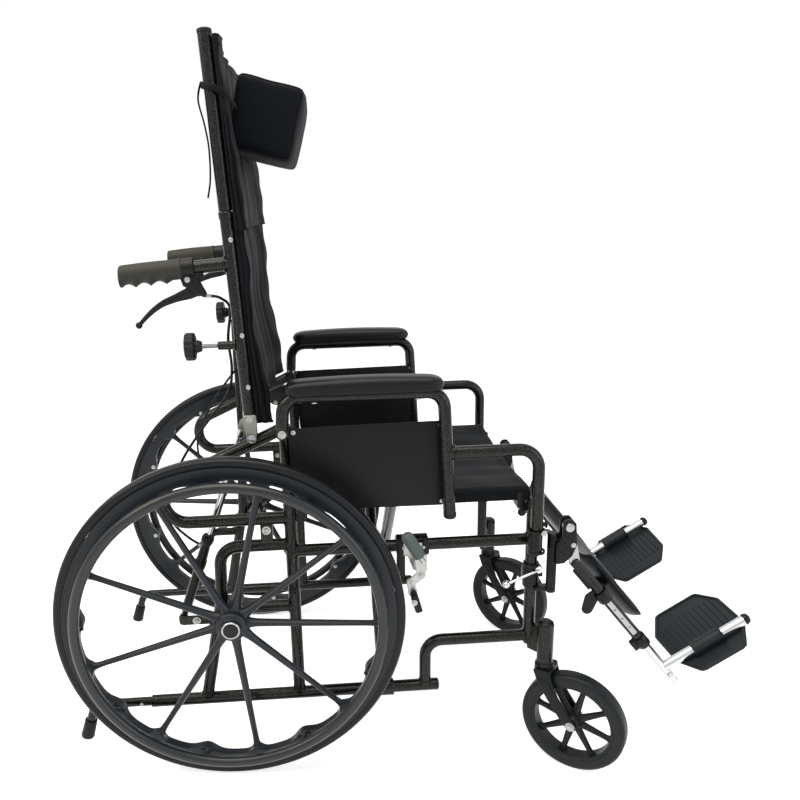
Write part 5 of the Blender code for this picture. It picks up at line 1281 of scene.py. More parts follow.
    def grip(self) -> list[Shape]:
        """Return the moulded grip.

        Its section is a circle whose lower half swells to a belly; the belly is cut by three
        finger scallops, |sin| of four half waves along, and the top of its front half is ribbed.
        """
        rear, front = self.grip_x
        share = np.linspace(0.0, 1.0, 121)
        x = rear + (front - rear) * share
        wave = np.where(share < 0.75, np.abs(np.sin(share * math.pi * 4.0)), 0.0)
        fade = np.clip((share - 0.75) / 0.1, 0.0, 1.0)
        belly = 0.0218 - 0.006 * wave - 0.005 * fade
        ribs = 0.00035 * np.sin(share * math.pi * 52.0) * np.clip((share - 0.48) / 0.06, 0.0, 1.0)
        ends = np.sqrt(np.clip(1.0 - (1.0 - np.clip(share / 0.045, 0.0, 1.0)) ** 2, 0.0, 1.0))
        body = (0.0158 + 0.001 * np.sin(share * math.pi)) * (0.86 + 0.14 * ends)
        belly = belly * (0.86 + 0.14 * ends)
        turn = round_turn(48)
        down = np.clip(-np.sin(turn), 0.0, 1.0) ** 1.6
        top = np.clip(np.sin(turn) + 0.55, 0.0, 1.0)
        radius = body[:, None] + (belly - body)[:, None] * down + ribs[:, None] * top
        axis = np.stack([self.handle(value) for value in x])
        points = axis[:, None] + np.stack([np.zeros_like(radius), radius * np.cos(turn),
                                           radius * np.sin(turn)], axis=-1)
        collar = turned([(0.011, -0.003), (0.0165, -0.003), (0.017, 0.0), (0.016, 0.003),
                         (0.011, 0.003)],
                        self.handle(front - 0.001), (1.0, 0.0, math.tan(self.handle_slope)), 32,
                        0.0008, closed=True)
        return [skin(points), collar]

    def clamp(self) -> list[Shape]:
        """Return the trigger's clamp round the handle and its two cheeks."""
        y = SIZES.frame_y
        along = (1.0, 0.0, math.tan(self.handle_slope))
        ring = sleeve((0.0112, 0.015, 0.0156), (0.0125, 0.01), self.handle(-0.037), along, 0.0008)
        outline = bent([(-0.05, 0.905), (-0.018, 0.905), (-0.018, 0.89), (-0.0065, 0.866),
                        (-0.012, 0.8645), (-0.03, 0.876), (-0.044, 0.884)], 0.0025, 4, closed=True)
        cheeks = [slab(outline, 0.0036, self.side.at(0.0, y + across, 0.0), edge=0.001)
                  for across in (-0.0073, 0.0073)]
        bridge = block(self.side.at(-0.017, y, 0.9), (0.012, 0.017, 0.01), corner=0.003)
        rings = [hoop(0.0112, 0.0163, 0.0018, self.handle(x), along, 32, 0.0006)
                 for x in (-0.047, -0.026)]
        return [ring, *cheeks, bridge, *rings]

    def blade(self) -> list[Shape]:
        """Return the trigger: a flattened bar that tapers along its curve to a ball."""
        y = SIZES.frame_y
        knots = [(-0.015, 0.87), (-0.026, 0.874), (-0.044, 0.869), (-0.062, 0.863), (-0.08, 0.856),
                 (-0.096, 0.846), (-0.11, 0.834), (-0.1215, 0.8225)]
        path = flowing(self.side.run(knots, y), 60)
        share = np.linspace(0.0, 1.0, 60)
        half = np.interp(share, [0.0, 0.1, 0.22, 0.4, 0.62, 0.85, 1.0],
                         [0.004, 0.0085, 0.0098, 0.0066, 0.005, 0.0038, 0.0032])
        arm = swept(path, half, 20, flat=0.62)
        px, pz = self.trigger
        root = band([(px, pz, 0.0068), (-0.026, 0.876, 0.0095), (-0.016, 0.873, 0.005)])
        web = slab(root, 0.0096, self.side.at(0.0, y, 0.0), edge=0.0016)
        tip = ball(self.side.at(-0.1225, y, 0.8215), 0.0056)
        return [arm, web, tip]

    def cable(self) -> list[Shape]:
        """Return the recline cable, a round jacket along its held route."""
        route = [(-0.0045, 0.208, 0.8655), (0.012, 0.203, 0.861), (0.0255, 0.192, 0.842),
                 (0.018, 0.186, 0.79), (0.02, 0.184, 0.735), (0.008, 0.182, 0.69),
                 (-0.04, 0.18, 0.63), (-0.082, 0.178, 0.57), (-0.11, 0.177, 0.505),
                 (-0.108, 0.176, 0.455), (-0.084, 0.176, 0.424), (-0.0605, 0.1765, 0.406)]
        return [swept(flowing([self.side.at(*knot) for knot in route], 150), 0.0024, 12)]

    def ferrule(self) -> list[Shape]:
        """Return the bright ends where the inner wire leaves the trigger and meets the cylinder."""
        at = self.side.at
        upper = bar(at(-0.012, 0.2105, 0.866), at(-0.001, 0.2065, 0.865), 0.0028)
        wire = bar(at(-0.02, 0.213, 0.868), at(-0.01, 0.21, 0.866), 0.001, 8)
        lower = bar(at(-0.066, 0.1765, 0.4085), at(-0.053, 0.177, 0.403), 0.003)
        return [upper, wire, lower]

    def knob(self) -> list[Shape]:
        """Return the lobed knob: a disc whose radius ripples ten times round, and its hub."""
        turn = round_turn(120)
        lobe = 0.0012 * (0.5 - 0.5 * np.cos(10.0 * turn)) ** 2
        outline = np.stack([(0.0234 - lobe) * np.cos(turn), (0.0234 - lobe) * np.sin(turn)], axis=1)
        middle = self.side.at(-0.042, SIZES.frame_y, SIZES.knob_z)
        disc = slab(outline, 0.0165, middle, ACROSS, UP, 0.0034)
        hub = turned([(0.0, 0.019), (0.0085, 0.019), (0.0105, 0.013), (0.0115, 0.006),
                      (0.0, 0.006)], middle, FORWARD,
                     28, 0.001)
        face = turned([(0.0, 0.0094), (0.012, 0.009), (0.0128, 0.0078), (0.0, 0.007)], middle,
                      BACKWARD, 32, 0.0006)
        return [disc, hub, face]

    def stud(self) -> list[Shape]:
        """Return the knob's threaded stud, ringed by its thread, and the washer under it."""
        start = self.side.at(-0.024, SIZES.frame_y, SIZES.knob_z)
        length = 0.03
        along = np.linspace(0.0, length, 241)
        thread = 0.0036 + 0.00028 * np.sin(2.0 * np.pi * along / 0.00125)
        rod = swept(start + along[:, None] * np.array(FORWARD), thread, 12, chamfer=0.0003)
        return [rod, bar(start + (0.048, 0.0, 0.0), start + (0.0505, 0.0, 0.0), 0.0052)]


@dataclass
class SpreaderBar:
    """The telescopic bar that hangs from the left knob's stud."""

    length: float = 0.31
    lean: float = math.radians(-8.7)
    x: float = -0.013

    def build(self) -> None:
        """Build the bar, its sleeve, its eye and its hook."""
        y, top = SIZES.frame_y, SIZES.knob_z
        at = Side.LEFT.at
        foot = -top + self.length
        inner = swept(np.array([at(self.x, y, top - 0.12),
                                at(self.x, y, top - self.length + 0.018)]), 0.007, 20)
        outer = swept(np.array([at(self.x, y, top - 0.016), at(self.x, y, top - 0.13)]), 0.0082, 20)
        eye = slab(band([(-top, 0.0, 0.0095), (-top + 0.024, 0.0, 0.006)]), 0.005,
                   at(self.x, y, 0.0), DOWN, ACROSS, 0.0008)
        hook_line = bent([(foot - 0.026, -0.006), (foot - 0.002, -0.0095), (foot + 0.003, -0.011),
                          (foot + 0.003, -0.0042), (foot - 0.004, -0.003), (foot - 0.0045, 0.003),
                          (foot + 0.0042, 0.005), (foot + 0.0072, 0.001), (foot + 0.0085, 0.006),
                          (foot + 0.002, 0.01), (foot - 0.026, 0.006)],
                         0.0012, 3, closed=True)
        hook = slab(hook_line, 0.0046, at(self.x, y, 0.0), DOWN, ACROSS, 0.0008)
        hinge = Matrix.Translation(at(self.x, y, top))
        place = hinge @ Matrix.Rotation(self.lean, 4, "X") @ hinge.inverted()
        piece("spreader_tubes", [inner, outer], COAT, "spreader", ["spreader_bar"], place=place)
        piece("spreader_ends", [eye, hook], ZINC, "spreader", place=place)


@dataclass
class GasStrut:
    """A locking gas cylinder between the frame and the back's hinge shoe."""

    side: Side

    def build(self) -> None:
        """Build the cylinder, its valve boot, its fittings and its rod."""
        label = self.side.label
        y = SIZES.cylinder_y
        foot = self.side.at(SIZES.strut_foot[0], y, SIZES.strut_foot[1])
        head = self.side.at(SIZES.rod_eye[0], y, SIZES.rod_eye[1])
        along = unit(head - foot)
        barrel = turned([(0.0, 0.108), (0.008, 0.108), (0.0088, 0.104), (0.0088, 0.022),
                         (0.0062, 0.014), (0.006, 0.006), (0.0, 0.006)], foot, along, 32, 0.001)
        boot = turned([(0.0, 0.175), (0.0088, 0.175), (0.011, 0.172), (0.0119, 0.166),
                       (0.0108, 0.16), (0.0084, 0.153), (0.009, 0.138), (0.01, 0.118),
                       (0.0102, 0.106), (0.009, 0.101), (0.0, 0.101)], foot, along, 32, 0.0012)
        eye = bar(foot - (0.0, 0.0036, 0.0), foot + (0.0, 0.0036, 0.0), 0.0085, 24)
        stop = block(foot + along * 0.146 + self.side.at(0.0, -0.0095, 0.0), (0.01, 0.012, 0.012),
                     0.0, 0.002)
        ribs = [turned([(0.0, -0.0006), (0.0111, -0.0006), (0.0111, 0.0006), (0.0, 0.0006)],
                       foot + along * height, along, 28) for height in (0.112, 0.117, 0.122)]
        piece(f"cylinder_barrel_{label}", [barrel, eye], CYLINDER, f"{label}_cylinder",
              [f"gas_cylinder_{label}"])
        piece(f"cylinder_boot_{label}", [boot, stop, *ribs], CABLE, f"{label}_cylinder")
        shaft = bar(foot + along * 0.078, head - along * 0.004, 0.004, 24)
        collar = turned([(0.0, -0.026), (0.005, -0.026), (0.0056, -0.024), (0.0056, -0.008),
                         (0.005, -0.005), (0.0, -0.005)],
                        head, along, 24, 0.0005)
        ring = bar(head - (0.0, 0.0033, 0.0), head + (0.0, 0.0033, 0.0), 0.0062, 24)
        piece(f"piston_rod_{label}", [shaft, collar, ring], CHROME, f"{label}_rod",
              [f"cylinder_rod_{label}"])


@dataclass
class Armrest:
    """A stepped desk-length armrest that flips back: tubes, pad, button and clothing guard."""

    side: Side

    def build(self) -> None:
        """Build the armrest's pieces."""
        label = self.side.label
        body = f"{label}_arm"
        y = SIZES.arm_y
        at = self.side.at
        px, pz = SIZES.arm_pivot
        arch_line = bent([(px, pz + 0.004), (0.108, 0.698), (0.3785, 0.698), (0.389, 0.474)], 0.03)
        step_line = bent([(0.384, 0.5885), (0.546, 0.5885), (0.546, 0.3945)], 0.036)
        eye = bar(at(px, y - 0.0114, pz), at(px, y + 0.0112, pz), 0.0105, 28)
        tubes = [swept(self.side.run(arch_line, y), SIZES.tube, 24),
                 swept(self.side.run(step_line, y), 0.0109, 24), eye,
                 weld(at(0.3975, y, 0.5885), FORWARD)]
        piece(f"arm_tube_{label}", tubes, COAT, body, [f"arm_frame_{label}"])
        cap = [(0.0, -0.0035), (0.009, -0.003), (0.0114, 0.0), (0.0118, 0.007), (0.0, 0.007)]
        tip = turned(cap, at(0.3893, y, 0.471), UP, 28, 0.0008)
        stub = bar(at(0.552, y, 0.446), at(0.5625, y, 0.446), 0.0042)
        button = turned([(0.0, 0.0026), (0.0055, 0.0025), (0.007, 0.0016), (0.007, 0.0),
                         (0.0, 0.0)],
                        at(0.5615, y, 0.446), FORWARD, 24, 0.0008)
        piece(f"arm_plug_{label}", [tip, stub, button], LEVER, body)
        cover = piece(f"arm_pad_cover_{label}", self.pad(), ARM_VINYL, body, [f"arm_pad_{label}"],
                      sharp=60.0)
        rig.padded(cover, fill=0.8)
        guard = bent([(0.1125, 0.64), (0.36, 0.643), (0.377, 0.643), (0.38, 0.488), (0.37, 0.488),
                      (0.133, 0.49), (0.1185, 0.505)], 0.004, 4, closed=True)
        panel = slab(guard, 0.0022, at(0.0, 0.2372, 0.0), edge=0.0007)
        piece(f"clothing_guard_{label}", [panel], SKIRT, body, [f"skirt_guard_{label}"])
        out = self.side.out
        screws: list[Shape] = []
        for x, z in ((0.3745, 0.6365), (0.377, 0.4955), (0.122, 0.633)):
            screws += bolt(at(x, 0.2384, z), out, 0.003, 0.0016)
        for x in (0.16, 0.335):
            screws += bolt(at(x, y, 0.6872), DOWN, 0.0038, 0.0022)
        piece(f"arm_screws_{label}", screws, ZINC, body)

    def pad(self) -> list[Shape]:
        """Return the pad's cover.

        The cover's section is a superellipse, |cos|^0.62 across, |sin|^0.8 up and |sin|^0.4 down,
        that narrows on a quarter turn at both ends. A groove runs round it where the cover is
        tucked under, and the top swells by a sine along the pad.
        """
        share = np.linspace(0.0, 1.0, 73)
        rear, front = 0.112, 0.377
        x = rear + (front - rear) * share
        end = np.minimum(share, 1.0 - share) * (front - rear)
        blunt = np.sqrt(np.clip(1.0 - np.clip(1.0 - end / 0.026, 0.0, 1.0) ** 2, 0.0, 1.0))
        turn = round_turn(64)
        cos, sin = np.cos(turn), np.sin(turn)
        across = signed_power(cos, 0.62)
        up = signed_power(sin, np.where(sin > 0.0, 0.8, 0.4))
        seam = 1.0 - 0.05 * np.exp(-((up + 0.3) / 0.1) ** 2)
        width = 0.0231 * (0.3 + 0.7 * blunt)
        height = 0.014 * (0.3 + 0.7 * blunt)
        crown = 0.0052 * np.sin(math.pi * share) ** 0.8 - 0.0026
        y = 0.2549 + across * seam * width[:, None]
        rise = np.clip(up, 0.0, 1.0) * crown[:, None] * (1.0 - 0.3 * cos ** 2)
        z = 0.715 + up * height[:, None] + rise
        points = np.stack([np.broadcast_to(x[:, None], y.shape), self.side.value * y, z], axis=-1)
        return [skin(points)]


@dataclass
class RearWheel:
    """A nine-spoked moulded rear wheel with its solid tyre and push ring.

    Drawn in the wheel's own plane, with +Z outboard.
    """

    side: Side
    spokes: int = 9
    pitch: float = 40.0
    ring: float = 0.2625

    def place(self) -> Matrix:
        """Return the move that stands the wheel on its axle."""
        s = self.side.value
        phase = -STANCE.nose_up if s < 0 else math.radians(self.pitch / 2.0) - STANCE.nose_up
        flip = Matrix(((1, 0, 0, 0), (0, 0, s, 0), (0, -s, 0, 0), (0, 0, 0, 1)))
        centre = Matrix.Translation(self.side.at(0.0, SIZES.wheel_y, STANCE.axle_height))
        return centre @ flip @ Matrix.Rotation(-s * phase, 4, "Z")

    def build(self) -> None:
        """Build the wheel, its hub, its pads, its tyre and its push ring."""
        label, body, place = self.side.label, f"{self.side.label}_wheel", self.place()
        spokes = [self.spoke(index) for index in range(self.spokes)]
        piece(f"wheel_moulding_{label}", [self.rim(), self.hub(), *spokes, *self.pads()],
              WHEEL_NYLON, body, [f"rear_wheel_{label}"], place=place)
        ring = turned([(0.013, 0.0282), (0.0158, 0.0282), (0.0162, 0.029), (0.0154, 0.03),
                       (0.0134, 0.0298)],
                      ORIGIN, UP, 48, 0.0003, closed=True)
        piece(f"hub_ring_{label}", [ring, *self.screws()], ZINC, body, place=place)
        cap = turned([(0.0, 0.0296), (0.005, 0.0296), (0.011, 0.0292), (0.0131, 0.0286),
                      (0.0, 0.0278)],
                     ORIGIN, UP, 40, 0.0005)
        piece(f"hub_cap_{label}", [cap], KNOB, body, place=place)
        piece(f"tyre_tread_{label}", [self.tyre()], TYRE, body, [f"rear_tyre_{label}"], place=place)
        piece(f"push_ring_{label}", self.push_ring(), HANDRIM, body, [f"handrim_{label}"],
              place=place)

    def rim(self) -> Shape:
        """Return the rim, stepped in fine rings.

        Its inner edge is a circle of 266.5 mm less two bells: 13 mm high midway between spokes,
        where the push ring is carried, and 12 mm high where a spoke runs in.
        """
        angle = np.arange(720) * 0.5
        ahead = np.mod(angle, self.pitch)
        near = np.minimum(ahead, self.pitch - ahead)
        pads = 0.013 * np.exp(-(((self.pitch / 2.0 - near) / 4.6) ** 2))
        edge = 0.2665 - pads - 0.012 * np.exp(-((near / 2.4) ** 2))
        fixed = [(0.2893, 0.0112), (0.2872, 0.0115), (0.2866, 0.0106), (0.283, 0.0104),
                 (0.2824, 0.0096), (0.2788, 0.0095), (0.2782, 0.0088), (0.2742, 0.0087),
                 (0.2738, 0.0081)]
        inner = [(0.0034, 0.0081), (0.0028, 0.009), (0.001, 0.0088), (0.0002, 0.0078),
                 (0.0, 0.0058)]
        half = [(np.full_like(edge, radius), z) for radius, z in fixed]
        half += [(edge + rise, z) for rise, z in inner]
        profile = half + [(radius, -z) for radius, z in half[::-1]]
        turn = np.radians(angle)
        points = np.stack([np.stack([radius * np.cos(turn), radius * np.sin(turn),
                                     np.full_like(turn, z)], axis=-1)
                           for radius, z in profile], axis=1)
        return skin(points, wrap_rows=True)

    def spoke(self, index: int) -> Shape:
        """Return a spoke: a ridged blade whose root widens by a falling exponential at each end."""
        x = np.concatenate([np.linspace(0.018, 0.052, 16), np.linspace(0.06, 0.238, 12),
                            np.linspace(0.242, 0.2705, 12)])
        share = (x - x[0]) / (x[-1] - x[0])
        root = 0.006 * np.exp(-np.clip(x - 0.025, 0.0, 1.0) / 0.0075)
        tip = 0.0045 * np.exp(-np.clip(0.26 - x, 0.0, 1.0) / 0.008)
        wide = 0.0078 - 0.0031 * share + root + tip
        deep = 0.0086 - 0.002 * share + root * 0.35
        turn = round_turn(28)
        across = signed_power(np.cos(turn), 1.25)
        out = signed_power(np.sin(turn), 1.55)
        points = np.stack([np.broadcast_to(x[:, None], (len(x), 28)), wide[:, None] * across,
                           deep[:, None] * out], axis=-1)
        return skin(points).moved(Matrix.Rotation(2.0 * math.pi * index / self.spokes, 4, "Z"))

    def hub(self) -> Shape:
        """Return the hub, with its shoulder, its waist and its inboard nose."""
        return turned([(0.0, 0.0282), (0.015, 0.0281), (0.0165, 0.0272), (0.0172, 0.0215),
                       (0.018, 0.0204), (0.0246, 0.0196), (0.0262, 0.018), (0.0268, 0.012),
                       (0.0262, 0.0), (0.0268, -0.01), (0.024, -0.015), (0.0205, -0.023),
                       (0.0192, -0.0366), (0.018, -0.038), (0.0, -0.038)],
                      ORIGIN, UP, 64, 0.0004)

    def turns(self) -> list[Matrix]:
        """Return the turns about the axle that stand midway between spokes."""
        return [Matrix.Rotation(math.radians((index + 0.5) * self.pitch), 4, "Z")
                for index in range(self.spokes)]

    def pads(self) -> list[Shape]:
        """Return the pads midway between spokes and the posts that carry the push ring."""
        pads = [block((0.2592, 0.0, 0.01), (0.0135, 0.021, 0.006), 0.0, 0.0016).moved(turn)
                for turn in self.turns()]
        posts = [turned([(0.0, 0.023), (0.0046, 0.023), (0.005, 0.015), (0.0072, 0.0122),
                         (0.0, 0.0122)],
                        (0.2605, 0.0, 0.0), UP, 20, 0.0006).moved(turn) for turn in self.turns()]
        return pads + posts

    def screws(self) -> list[Shape]:
        """Return the screw that draws each post down on its pad from behind."""
        return [part.moved(turn) for turn in self.turns()
                for part in bolt((0.26, 0.0, -0.009), DOWN, 0.0036, 0.002)]

    def tyre(self) -> Shape:
        """Return the solid tyre, whose shoulders roll over to a flat tread."""
        half = [(0.2896, 0.0104), (0.2915, 0.0113), (0.2945, 0.0121), (0.2972, 0.0125),
                (0.2996, 0.0121), (0.3018, 0.0109), (0.3036, 0.0088), (0.3046, 0.006),
                (0.305, 0.0026)]
        return turned(half + [(radius, -z) for radius, z in half[::-1]], ORIGIN, UP, 180,
                      closed=True)

    def push_ring(self) -> list[Shape]:
        """Return the push ring and the collars that join it to its posts."""
        out = SIZES.handrim_y - SIZES.wheel_y
        turn = -round_turn(24)
        profile = np.stack([self.ring + 0.0092 * np.cos(turn), out + 0.0092 * np.sin(turn)], axis=1)
        collar = turned([(0.0, 0.0275), (0.0058, 0.0265), (0.0052, 0.022), (0.0, 0.0212)],
                        (0.261, 0.0, 0.0), UP, 20, 0.0005)
        return [turned(profile.tolist(), ORIGIN, UP, 180, closed=True),
                *(collar.moved(turn) for turn in self.turns())]


@dataclass
class Caster:
    """A front caster: fork, stem, axle and moulded wheel, trailing behind its swivel axis."""

    side: Side
    radius: float = 0.098
    half: float = 0.015
    trail: float = 0.0606
    spokes: int = 8

    def swivel(self) -> float:
        """Return how far the caster has turned about its stem."""
        return math.radians(-34.8 if self.side is Side.RIGHT else -41.3)

    def axle(self) -> float:
        """Return the axle's height at which the leaning tyre just meets the floor."""
        angle = self.swivel()
        x = SIZES.barrel_x + self.trail * math.cos(angle)
        lean = math.sin(angle) * math.sin(STANCE.nose_up)
        drop = self.radius * math.sqrt(1.0 - lean ** 2) + self.half * 0.45 * abs(lean)
        return STANCE.axle_height + (drop - x * math.sin(STANCE.nose_up)
                                     - STANCE.axle_height) / math.cos(STANCE.nose_up)

    def place(self, height: float = 0.0) -> Matrix:
        """Return the move onto the swivel axis, with +X trailing and +Y along the axle."""
        base = Matrix.Translation(self.side.at(SIZES.barrel_x, SIZES.barrel_y, height))
        return base @ Matrix.Rotation(self.swivel(), 4, "Z")

    def build(self) -> None:
        """Build the fork and the wheel."""
        label = self.side.label
        piece(f"fork_{label}", self.fork(), FORK, f"{label}_fork", [f"caster_fork_{label}"],
              place=self.place())
        piece(f"fork_hardware_{label}", self.hardware(), ZINC, f"{label}_fork", place=self.place())
        wheel = self.place(self.axle()) @ Matrix.Translation((self.trail, 0.0, 0.0))
        spokes = [self.spoke(index) for index in range(self.spokes)]
        piece(f"caster_moulding_{label}", [self.tread(), self.hub(), *spokes], CASTER,
              f"{label}_caster", [f"caster_wheel_{label}"], place=wheel)
        caps = [hoop(0.0052, 0.0098, 0.0006, (0.0, side.value * 0.0184, 0.0), side.out, 28)
                for side in Side]
        piece(f"caster_bearings_{label}", caps, ZINC, f"{label}_caster", place=wheel)

    def fork(self) -> list[Shape]:
        """Return the crown, the bridge and the two curved legs."""
        top, axle, trail = SIZES.barrel_foot - 0.0006, self.axle(), self.trail
        crown = turned([(0.0, top), (0.016, top), (0.0176, top - 0.0016), (0.0182, top - 0.005),
                        (0.0182, top - 0.016), (0.017, top - 0.018),
                        (0.0, top - 0.018)], ORIGIN, UP, 48, 0.0008)
        bridge = block((0.004, 0.0, top - 0.0125), (0.031, 0.047, 0.011), 0.0, 0.003)
        outline = bent([(-0.015, top - 0.006), (0.018, top - 0.006), (0.0215, top - 0.022),
                        (0.0345, axle + 0.052), (0.056, axle + 0.0215),
                        (trail + 0.011, axle + 0.002), (trail + 0.006, axle - 0.0095),
                        (trail - 0.005, axle - 0.01), (0.04, axle + 0.009), (0.014, axle + 0.045),
                        (-0.006, top - 0.03)], 0.0035, 5, closed=True)
        legs = [slab(outline, 0.0056, (0.0, across, 0.0), edge=0.0014)
                for across in (-0.0217, 0.0217)]
        rib = bent([(-0.008, top - 0.024), (0.017, top - 0.024), (0.029, axle + 0.054),
                    (0.017, axle + 0.047)],
                   0.004, 4, closed=True)
        ribs = [slab(rib, 0.002, (0.0, across, 0.0), edge=0.0009) for across in (-0.0249, 0.0249)]
        return [crown, bridge, *legs, *ribs]

    def hardware(self) -> list[Shape]:
        """Return the axle bolt with its head and nut, and the washer under the barrel."""
        axle, top = self.axle(), SIZES.barrel_foot
        rod = bar((self.trail, -0.025, axle), (self.trail, 0.029, axle), 0.0038)
        head = bolt((self.trail, -0.0246, axle), (0.0, -1.0, 0.0), 0.0064, 0.004)
        lock = nut((self.trail, 0.0246, axle), (0.0, 1.0, 0.0), 0.0072, 0.0052)
        spacers = [turned([(0.0042, -0.0004), (0.0078, -0.0004), (0.0078, 0.0006),
                           (0.0042, 0.0006)],
                          (self.trail, y, axle), ACROSS, 24, closed=True)
                   for y in (-0.0184, 0.0184)]
        washer = hoop(0.008, 0.015, 0.0005, (0.0, 0.0, top - 0.0001), UP, 40)
        return [rod, *head, *lock, *spacers, washer]

    def tread(self) -> Shape:
        """Return the tyre with its rolled shoulders and the stepped rim inside it."""
        half = [(0.0715, 0.012), (0.0728, 0.013), (0.0772, 0.013), (0.078, 0.0142), (0.086, 0.0149),
                (0.0905, 0.015), (0.094, 0.0143), (0.0963, 0.0124), (0.0976, 0.0096),
                (0.098, 0.0064), (0.098, 0.0022)]
        inner = [(0.0712, 0.004), (0.0712, -0.004)]
        profile = inner[:1] + half + [(radius, -z) for radius, z in half[::-1]] + inner[1:]
        return turned(profile, ORIGIN, ACROSS, 96, closed=True)

    def hub(self) -> Shape:
        """Return the barrel of the hub."""
        return turned([(0.0045, 0.0178), (0.0118, 0.0178), (0.0128, 0.0168), (0.0158, 0.011),
                       (0.0176, 0.005), (0.0178, 0.0), (0.0176, -0.005), (0.0158, -0.011),
                       (0.0128, -0.0168), (0.0118, -0.0178),
                       (0.0045, -0.0178)], ORIGIN, ACROSS, 48, closed=True)

    def spoke(self, index: int) -> Shape:
        """Return a wedge spoke that widens by a falling exponential into the rim."""
        x = np.linspace(0.0125, 0.0725, 22)
        share = (x - x[0]) / (x[-1] - x[0])
        wide = 0.008 - 0.0036 * share + 0.005 * np.exp(-np.clip(0.0715 - x, 0.0, 1.0) / 0.004)
        deep = 0.0068 - 0.001 * share
        turn = round_turn(24)
        z = signed_power(np.cos(turn), 1.2)
        y = signed_power(np.sin(turn), 1.2)
        points = np.stack([np.broadcast_to(x[:, None], (22, 24)), deep[:, None] * y,
                           wide[:, None] * z], axis=-1)
        turn_by = 2.0 * math.pi * (index + 0.31) / self.spokes
        return skin(points).moved(Matrix.Rotation(turn_by, 4, "Y"))


@dataclass
class WheelLock:
    """A push-to-lock wheel lock: pressed links, capsule grip and a shoe that bears on the tyre."""

    side: Side
    link: tuple[float, float] = (0.318, 0.352)

    def build(self) -> None:
        """Build the lever, its grip, the shoe link and the shoe."""
        label, at, y = self.side.label, self.side.at, SIZES.lock_y
        out = self.side.out
        (px, pz), (lx, lz) = SIZES.lock_pivot, self.link
        low, high = at(0.3345, y + 0.002, 0.402), at(0.3075, y + 0.006, 0.45)
        along = unit(high - low)
        blade = slab(band([(px, pz, 0.0085), (0.332, 0.402, 0.0075)]), 0.0036, at(0.0, y, 0.0),
                     edge=0.0006)
        tail = slab(band([(px, pz, 0.0083), (lx, lz, 0.0075)]), 0.0034, at(0.0, y, 0.0),
                    edge=0.0006)
        shaft = bar(low - along * 0.012, low + along * 0.01, 0.0045)
        rivets = bolt(at(px, y + 0.0018, pz), out, 0.0052,
                      0.0026) + bolt(at(lx, y + 0.0017, lz), out, 0.0036, 0.002)
        rivets.append(bar(at(lx, y - 0.007, lz), at(lx, y, lz), 0.0028))
        piece(f"lock_links_{label}", [blade, tail, shaft, *rivets], ZINC, f"{label}_lock",
              [f"lock_lever_{label}"])
        capsule = turned([(0.0, 0.055), (0.004, 0.0546), (0.008, 0.0528), (0.0104, 0.049),
                          (0.0113, 0.043), (0.0114, 0.008), (0.0106, 0.0024), (0.008, 0.0),
                          (0.0, 0.0)], low, along,
                         36, 0.0006)
        piece(f"lock_grip_{label}", [capsule], LOCK_GRIP, f"{label}_lock")
        arm = slab(band([(lx, lz, 0.0075), (0.321, 0.33, 0.008)]), 0.0036, at(0.0, y - 0.0044, 0.0),
                   edge=0.0006)
        lean = math.radians(-16.0)
        pad = block(at(0.3265, y + 0.004, 0.316), (0.012, 0.024, 0.034), lean, 0.0024)
        ribs = [block(at(0.3265 - 0.0062 * math.cos(lean) + z * math.sin(lean), y + 0.004,
                         0.316 + 0.0062 * math.sin(lean) + z * math.cos(lean)),
                      (0.0016, 0.022, 0.003), lean, 0.0005)
                for z in (-0.012, -0.006, 0.0, 0.006, 0.012)]
        piece(f"lock_shoe_block_{label}", [pad, *ribs], LEVER, f"{label}_shoe",
              [f"lock_shoe_{label}"])
        piece(f"lock_shoe_link_{label}",
              [arm, *bolt(at(0.3215, y + 0.016, 0.32), out, 0.0042, 0.0024)], ZINC, f"{label}_shoe")


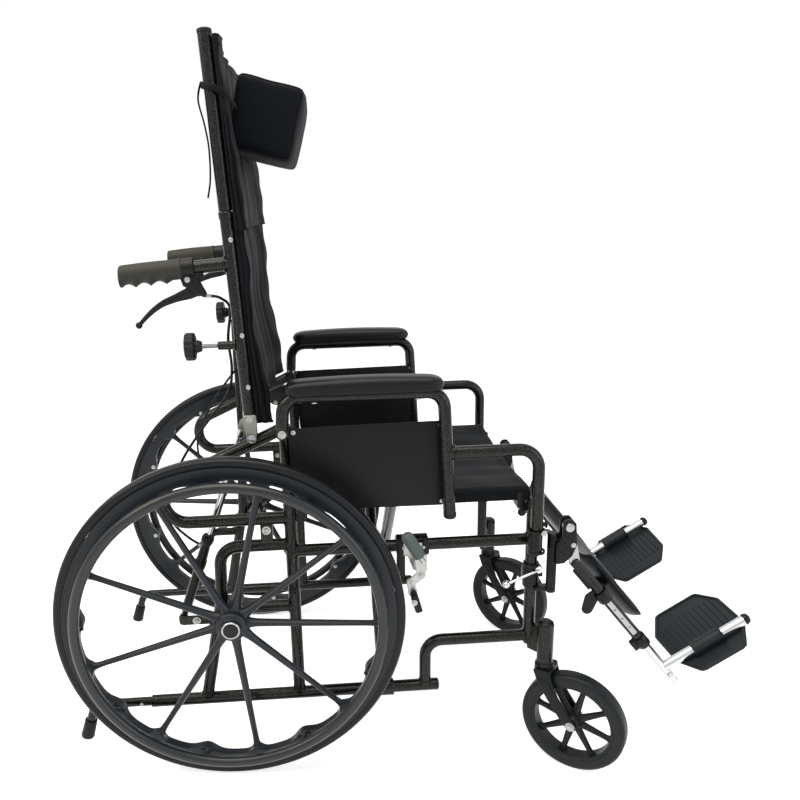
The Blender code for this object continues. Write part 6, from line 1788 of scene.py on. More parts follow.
@dataclass
class LegRest:
    """An elevating swing-away legrest: hanger, latch, leg tube, calf pad, footrest post, plate."""

    side: Side
    pivot: tuple[float, float] = (0.6076, 0.4356)
    start: tuple[float, float] = (0.624, 0.361)
    slope: float = math.radians(51.5)
    length: float = 0.226
    foot_start: tuple[float, float] = (0.8095, 0.1295)
    foot_slope: float = math.radians(31.5)
    eyelets: tuple[float, float, float] = (0.124, 0.148, 0.172)

    def point(self, along: float | Array, lift: float | Array = 0.0,
              inward: float | Array = 0.0) -> Array:
        """Return points on the leg tube's axis, lifted off it and moved towards the middle."""
        along, lift, inward = np.broadcast_arrays(along, lift, inward)
        x = self.start[0] + along * math.cos(self.slope) + lift * math.sin(self.slope)
        z = self.start[1] - along * math.sin(self.slope) + lift * math.cos(self.slope)
        return np.stack([x, self.side.value * (SIZES.legrest_y - inward), z], axis=-1)

    def foot(self) -> Matrix:
        """Return the move with +X along the footplate's tube, +Y towards the middle and +Z up."""
        origin = self.side.at(self.foot_start[0], SIZES.legrest_y, self.foot_start[1])
        cos, sin = math.cos(self.foot_slope), math.sin(self.foot_slope)
        turn = Matrix(((cos, 0.0, sin), (0.0, -self.side.value, 0.0),
                       (-sin, 0.0, cos))).transposed().to_4x4()
        return Matrix.Translation(origin) @ turn

    def build(self) -> None:
        """Build every piece of the legrest."""
        label = self.side.label
        hanger, leg, post = f"{label}_hanger", f"{label}_leg", f"{label}_post"
        piece(f"legrest_housing_{label}", self.housing(), HOUSING, hanger,
              [f"legrest_hanger_{label}"])
        piece(f"housing_screw_{label}", self.housing_screw(), ZINC, hanger)
        piece(f"latch_rod_{label}", self.latch_rod(), CHROME, f"{label}_latch",
              [f"latch_lever_{label}"])
        piece(f"leg_tube_outer_{label}",
              [swept(self.point(np.array([-0.006, self.length])), 0.01, 28)], COAT, leg,
              [f"leg_tube_{label}"])
        piece(f"ratchet_strap_{label}", self.strap(), ZINC, leg)
        piece(f"leg_collar_{label}", self.collar(), LEVER, leg)
        pad = piece(f"calf_pad_cover_{label}", [self.pad()], CALF_VINYL, f"{label}_calf",
                    [f"calf_pad_{label}"], sharp=70.0)
        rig.padded(pad, fill=0.8)
        piece(f"calf_pad_bracket_{label}", self.pad_bracket(), LEVER, f"{label}_calf")
        piece(f"calf_pad_piping_{label}", [self.piping()], ARM_VINYL, f"{label}_calf")
        piece(f"footrest_tube_{label}", self.post(), CHROME, post, [f"footplate_post_{label}"])
        cap = turned([(0.0, 0.0076), (0.004, 0.0073), (0.0078, 0.0056), (0.0102, 0.002),
                      (0.0108, -0.002), (0.0104, -0.005),
                      (0.0, -0.005)], (0.179, 0.0, 0.0), FORWARD, 32, 0.0005)
        piece(f"footrest_cap_{label}", [cap], LEVER, post, place=self.foot())
        piece(f"footplate_moulding_{label}", self.plate(), FOOT_NYLON, f"{label}_plate",
              [f"footplate_{label}"], place=self.foot())

    def housing(self) -> list[Shape]:
        """Return the swing post, the two cheeks of the ratchet housing and the web between them."""
        at, y = self.side.at, SIZES.legrest_y
        post = turned([(0.0054, 0.314), (0.0084, 0.314), (0.0091, 0.315), (0.0091, 0.4152),
                       (0.0084, 0.4163),
                       (0.0054, 0.4163)], at(SIZES.swing_post_x, y, 0.0), UP, 32, closed=True)
        outline = bent([(0.584, 0.364), (0.584, 0.404), (0.595, 0.418), (0.596, 0.444),
                        (0.6025, 0.45), (0.613, 0.45), (0.6195, 0.442), (0.6225, 0.401),
                        (0.614, 0.379), (0.6, 0.366)],
                       0.0042, 5, closed=True)
        cheeks = [slab(outline, 0.0062, at(0.0, y + across, 0.0), edge=0.0014)
                  for across in (-0.0099, 0.0099)]
        web = slab([(0.5842, 0.3644), (0.5934, 0.365), (0.5934, 0.409), (0.5842, 0.4036)], 0.014,
                   at(0.0, y, 0.0))
        return [post, *cheeks, web]

    def housing_screw(self) -> list[Shape]:
        """Return the big pivot screw with the nut behind it, and the small screw below."""
        at, y = self.side.at, SIZES.legrest_y
        (px, pz), out = self.pivot, self.side.out
        head = turned([(0.0, 0.002), (0.005, 0.0019), (0.0078, 0.0012), (0.0084, 0.0002),
                       (0.0, 0.0)],
                      at(px, y + 0.013, pz), out, 32)
        shank = bar(at(px, y - 0.015, pz), at(px, y + 0.013, pz), 0.004)
        lock = nut(at(px, y - 0.013, pz), self.side.inward, 0.007, 0.0032)
        small = bolt(at(0.6155, y + 0.0128, 0.401), out, 0.0034, 0.0014)
        return [head, shank, *lock, *small]

    def latch_rod(self) -> list[Shape]:
        """Return the latch's eye, its bent rod and its ball."""
        at = self.side.at
        px, pz = SIZES.latch_pin
        eye = bar(at(px, 0.229, pz), at(px, 0.232, pz), 0.007, 28)
        route = flowing([at(px, 0.2314, pz), at(0.532, 0.233, 0.337), at(0.4975, 0.2341, 0.3228)],
                        20)
        return [eye, swept(route, 0.0026, 16), ball(at(0.4975, 0.2341, 0.3228), 0.0072, 28)]

    def strap(self) -> list[Shape]:
        """Return the bright ratchet strap and the drilled strip down the tube's outer side."""
        at, y = self.side.at, SIZES.legrest_y
        px, pz = self.pivot
        strap = slab(band([(px, pz, 0.01), (0.615, 0.38, 0.0095), (0.6225, 0.364, 0.0095)]), 0.01,
                     at(0.0, y, 0.0), edge=0.0009)
        strip = block(self.point(0.14, 0.0, -0.0097), (0.104, 0.0018, 0.0096), self.slope, 0.0008)
        eyes = [turned([(0.0016, 0.0008), (0.003, 0.0008), (0.0034, 0.0002), (0.0016, 0.0002)],
                       self.point(spot, 0.0, -0.0105), self.side.out, 20, closed=True)
                for spot in self.eyelets]
        return [strap, strip, *eyes]

    def collar(self) -> list[Shape]:
        """Return the clamp collar at the tube's foot, its hook, its stop rib and dark discs of painted hole shade."""
        axis = unit(self.point(1.0) - self.point(0.0))
        ring = turned([(0.01, -0.02), (0.0122, -0.02), (0.0129, -0.0188), (0.0129, 0.003),
                       (0.0122, 0.0042), (0.0079, 0.0042),
                       (0.0079, 0.0)], self.point(self.length), axis, 32,
                      closed=True)
        hook = block(self.point(self.length - 0.008, -0.015), (0.022, 0.01, 0.011), self.slope,
                     0.002)
        rib = swept(self.point(np.array([0.012, 0.062]), -0.0108), 0.0036, 16)
        # The dark plugs in the eyelets are painted shade that stands in for the holes; the tube has no real holes.
        hole_shade_plugs = [bar(self.point(spot, 0.0, -0.0096), self.point(spot, 0.0, -0.011), 0.0017, 14)
                 for spot in self.eyelets]
        screw = bolt(self.point(self.length - 0.008, 0.0, -0.0126), self.side.out, 0.0034, 0.0018)
        return [ring, hook, rib, *hole_shade_plugs, *screw]

    def surface(self, share: Array, across: Array, out: Array) -> Array:
        """Return points of the calf pad.

        Args:
            share: 0 to 1 down the leg.
            across: -1 to 1 over the pad's width.
            out: -1 to 1 through its thickness.

        Returns:
            The points. The middle surface dishes by 20 mm times across squared. The width narrows
            by a fifth towards both ends, as the square root of one less the fourth power, and the
            thickness falls to the edge as the square root of one less the sixth power. A product
            of cosines makes it slightly uneven.
        """
        along = 0.03 + 0.166 * share
        off = np.abs(2.0 * share - 1.0)
        blunt = np.clip(1.0 - off ** 5, 0.0, 1.0) ** 0.5
        width = 0.8 + 0.2 * np.clip(1.0 - off ** 4, 0.0, 1.0) ** 0.5
        edge = np.clip(1.0 - np.abs(across) ** 6, 0.0, 1.0) ** 0.5
        half = 0.0016 + 0.0089 * edge * (0.1 + 0.9 * blunt)
        puff = 1.0 + 0.05 * np.cos(across * 9.0) * np.cos((share - 0.5) * 11.0)
        inward = 0.085 - 0.065 * width * across
        return self.point(along, 0.01 + 0.02 * across ** 2 + out * half * puff, inward)

    def pad(self) -> Shape:
        """Return the padded calf cover, a closed skin over the pad's two faces."""
        share = 0.5 - 0.5 * np.cos(np.linspace(0.0, math.pi, 61))
        over = -np.cos(np.linspace(0.0, math.pi, 41))
        across = np.concatenate([over, over[::-1][1:-1]])
        out = np.concatenate([np.ones(41), -np.ones(39)])
        out[[0, 40]] = 0.0
        grid = self.surface(share[:, None], across[None, :], out[None, :] * np.ones((61, 1)))
        return skin(grid)

    def piping(self) -> Shape:
        """Return the welt sewn round the pad's edge."""
        over = np.linspace(-1.0, 1.0, 40)
        down = np.linspace(0.0, 1.0, 40)
        share = np.concatenate([np.zeros(40), down, np.ones(40), down[::-1]])
        across = np.concatenate([over, np.ones(40), over[::-1], -np.ones(40)])
        path = self.surface(share, across, np.zeros(160))
        keep = np.concatenate([[True], np.linalg.norm(np.diff(path, axis=0), axis=1) > 0.0006])
        return swept(path[keep], 0.0019, 12)

    def pad_bracket(self) -> list[Shape]:
        """Return the sleeve round the leg tube, the arm to the pad and the hooked hanger."""
        axis = unit(self.point(1.0) - self.point(0.0))
        ring = sleeve((0.0103, 0.0136, 0.0143), (0.012, 0.0108), self.point(0.09), axis)
        arm = block(self.point(0.09, 0.0085, 0.033), (0.02, 0.044, 0.012), self.slope, 0.003)
        hook = band([(0.668, 0.296, 0.009), (0.656, 0.286, 0.01), (0.652, 0.264, 0.0105)])
        return [ring, arm, slab(hook, 0.005, self.side.at(0.0, SIZES.legrest_y, 0.0), edge=0.0012)]

    def post(self) -> list[Shape]:
        """Return the chrome post, the tube that carries the plate and the bolt that joins them."""
        rod = swept(self.point(np.array([0.12, 0.337])), 0.0078, 28)
        foot = self.foot()
        cross = bar(ORIGIN, (0.179, 0.0, 0.0), 0.0095, 28).moved(foot)
        joint = self.point(0.318)
        y, s = SIZES.legrest_y, float(self.side.value)
        middle = self.side.at(float(joint[0]), y, float(joint[2]))
        head = bolt(middle + (0.0, s * 0.0095, 0.0), self.side.out, 0.0056, 0.0034)
        lock = nut(middle - (0.0, s * 0.008, 0.0), self.side.inward, 0.0062, 0.004)
        return [rod, cross, *head, *lock]

    def plate(self) -> list[Shape]:
        """Return the footplate: a slab with a rolled rim, ribs and a flanged sleeve."""
        corners = [(0.05, 0.156), (0.145, 0.156), (0.174, 0.106), (0.1775, 0.012), (0.148, -0.045),
                   (0.054, -0.045), (0.026, 0.012), (0.0225, 0.1)]
        outline = bent(corners, 0.012, 6, closed=True)
        floor = slab(outline, 0.005, (0.0, 0.0, -0.015), FORWARD, ACROSS, 0.0012)
        inset = bent([(0.1 + (u - 0.1) * 0.945, 0.055 + (v - 0.055) * 0.955) for u, v in corners],
                     0.012, 6, closed=True)
        loop = np.array([(u, v, -0.0122) for u, v in inset])
        rim = skin(swept(np.concatenate([loop, loop[:1]]), 0.0022,
                         10).points.reshape(-1, 10, 3)[1:-1])
        ribs = [block((u, 0.07, -0.0118), (0.0026, 0.104 - abs(u - 0.1) * 0.25, 0.003), 0.0, 0.0009)
                for u in np.arange(0.042, 0.162, 0.0115)]
        flanged = turned([(0.0098, 0.063), (0.0152, 0.063), (0.0152, 0.066), (0.0138, 0.067),
                          (0.0138, 0.122),
                         (0.0152, 0.123), (0.0152, 0.126), (0.0098, 0.126)], ORIGIN, FORWARD, 36,
                         closed=True)
        saddle = block((0.0945, 0.0, -0.008), (0.059, 0.0236, 0.012), 0.0, 0.002)
        lip = block((0.101, -0.0425, -0.0135), (0.082, 0.004, 0.01), 0.0, 0.0012)
        return [floor, rim, *ribs, flanged, saddle, lip]


@dataclass
class AntiTipper:
    """The bent tube behind a lower rail that stops the chair from tipping back."""

    side: Side

    def build(self) -> None:
        """Build the tube and its rubber tip."""
        label, y = self.side.label, SIZES.frame_y
        line = bent([(-0.1, SIZES.lower_rail_z), (-0.2795, SIZES.lower_rail_z), (-0.299, 0.046)],
                    0.024)
        piece(f"tipper_tube_{label}", [swept(self.side.run(line, y), 0.0084, 24)], COAT,
              f"{label}_tipper", [f"anti_tipper_{label}"])
        foot = self.side.at(-0.2893, y, 0.077)
        axis = unit(self.side.at(-0.3005, y, 0.041) - foot)
        tip = turned([(0.0085, 0.0), (0.0106, 0.0), (0.0113, 0.001), (0.0122, 0.03),
                      (0.0128, 0.034), (0.012, 0.0372), (0.0, 0.0377)], foot, axis, 32)
        piece(f"tipper_tip_{label}", [tip], TYRE, f"{label}_tipper")
        button = turned([(0.0, 0.0036), (0.002, 0.0033), (0.0032, 0.002), (0.0034, 0.0),
                         (0.0, 0.0)],
                        self.side.at(-0.19, y + 0.008, SIZES.lower_rail_z),
                        (0.0, self.side.value, 0.0), 20)
        piece(f"tipper_button_{label}", [button], ZINC, f"{label}_tipper")


@dataclass
class Sling:
    """A sheet of pack cloth hung between two posts or rails, with its hems, flaps and stitching.

    The sheet is drawn as two faces a cloth's thickness apart, with a rounded selvedge.
    """

    name: str
    node: str
    body: str
    flat: tuple[float, float]
    rests_on: tuple[str, str]
    thick: float = 0.0026

    def cloth(self, middle: Array, finish: Finish) -> bpy.types.Object:
        """Make the sheet from its middle surface.

        Args:
            middle: rows x columns x 3 points, rows down the cloth and columns across it.
            finish: the cloth.

        Returns:
            The sheet. Each point is moved half the thickness along the surface's own normal, the
            cross product of its two gradients.
        """
        normal = unit(np.cross(np.gradient(middle, axis=1), np.gradient(middle, axis=0)))
        ring = np.concatenate([middle + normal * self.thick / 2.0,
                               (middle - normal * self.thick / 2.0)[:, ::-1]], axis=1)
        obj = piece(self.name, [skin(ring)], finish, self.body, [self.node], sharp=80.0)
        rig.sheet(obj, flat=self.flat, held="stretched", rests_on=list(self.rests_on))
        return obj

    def stitches(self, name: str, paths: Sequence[Array], lift: float = 0.0004) -> bpy.types.Object:
        """Make rows of stitches: short rounded threads 3 mm long with 1 mm between them."""
        threads: list[Shape] = []
        for path in paths:
            reach = np.concatenate([[0.0],
                                    np.cumsum(np.linalg.norm(np.diff(path, axis=0), axis=1))])
            starts = np.arange(0.001, reach[-1] - 0.004, 0.004)
            for at in starts:
                spots = np.array([at, at + 0.0015, at + 0.003])
                line = np.stack([np.interp(spots, reach, path[:, k]) for k in range(3)], axis=1)
                threads.append(swept(line + np.array([lift, 0.0, 0.0]), 0.00055, 6, chamfer=0.0002))
        return piece(name, threads, THREAD, self.body, sharp=60.0)


@dataclass
class BackSling(Sling):
    """The back's upholstery, or the head extension's: side flaps, a sagging panel and hems."""

    low: float = 0.648
    high: float = 0.984
    half: float = 0.2205
    hang_gap: float = 0.0117
    front: tuple[float, float, float, float] = (0.026, -0.012, 0.004, 3.0)
    sag: float = 0.024
    folds: float = 1.0

    def edge(self, share: Array) -> Array:
        """Return how far in front of the canes the side flap's front edge stands."""
        base, slope, swell, waves = self.front
        return base + slope * share + swell * np.sin(share * math.pi * waves)

    def panel(self, t: Array, share: Array) -> Array:
        """Return points of the panel.

        Args:
            t: -1 to 1 across.
            share: 0 to 1 up.

        Returns:
            Points whose depth is the parabola of the sag with soft vertical folds: sines across
            whose phase drifts up the cloth, strongest by the canes, and a few slanting creases.
        """
        t, share = np.broadcast_arrays(t, share)
        z = self.low + (self.high - self.low) * share
        by_cane = np.exp(-((1.0 - np.abs(t)) / 0.22) ** 2)
        folds = 0.0022 * np.sin(t * math.pi * 5.0 + share * 2.0)
        phase = t * 23.0 + share * 3.4 + 1.3 * np.sin(share * 5.0)
        folds += 0.0016 * np.sin(phase) * (0.35 + 0.65 * np.abs(t))
        folds += 0.0014 * by_cane * np.sin(share * 31.0 + np.sign(t) * t * 9.0)
        folds += 0.0008 * np.sin(t * 51.0 + share * 6.0) * np.sin(share * math.pi)
        depth = self.edge(share) - self.sag * (1.0 - t ** 2) + folds * self.folds
        return np.stack([SIZES.cane_x(z) + self.hang_gap + depth, self.half * t, z], axis=-1)

    def middle(self) -> Array:
        """Return the middle surface: a rippled flap forward from each cane, and the panel."""
        share = np.linspace(0.0, 1.0, 90)[:, None]
        t = np.linspace(-1.0, 1.0, 121)
        body = self.panel(t[None, :], share)
        z = self.low + (self.high - self.low) * share
        back = SIZES.cane_x(z) + self.hang_gap
        along = np.linspace(0.0, 0.92, 40)[None, :]
        depth = (body[:, :1, 0] - back) * along
        ripple = 0.0034 * np.sin(along * 15.0 + 1.6 * np.sin(share * 5.5)) * np.sin(along * math.pi)
        drift = 2.2 * np.sin(share * 4.0 + 1.0)
        ripple += 0.0014 * np.sin(along * 31.0 + drift) * np.sin(along * math.pi)
        flap = np.stack(np.broadcast_arrays(back + depth, -self.half - ripple, z), axis=-1)
        far = flap[:, ::-1] * np.array([1.0, -1.0, 1.0])
        far[..., 0] = (back + (body[:, -1:, 0] - back) * along)[:, ::-1]
        body = body[:, 2:-2]
        return np.concatenate([flap, body, far], axis=1)

    def build(self, finish: Finish) -> None:
        """Build the sheet, its hem welts and its stitching."""
        sheet = self.cloth(self.middle(), finish)
        t = np.linspace(-0.985, 0.985, 160)
        lines = [self.panel(t, np.full_like(t, at)) + np.array([self.thick / 2.0, 0.0, 0.0])
                 for at in (0.035, 0.05, 0.95, 0.965)]
        up = np.linspace(0.02, 0.98, 120)
        lines += [self.panel(np.full_like(up, at), up) + np.array([self.thick / 2.0, 0.0, 0.0])
                  for at in (-0.955, 0.955)]
        seams = self.stitches(f"{self.name}_stitching", lines, 0.0002)
        welts = [swept(self.panel(t, np.full_like(t, at)), 0.0021, 12) for at in (0.004, 0.996)]
        hem = piece(f"{self.name}_hem", welts, finish, self.body, sharp=60.0)
        narrow([sheet, seams, hem], self.half)


@dataclass
class SeatSling(Sling):
    """The seat: a sheet wrapped over both seat rails, sagging between them."""

    sag: float = 0.014
    ends: tuple[float, float] = (0.129, 0.541)
    top: float = 0.5004

    def line(self, x: Array, t: Array) -> Array:
        """Return points over the seat: a shallow parabola across, creased towards the middle.

        Args:
            x: how far forward.
            t: -1 to 1 between the rails.

        Returns:
            The points of the seat's middle surface.
        """
        x, t = np.broadcast_arrays(x, t)
        share = (x - self.ends[0]) / (self.ends[1] - self.ends[0])
        crease = 0.001 * np.sin(t * 19.0 + share * 4.0) * (1.0 - t ** 2)
        crease = crease + 0.0007 * np.sin(share * 26.0 + t * 7.0)
        dip = self.sag * (1.0 - t ** 2) * (0.75 + 0.25 * np.sin(share * math.pi))
        z = self.top + 0.002 - dip + crease
        return np.stack([x, SIZES.seat_rail_y * t, z], axis=-1)

    def build(self, finish: Finish) -> None:
        """Build the sheet and its stitching."""
        x = np.linspace(self.ends[0], self.ends[1], 90)[:, None]
        panel = self.line(x, np.linspace(-1.0, 1.0, 101)[None, :])
        turn = np.linspace(math.radians(78.0), 0.0, 12)[None, :]
        radius = SIZES.tube + 0.002
        drop = np.linspace(0.0, 0.0085, 5)[None, 1:]
        over_y = np.concatenate([radius * np.cos(turn), np.full_like(drop, radius)], axis=1)
        over_z = np.concatenate([radius * np.sin(turn), -drop], axis=1)
        y, z = SIZES.seat_rail_y + over_y, SIZES.seat_rail_z + over_z
        left = np.stack(np.broadcast_arrays(x, y, z), axis=-1)
        right = left[:, ::-1] * np.array([1.0, -1.0, 1.0])
        sheet = self.cloth(np.concatenate([right, panel[:, 2:-2], left], axis=1)[:, ::-1], finish)
        t = np.linspace(-0.96, 0.96, 140)
        up = np.linspace(self.ends[0] + 0.004, self.ends[1] - 0.004, 140)
        rise = np.array([0.0, 0.0, self.thick / 2.0 + 0.0002])
        lines = [self.line(np.full_like(t, at), t) + rise for at in (0.137, 0.143, 0.527, 0.533)]
        lines += [self.line(up, np.full_like(up, at)) + rise for at in (-0.9, 0.9)]
        seams = self.stitches(f"{self.name}_stitching", lines, 0.0)
        span([sheet, seams], ("brace_b", "brace_a"),
             ((0.33, -0.15, SIZES.seat_rail_z), (0.33, 0.15, SIZES.seat_rail_z)))


@dataclass
class Pillow:
    """The head extension's box pillow, with its piping and the tails of its straps."""

    centre: tuple[float, float, float] = (0.0985, 0.0, 1.147)
    size: tuple[float, float, float] = (0.106, 0.318, 0.114)
    lean: float = math.radians(15.0)
    body: str = "right_head_post"

    def place(self) -> Matrix:
        """Return the move from the pillow's own axes to the level chair."""
        return Matrix.Translation(self.centre) @ Matrix.Rotation(self.lean, 4, "Y")

    def puff(self, cube: Array) -> Array:
        """Move points of a cube of half-width one onto the stuffed cover.

        Args:
            cube: points on the cube.

        Returns:
            The points divided by their sixteenth-power norm, which rounds the edges, and scaled to
            the pillow. The front and the underside swell as products of cosines between crisp ends,
            and creases run out of the corners as short sines.
        """
        x, y, z = (cube / ((np.abs(cube) ** 16.0).sum(axis=1) ** (1.0 / 16.0))[:, None]).T
        belly = np.clip(1.0 - np.abs(y) ** 6.0, 0.0, 1.0)
        front = 0.17 * belly * np.clip(x, 0.0, 1.0) * np.cos(z * 0.9)
        under = 0.13 * belly * np.clip(-z, 0.0, 1.0) * np.cos(x * 0.7)
        corner = np.exp(-((1.0 - np.abs(y)) / 0.3) ** 2)
        crease = 0.02 * corner * np.sin((x + z) * 5.0)
        crease = crease + 0.01 * np.sin(y * 17.0 + z * 5.0) * (0.3 + 0.7 * np.abs(z) ** 4)
        dish = 0.02 * np.exp(-(y ** 2 + z ** 2)) * np.sin(x * 3.0)
        soft = np.stack([x + front + crease - dish, y * (0.985 - 0.025 * (x ** 2 + z ** 2) / 2.0),
                         z - under + crease * 0.5], axis=1)
        return soft * np.array(self.size) / 2.0

    def cover(self) -> Shape:
        """Return the stuffed cover, from a cube cut into forty strips each way."""
        mesh = bmesh.new()
        bmesh.ops.create_cube(mesh, size=2.0)
        bmesh.ops.subdivide_edges(mesh, edges=mesh.edges, cuts=39, use_grid_fill=True)
        mesh.verts.index_update()
        points = np.array([vert.co[:] for vert in mesh.verts])
        faces = [tuple(vert.index for vert in face.verts) for face in mesh.faces]
        mesh.free()
        return Shape(self.puff(points), faces)

    def welt(self, side: float) -> Shape:
        """Return the piping round one end of the pillow, along the cover's own edge."""
        run = np.linspace(-1.0, 1.0, 30)[:-1]
        edge = np.ones_like(run)
        x = np.concatenate([run, edge, -run, -edge])
        z = np.concatenate([edge, -run, -edge, run])
        path = self.puff(np.stack([x, np.full_like(x, side), z], axis=1))
        return swept(np.concatenate([path, path[:1]]), 0.0015, 10)

    def strap(self, side: Side) -> list[Shape]:
        """Return a strap from the pillow's end round the back of the post, and its loose tail.

        Each knot is how far it stands in front of the post's middle, how far out, and how high.
        """
        loop = [(0.03, 0.15, 1.16), (0.027, 0.185, 1.166), (0.024, 0.22, 1.172),
                (0.012, 0.2292, 1.178), (-0.002, 0.2285, 1.182), (-0.0135, 0.217, 1.186),
                (-0.014, 0.205, 1.188)]
        tail = [(-0.015, 0.212, 1.19), (-0.0215, 0.215, 1.165), (-0.0165, 0.215, 1.13),
                (-0.014, 0.215, 1.095), (-0.0175, 0.215, 1.05), (-0.025, 0.215, 1.02)]
        routes = [flowing([side.at(float(SIZES.cane_x(z)) + x, y, z) for x, y, z in knots], 60)
                  for knots in (loop, tail)]
        return [swept(routes[0], 0.0013, 12, plane=UP, flat=4.0),
                swept(routes[1], 0.005, 12, plane=FORWARD, flat=0.26)]

    def build(self) -> None:
        """Build the pillow and its straps."""
        cover = piece("head_pillow_cover", [self.cover()], PILLOW, self.body, ["head_pillow"],
                      sharp=80.0, place=self.place())
        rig.padded(cover, fill=0.75)
        straps = piece("head_pillow_straps", [shape for side in Side for shape in self.strap(side)],
                       NYLON, self.body, sharp=60.0)
        piping = piece("head_pillow_piping", [self.welt(1.0), self.welt(-1.0)], PILLOW, self.body,
                       place=self.place())
        narrow([cover, piping, straps], 0.2245)


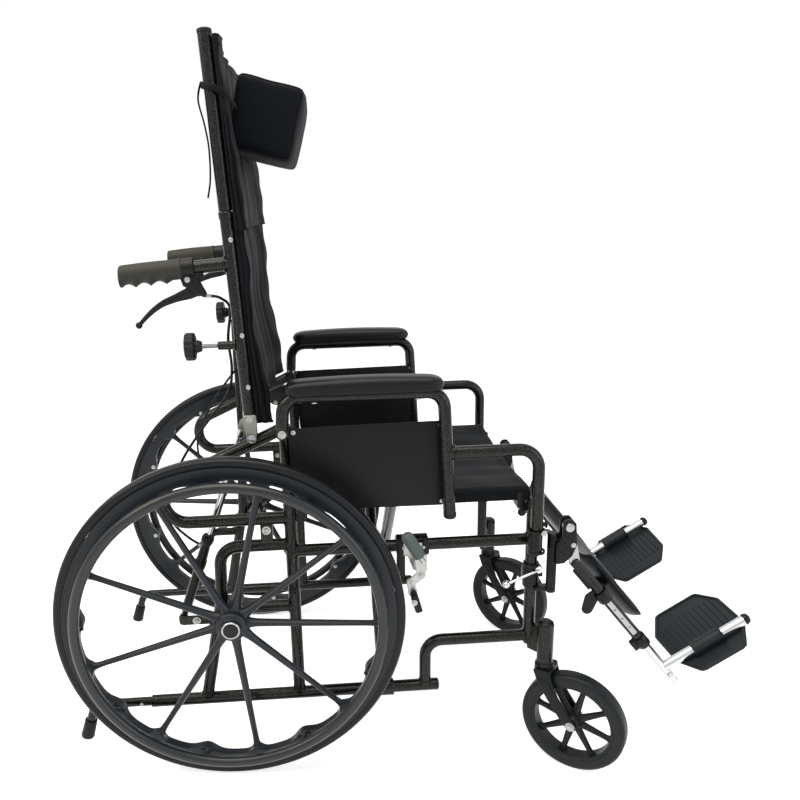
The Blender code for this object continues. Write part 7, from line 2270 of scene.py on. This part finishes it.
@dataclass
class Studio:
    """The plain setting: a pale floor that melts into white, soft light and the camera."""

    eye: tuple[float, float, float] = (-0.2075, -1.4822, 1.0139)
    pitch: float = math.radians(15.335)
    yaw: float = math.radians(4.284)
    roll: float = math.radians(2.457)
    lens: float = 34.4
    shift: tuple[float, float] = (0.0433, 0.0225)

    def floor(self) -> None:
        """Lay the floor, whose small glow lets it clip to the surround's white past the shadow."""
        mesh = bpy.data.meshes.new("studio_floor")
        reach = 30.0
        mesh.from_pydata([(-reach, -reach, 0.0), (reach, -reach, 0.0), (reach, reach, 0.0),
                          (-reach, reach, 0.0)], [],
                         [(0, 1, 2, 3)])
        floor = bpy.data.objects.new("studio_floor", mesh)
        bpy.context.scene.collection.objects.link(floor)
        material = bpy.data.materials.new("studio_white_floor")
        material.use_nodes = True
        tree = material.node_tree
        tree.nodes.clear()
        diffuse = add_node(tree, "ShaderNodeBsdfDiffuse")
        diffuse.inputs["Color"].default_value = linear("#f4f4f4")
        path = add_node(tree, "ShaderNodeLightPath")
        glow = add_node(tree, "ShaderNodeEmission")
        glow.inputs["Color"].default_value = linear("#ffffff")
        seen = add_node(tree, "ShaderNodeMath", {"operation": "MAXIMUM"},
                        n0=path.outputs["Is Camera Ray"], n1=path.outputs["Is Glossy Ray"])
        level = add_node(tree, "ShaderNodeMath", {"operation": "MULTIPLY"}, n0=seen.outputs[0])
        level.inputs[1].default_value = 0.72
        tree.links.new(level.outputs[0], glow.inputs["Strength"])
        total = add_node(tree, "ShaderNodeAddShader", None, n0=diffuse.outputs[0],
                         n1=glow.outputs[0])
        out = add_node(tree, "ShaderNodeOutputMaterial")
        tree.links.new(total.outputs[0], out.inputs["Surface"])
        mesh.materials.append(material)
        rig.stage(floor)

    def surround(self) -> None:
        """Make the world white to the camera and in reflections, and dimmer as a light."""
        world = bpy.data.worlds.new("studio_surround")
        bpy.context.scene.world = world
        world.use_nodes = True
        tree = world.node_tree
        tree.nodes.clear()
        path = add_node(tree, "ShaderNodeLightPath")
        bare = add_node(tree, "ShaderNodeMath", {"operation": "MAXIMUM"},
                        n0=path.outputs["Is Camera Ray"], n1=path.outputs["Is Transmission Ray"])
        seen = add_node(tree, "ShaderNodeMath", {"operation": "MAXIMUM"}, n0=bare.outputs[0],
                        n1=path.outputs["Is Glossy Ray"])
        white = add_node(tree, "ShaderNodeBackground")
        white.inputs["Color"].default_value = linear("#ffffff")
        soft = add_node(tree, "ShaderNodeBackground")
        soft.inputs["Color"].default_value = linear("#f2f5f8")
        soft.inputs["Strength"].default_value = 0.42
        mix = add_node(tree, "ShaderNodeMixShader", None, n0=seen.outputs[0], n1=soft.outputs[0],
                       n2=white.outputs[0])
        out = add_node(tree, "ShaderNodeOutputWorld")
        tree.links.new(mix.outputs[0], out.inputs["Surface"])

    def lamp(self, name: str, at: Sequence[float], aim: Sequence[float], size: float, power: float,
             tint: str) -> None:
        """Hang a square soft light at a point, facing another."""
        data = bpy.data.lights.new(name, "AREA")
        data.size = size
        data.energy = power
        data.color = linear(tint)[:3]
        lamp = bpy.data.objects.new(name, data)
        facing = Vector(np.subtract(aim, at)).to_track_quat("-Z", "Y")
        lamp.matrix_world = Matrix.Translation(at) @ facing.to_matrix().to_4x4()
        bpy.context.scene.collection.objects.link(lamp)

    def camera(self) -> None:
        """Set the camera that was fitted to the photograph."""
        data = bpy.data.cameras.new("photo_camera")
        data.lens = self.lens
        data.sensor_width = 36.0
        data.shift_x, data.shift_y = self.shift
        camera = bpy.data.objects.new("photo_camera", data)
        ahead = Vector((math.sin(self.yaw) * math.cos(self.pitch),
                        math.cos(self.yaw) * math.cos(self.pitch), -math.sin(self.pitch)))
        right = Vector((math.cos(self.yaw), -math.sin(self.yaw), 0.0))
        up = right.cross(ahead)
        right, up = (right * math.cos(self.roll) + up * math.sin(self.roll),
                     up * math.cos(self.roll) - right * math.sin(self.roll))
        turn = Matrix((right, up, -ahead)).transposed().to_4x4()
        camera.matrix_world = Matrix.Translation(self.eye) @ turn
        bpy.context.scene.collection.objects.link(camera)
        bpy.context.scene.camera = camera

    def build(self) -> None:
        """Build the setting."""
        self.floor()
        self.surround()
        self.lamp("key_light", (-0.6, -0.6, 2.9), (0.0, 0.0, 0.5), 2.2, 62.0, "#fff6ea")
        self.lamp("side_fill", (2.6, -1.8, 1.4), (0.0, 0.0, 0.5), 1.8, 24.0, "#eef4ff")
        self.lamp("rear_rim", (-2.4, -0.9, 2.1), (0.0, 0.0, 0.6), 1.2, 30.0, "#ffead2")
        self.camera()
        bpy.context.scene.view_settings.view_transform = "Standard"


def main() -> None:
    logging.basicConfig(level=logging.INFO, format="%(message)s")
    for side in Side:
        SideFrame(side).build()
        BackPost(side).build()
        GasStrut(side).build()
        Armrest(side).build()
        RearWheel(side).build()
        Caster(side).build()
        WheelLock(side).build()
        LegRest(side).build()
        AntiTipper(side).build()
    CrossBrace().build()
    SpreaderBar().build()
    SeatSling("seat_sling", "seat_upholstery", "", (0.46, 0.412),
              ("cross_brace_a", "cross_brace_b")).build(NYLON)
    BackSling("back_sling", "back_upholstery", "right_back", (0.52, 0.322),
              ("back_cane_right", "back_cane_left")).build(NYLON)
    BackSling("head_sling", "head_upholstery", "right_head_post", (0.5, 0.266),
              ("head_post_right", "head_post_left"), low=0.97, high=1.256, half=0.2245,
              hang_gap=0.0127, front=(0.018, -0.008, 0.003, 2.0), sag=0.014, folds=0.8).build(NYLON)
    Pillow().build()
    Studio().build()
    with open("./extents.json", "w", encoding="utf-8") as file:
        json.dump({"cad": [list(map(float, corner)) for corner in CAD_BOX],
                   "visual": [list(map(float, corner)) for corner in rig.bounds()]}, file)


if __name__ == "__main__":
    main()
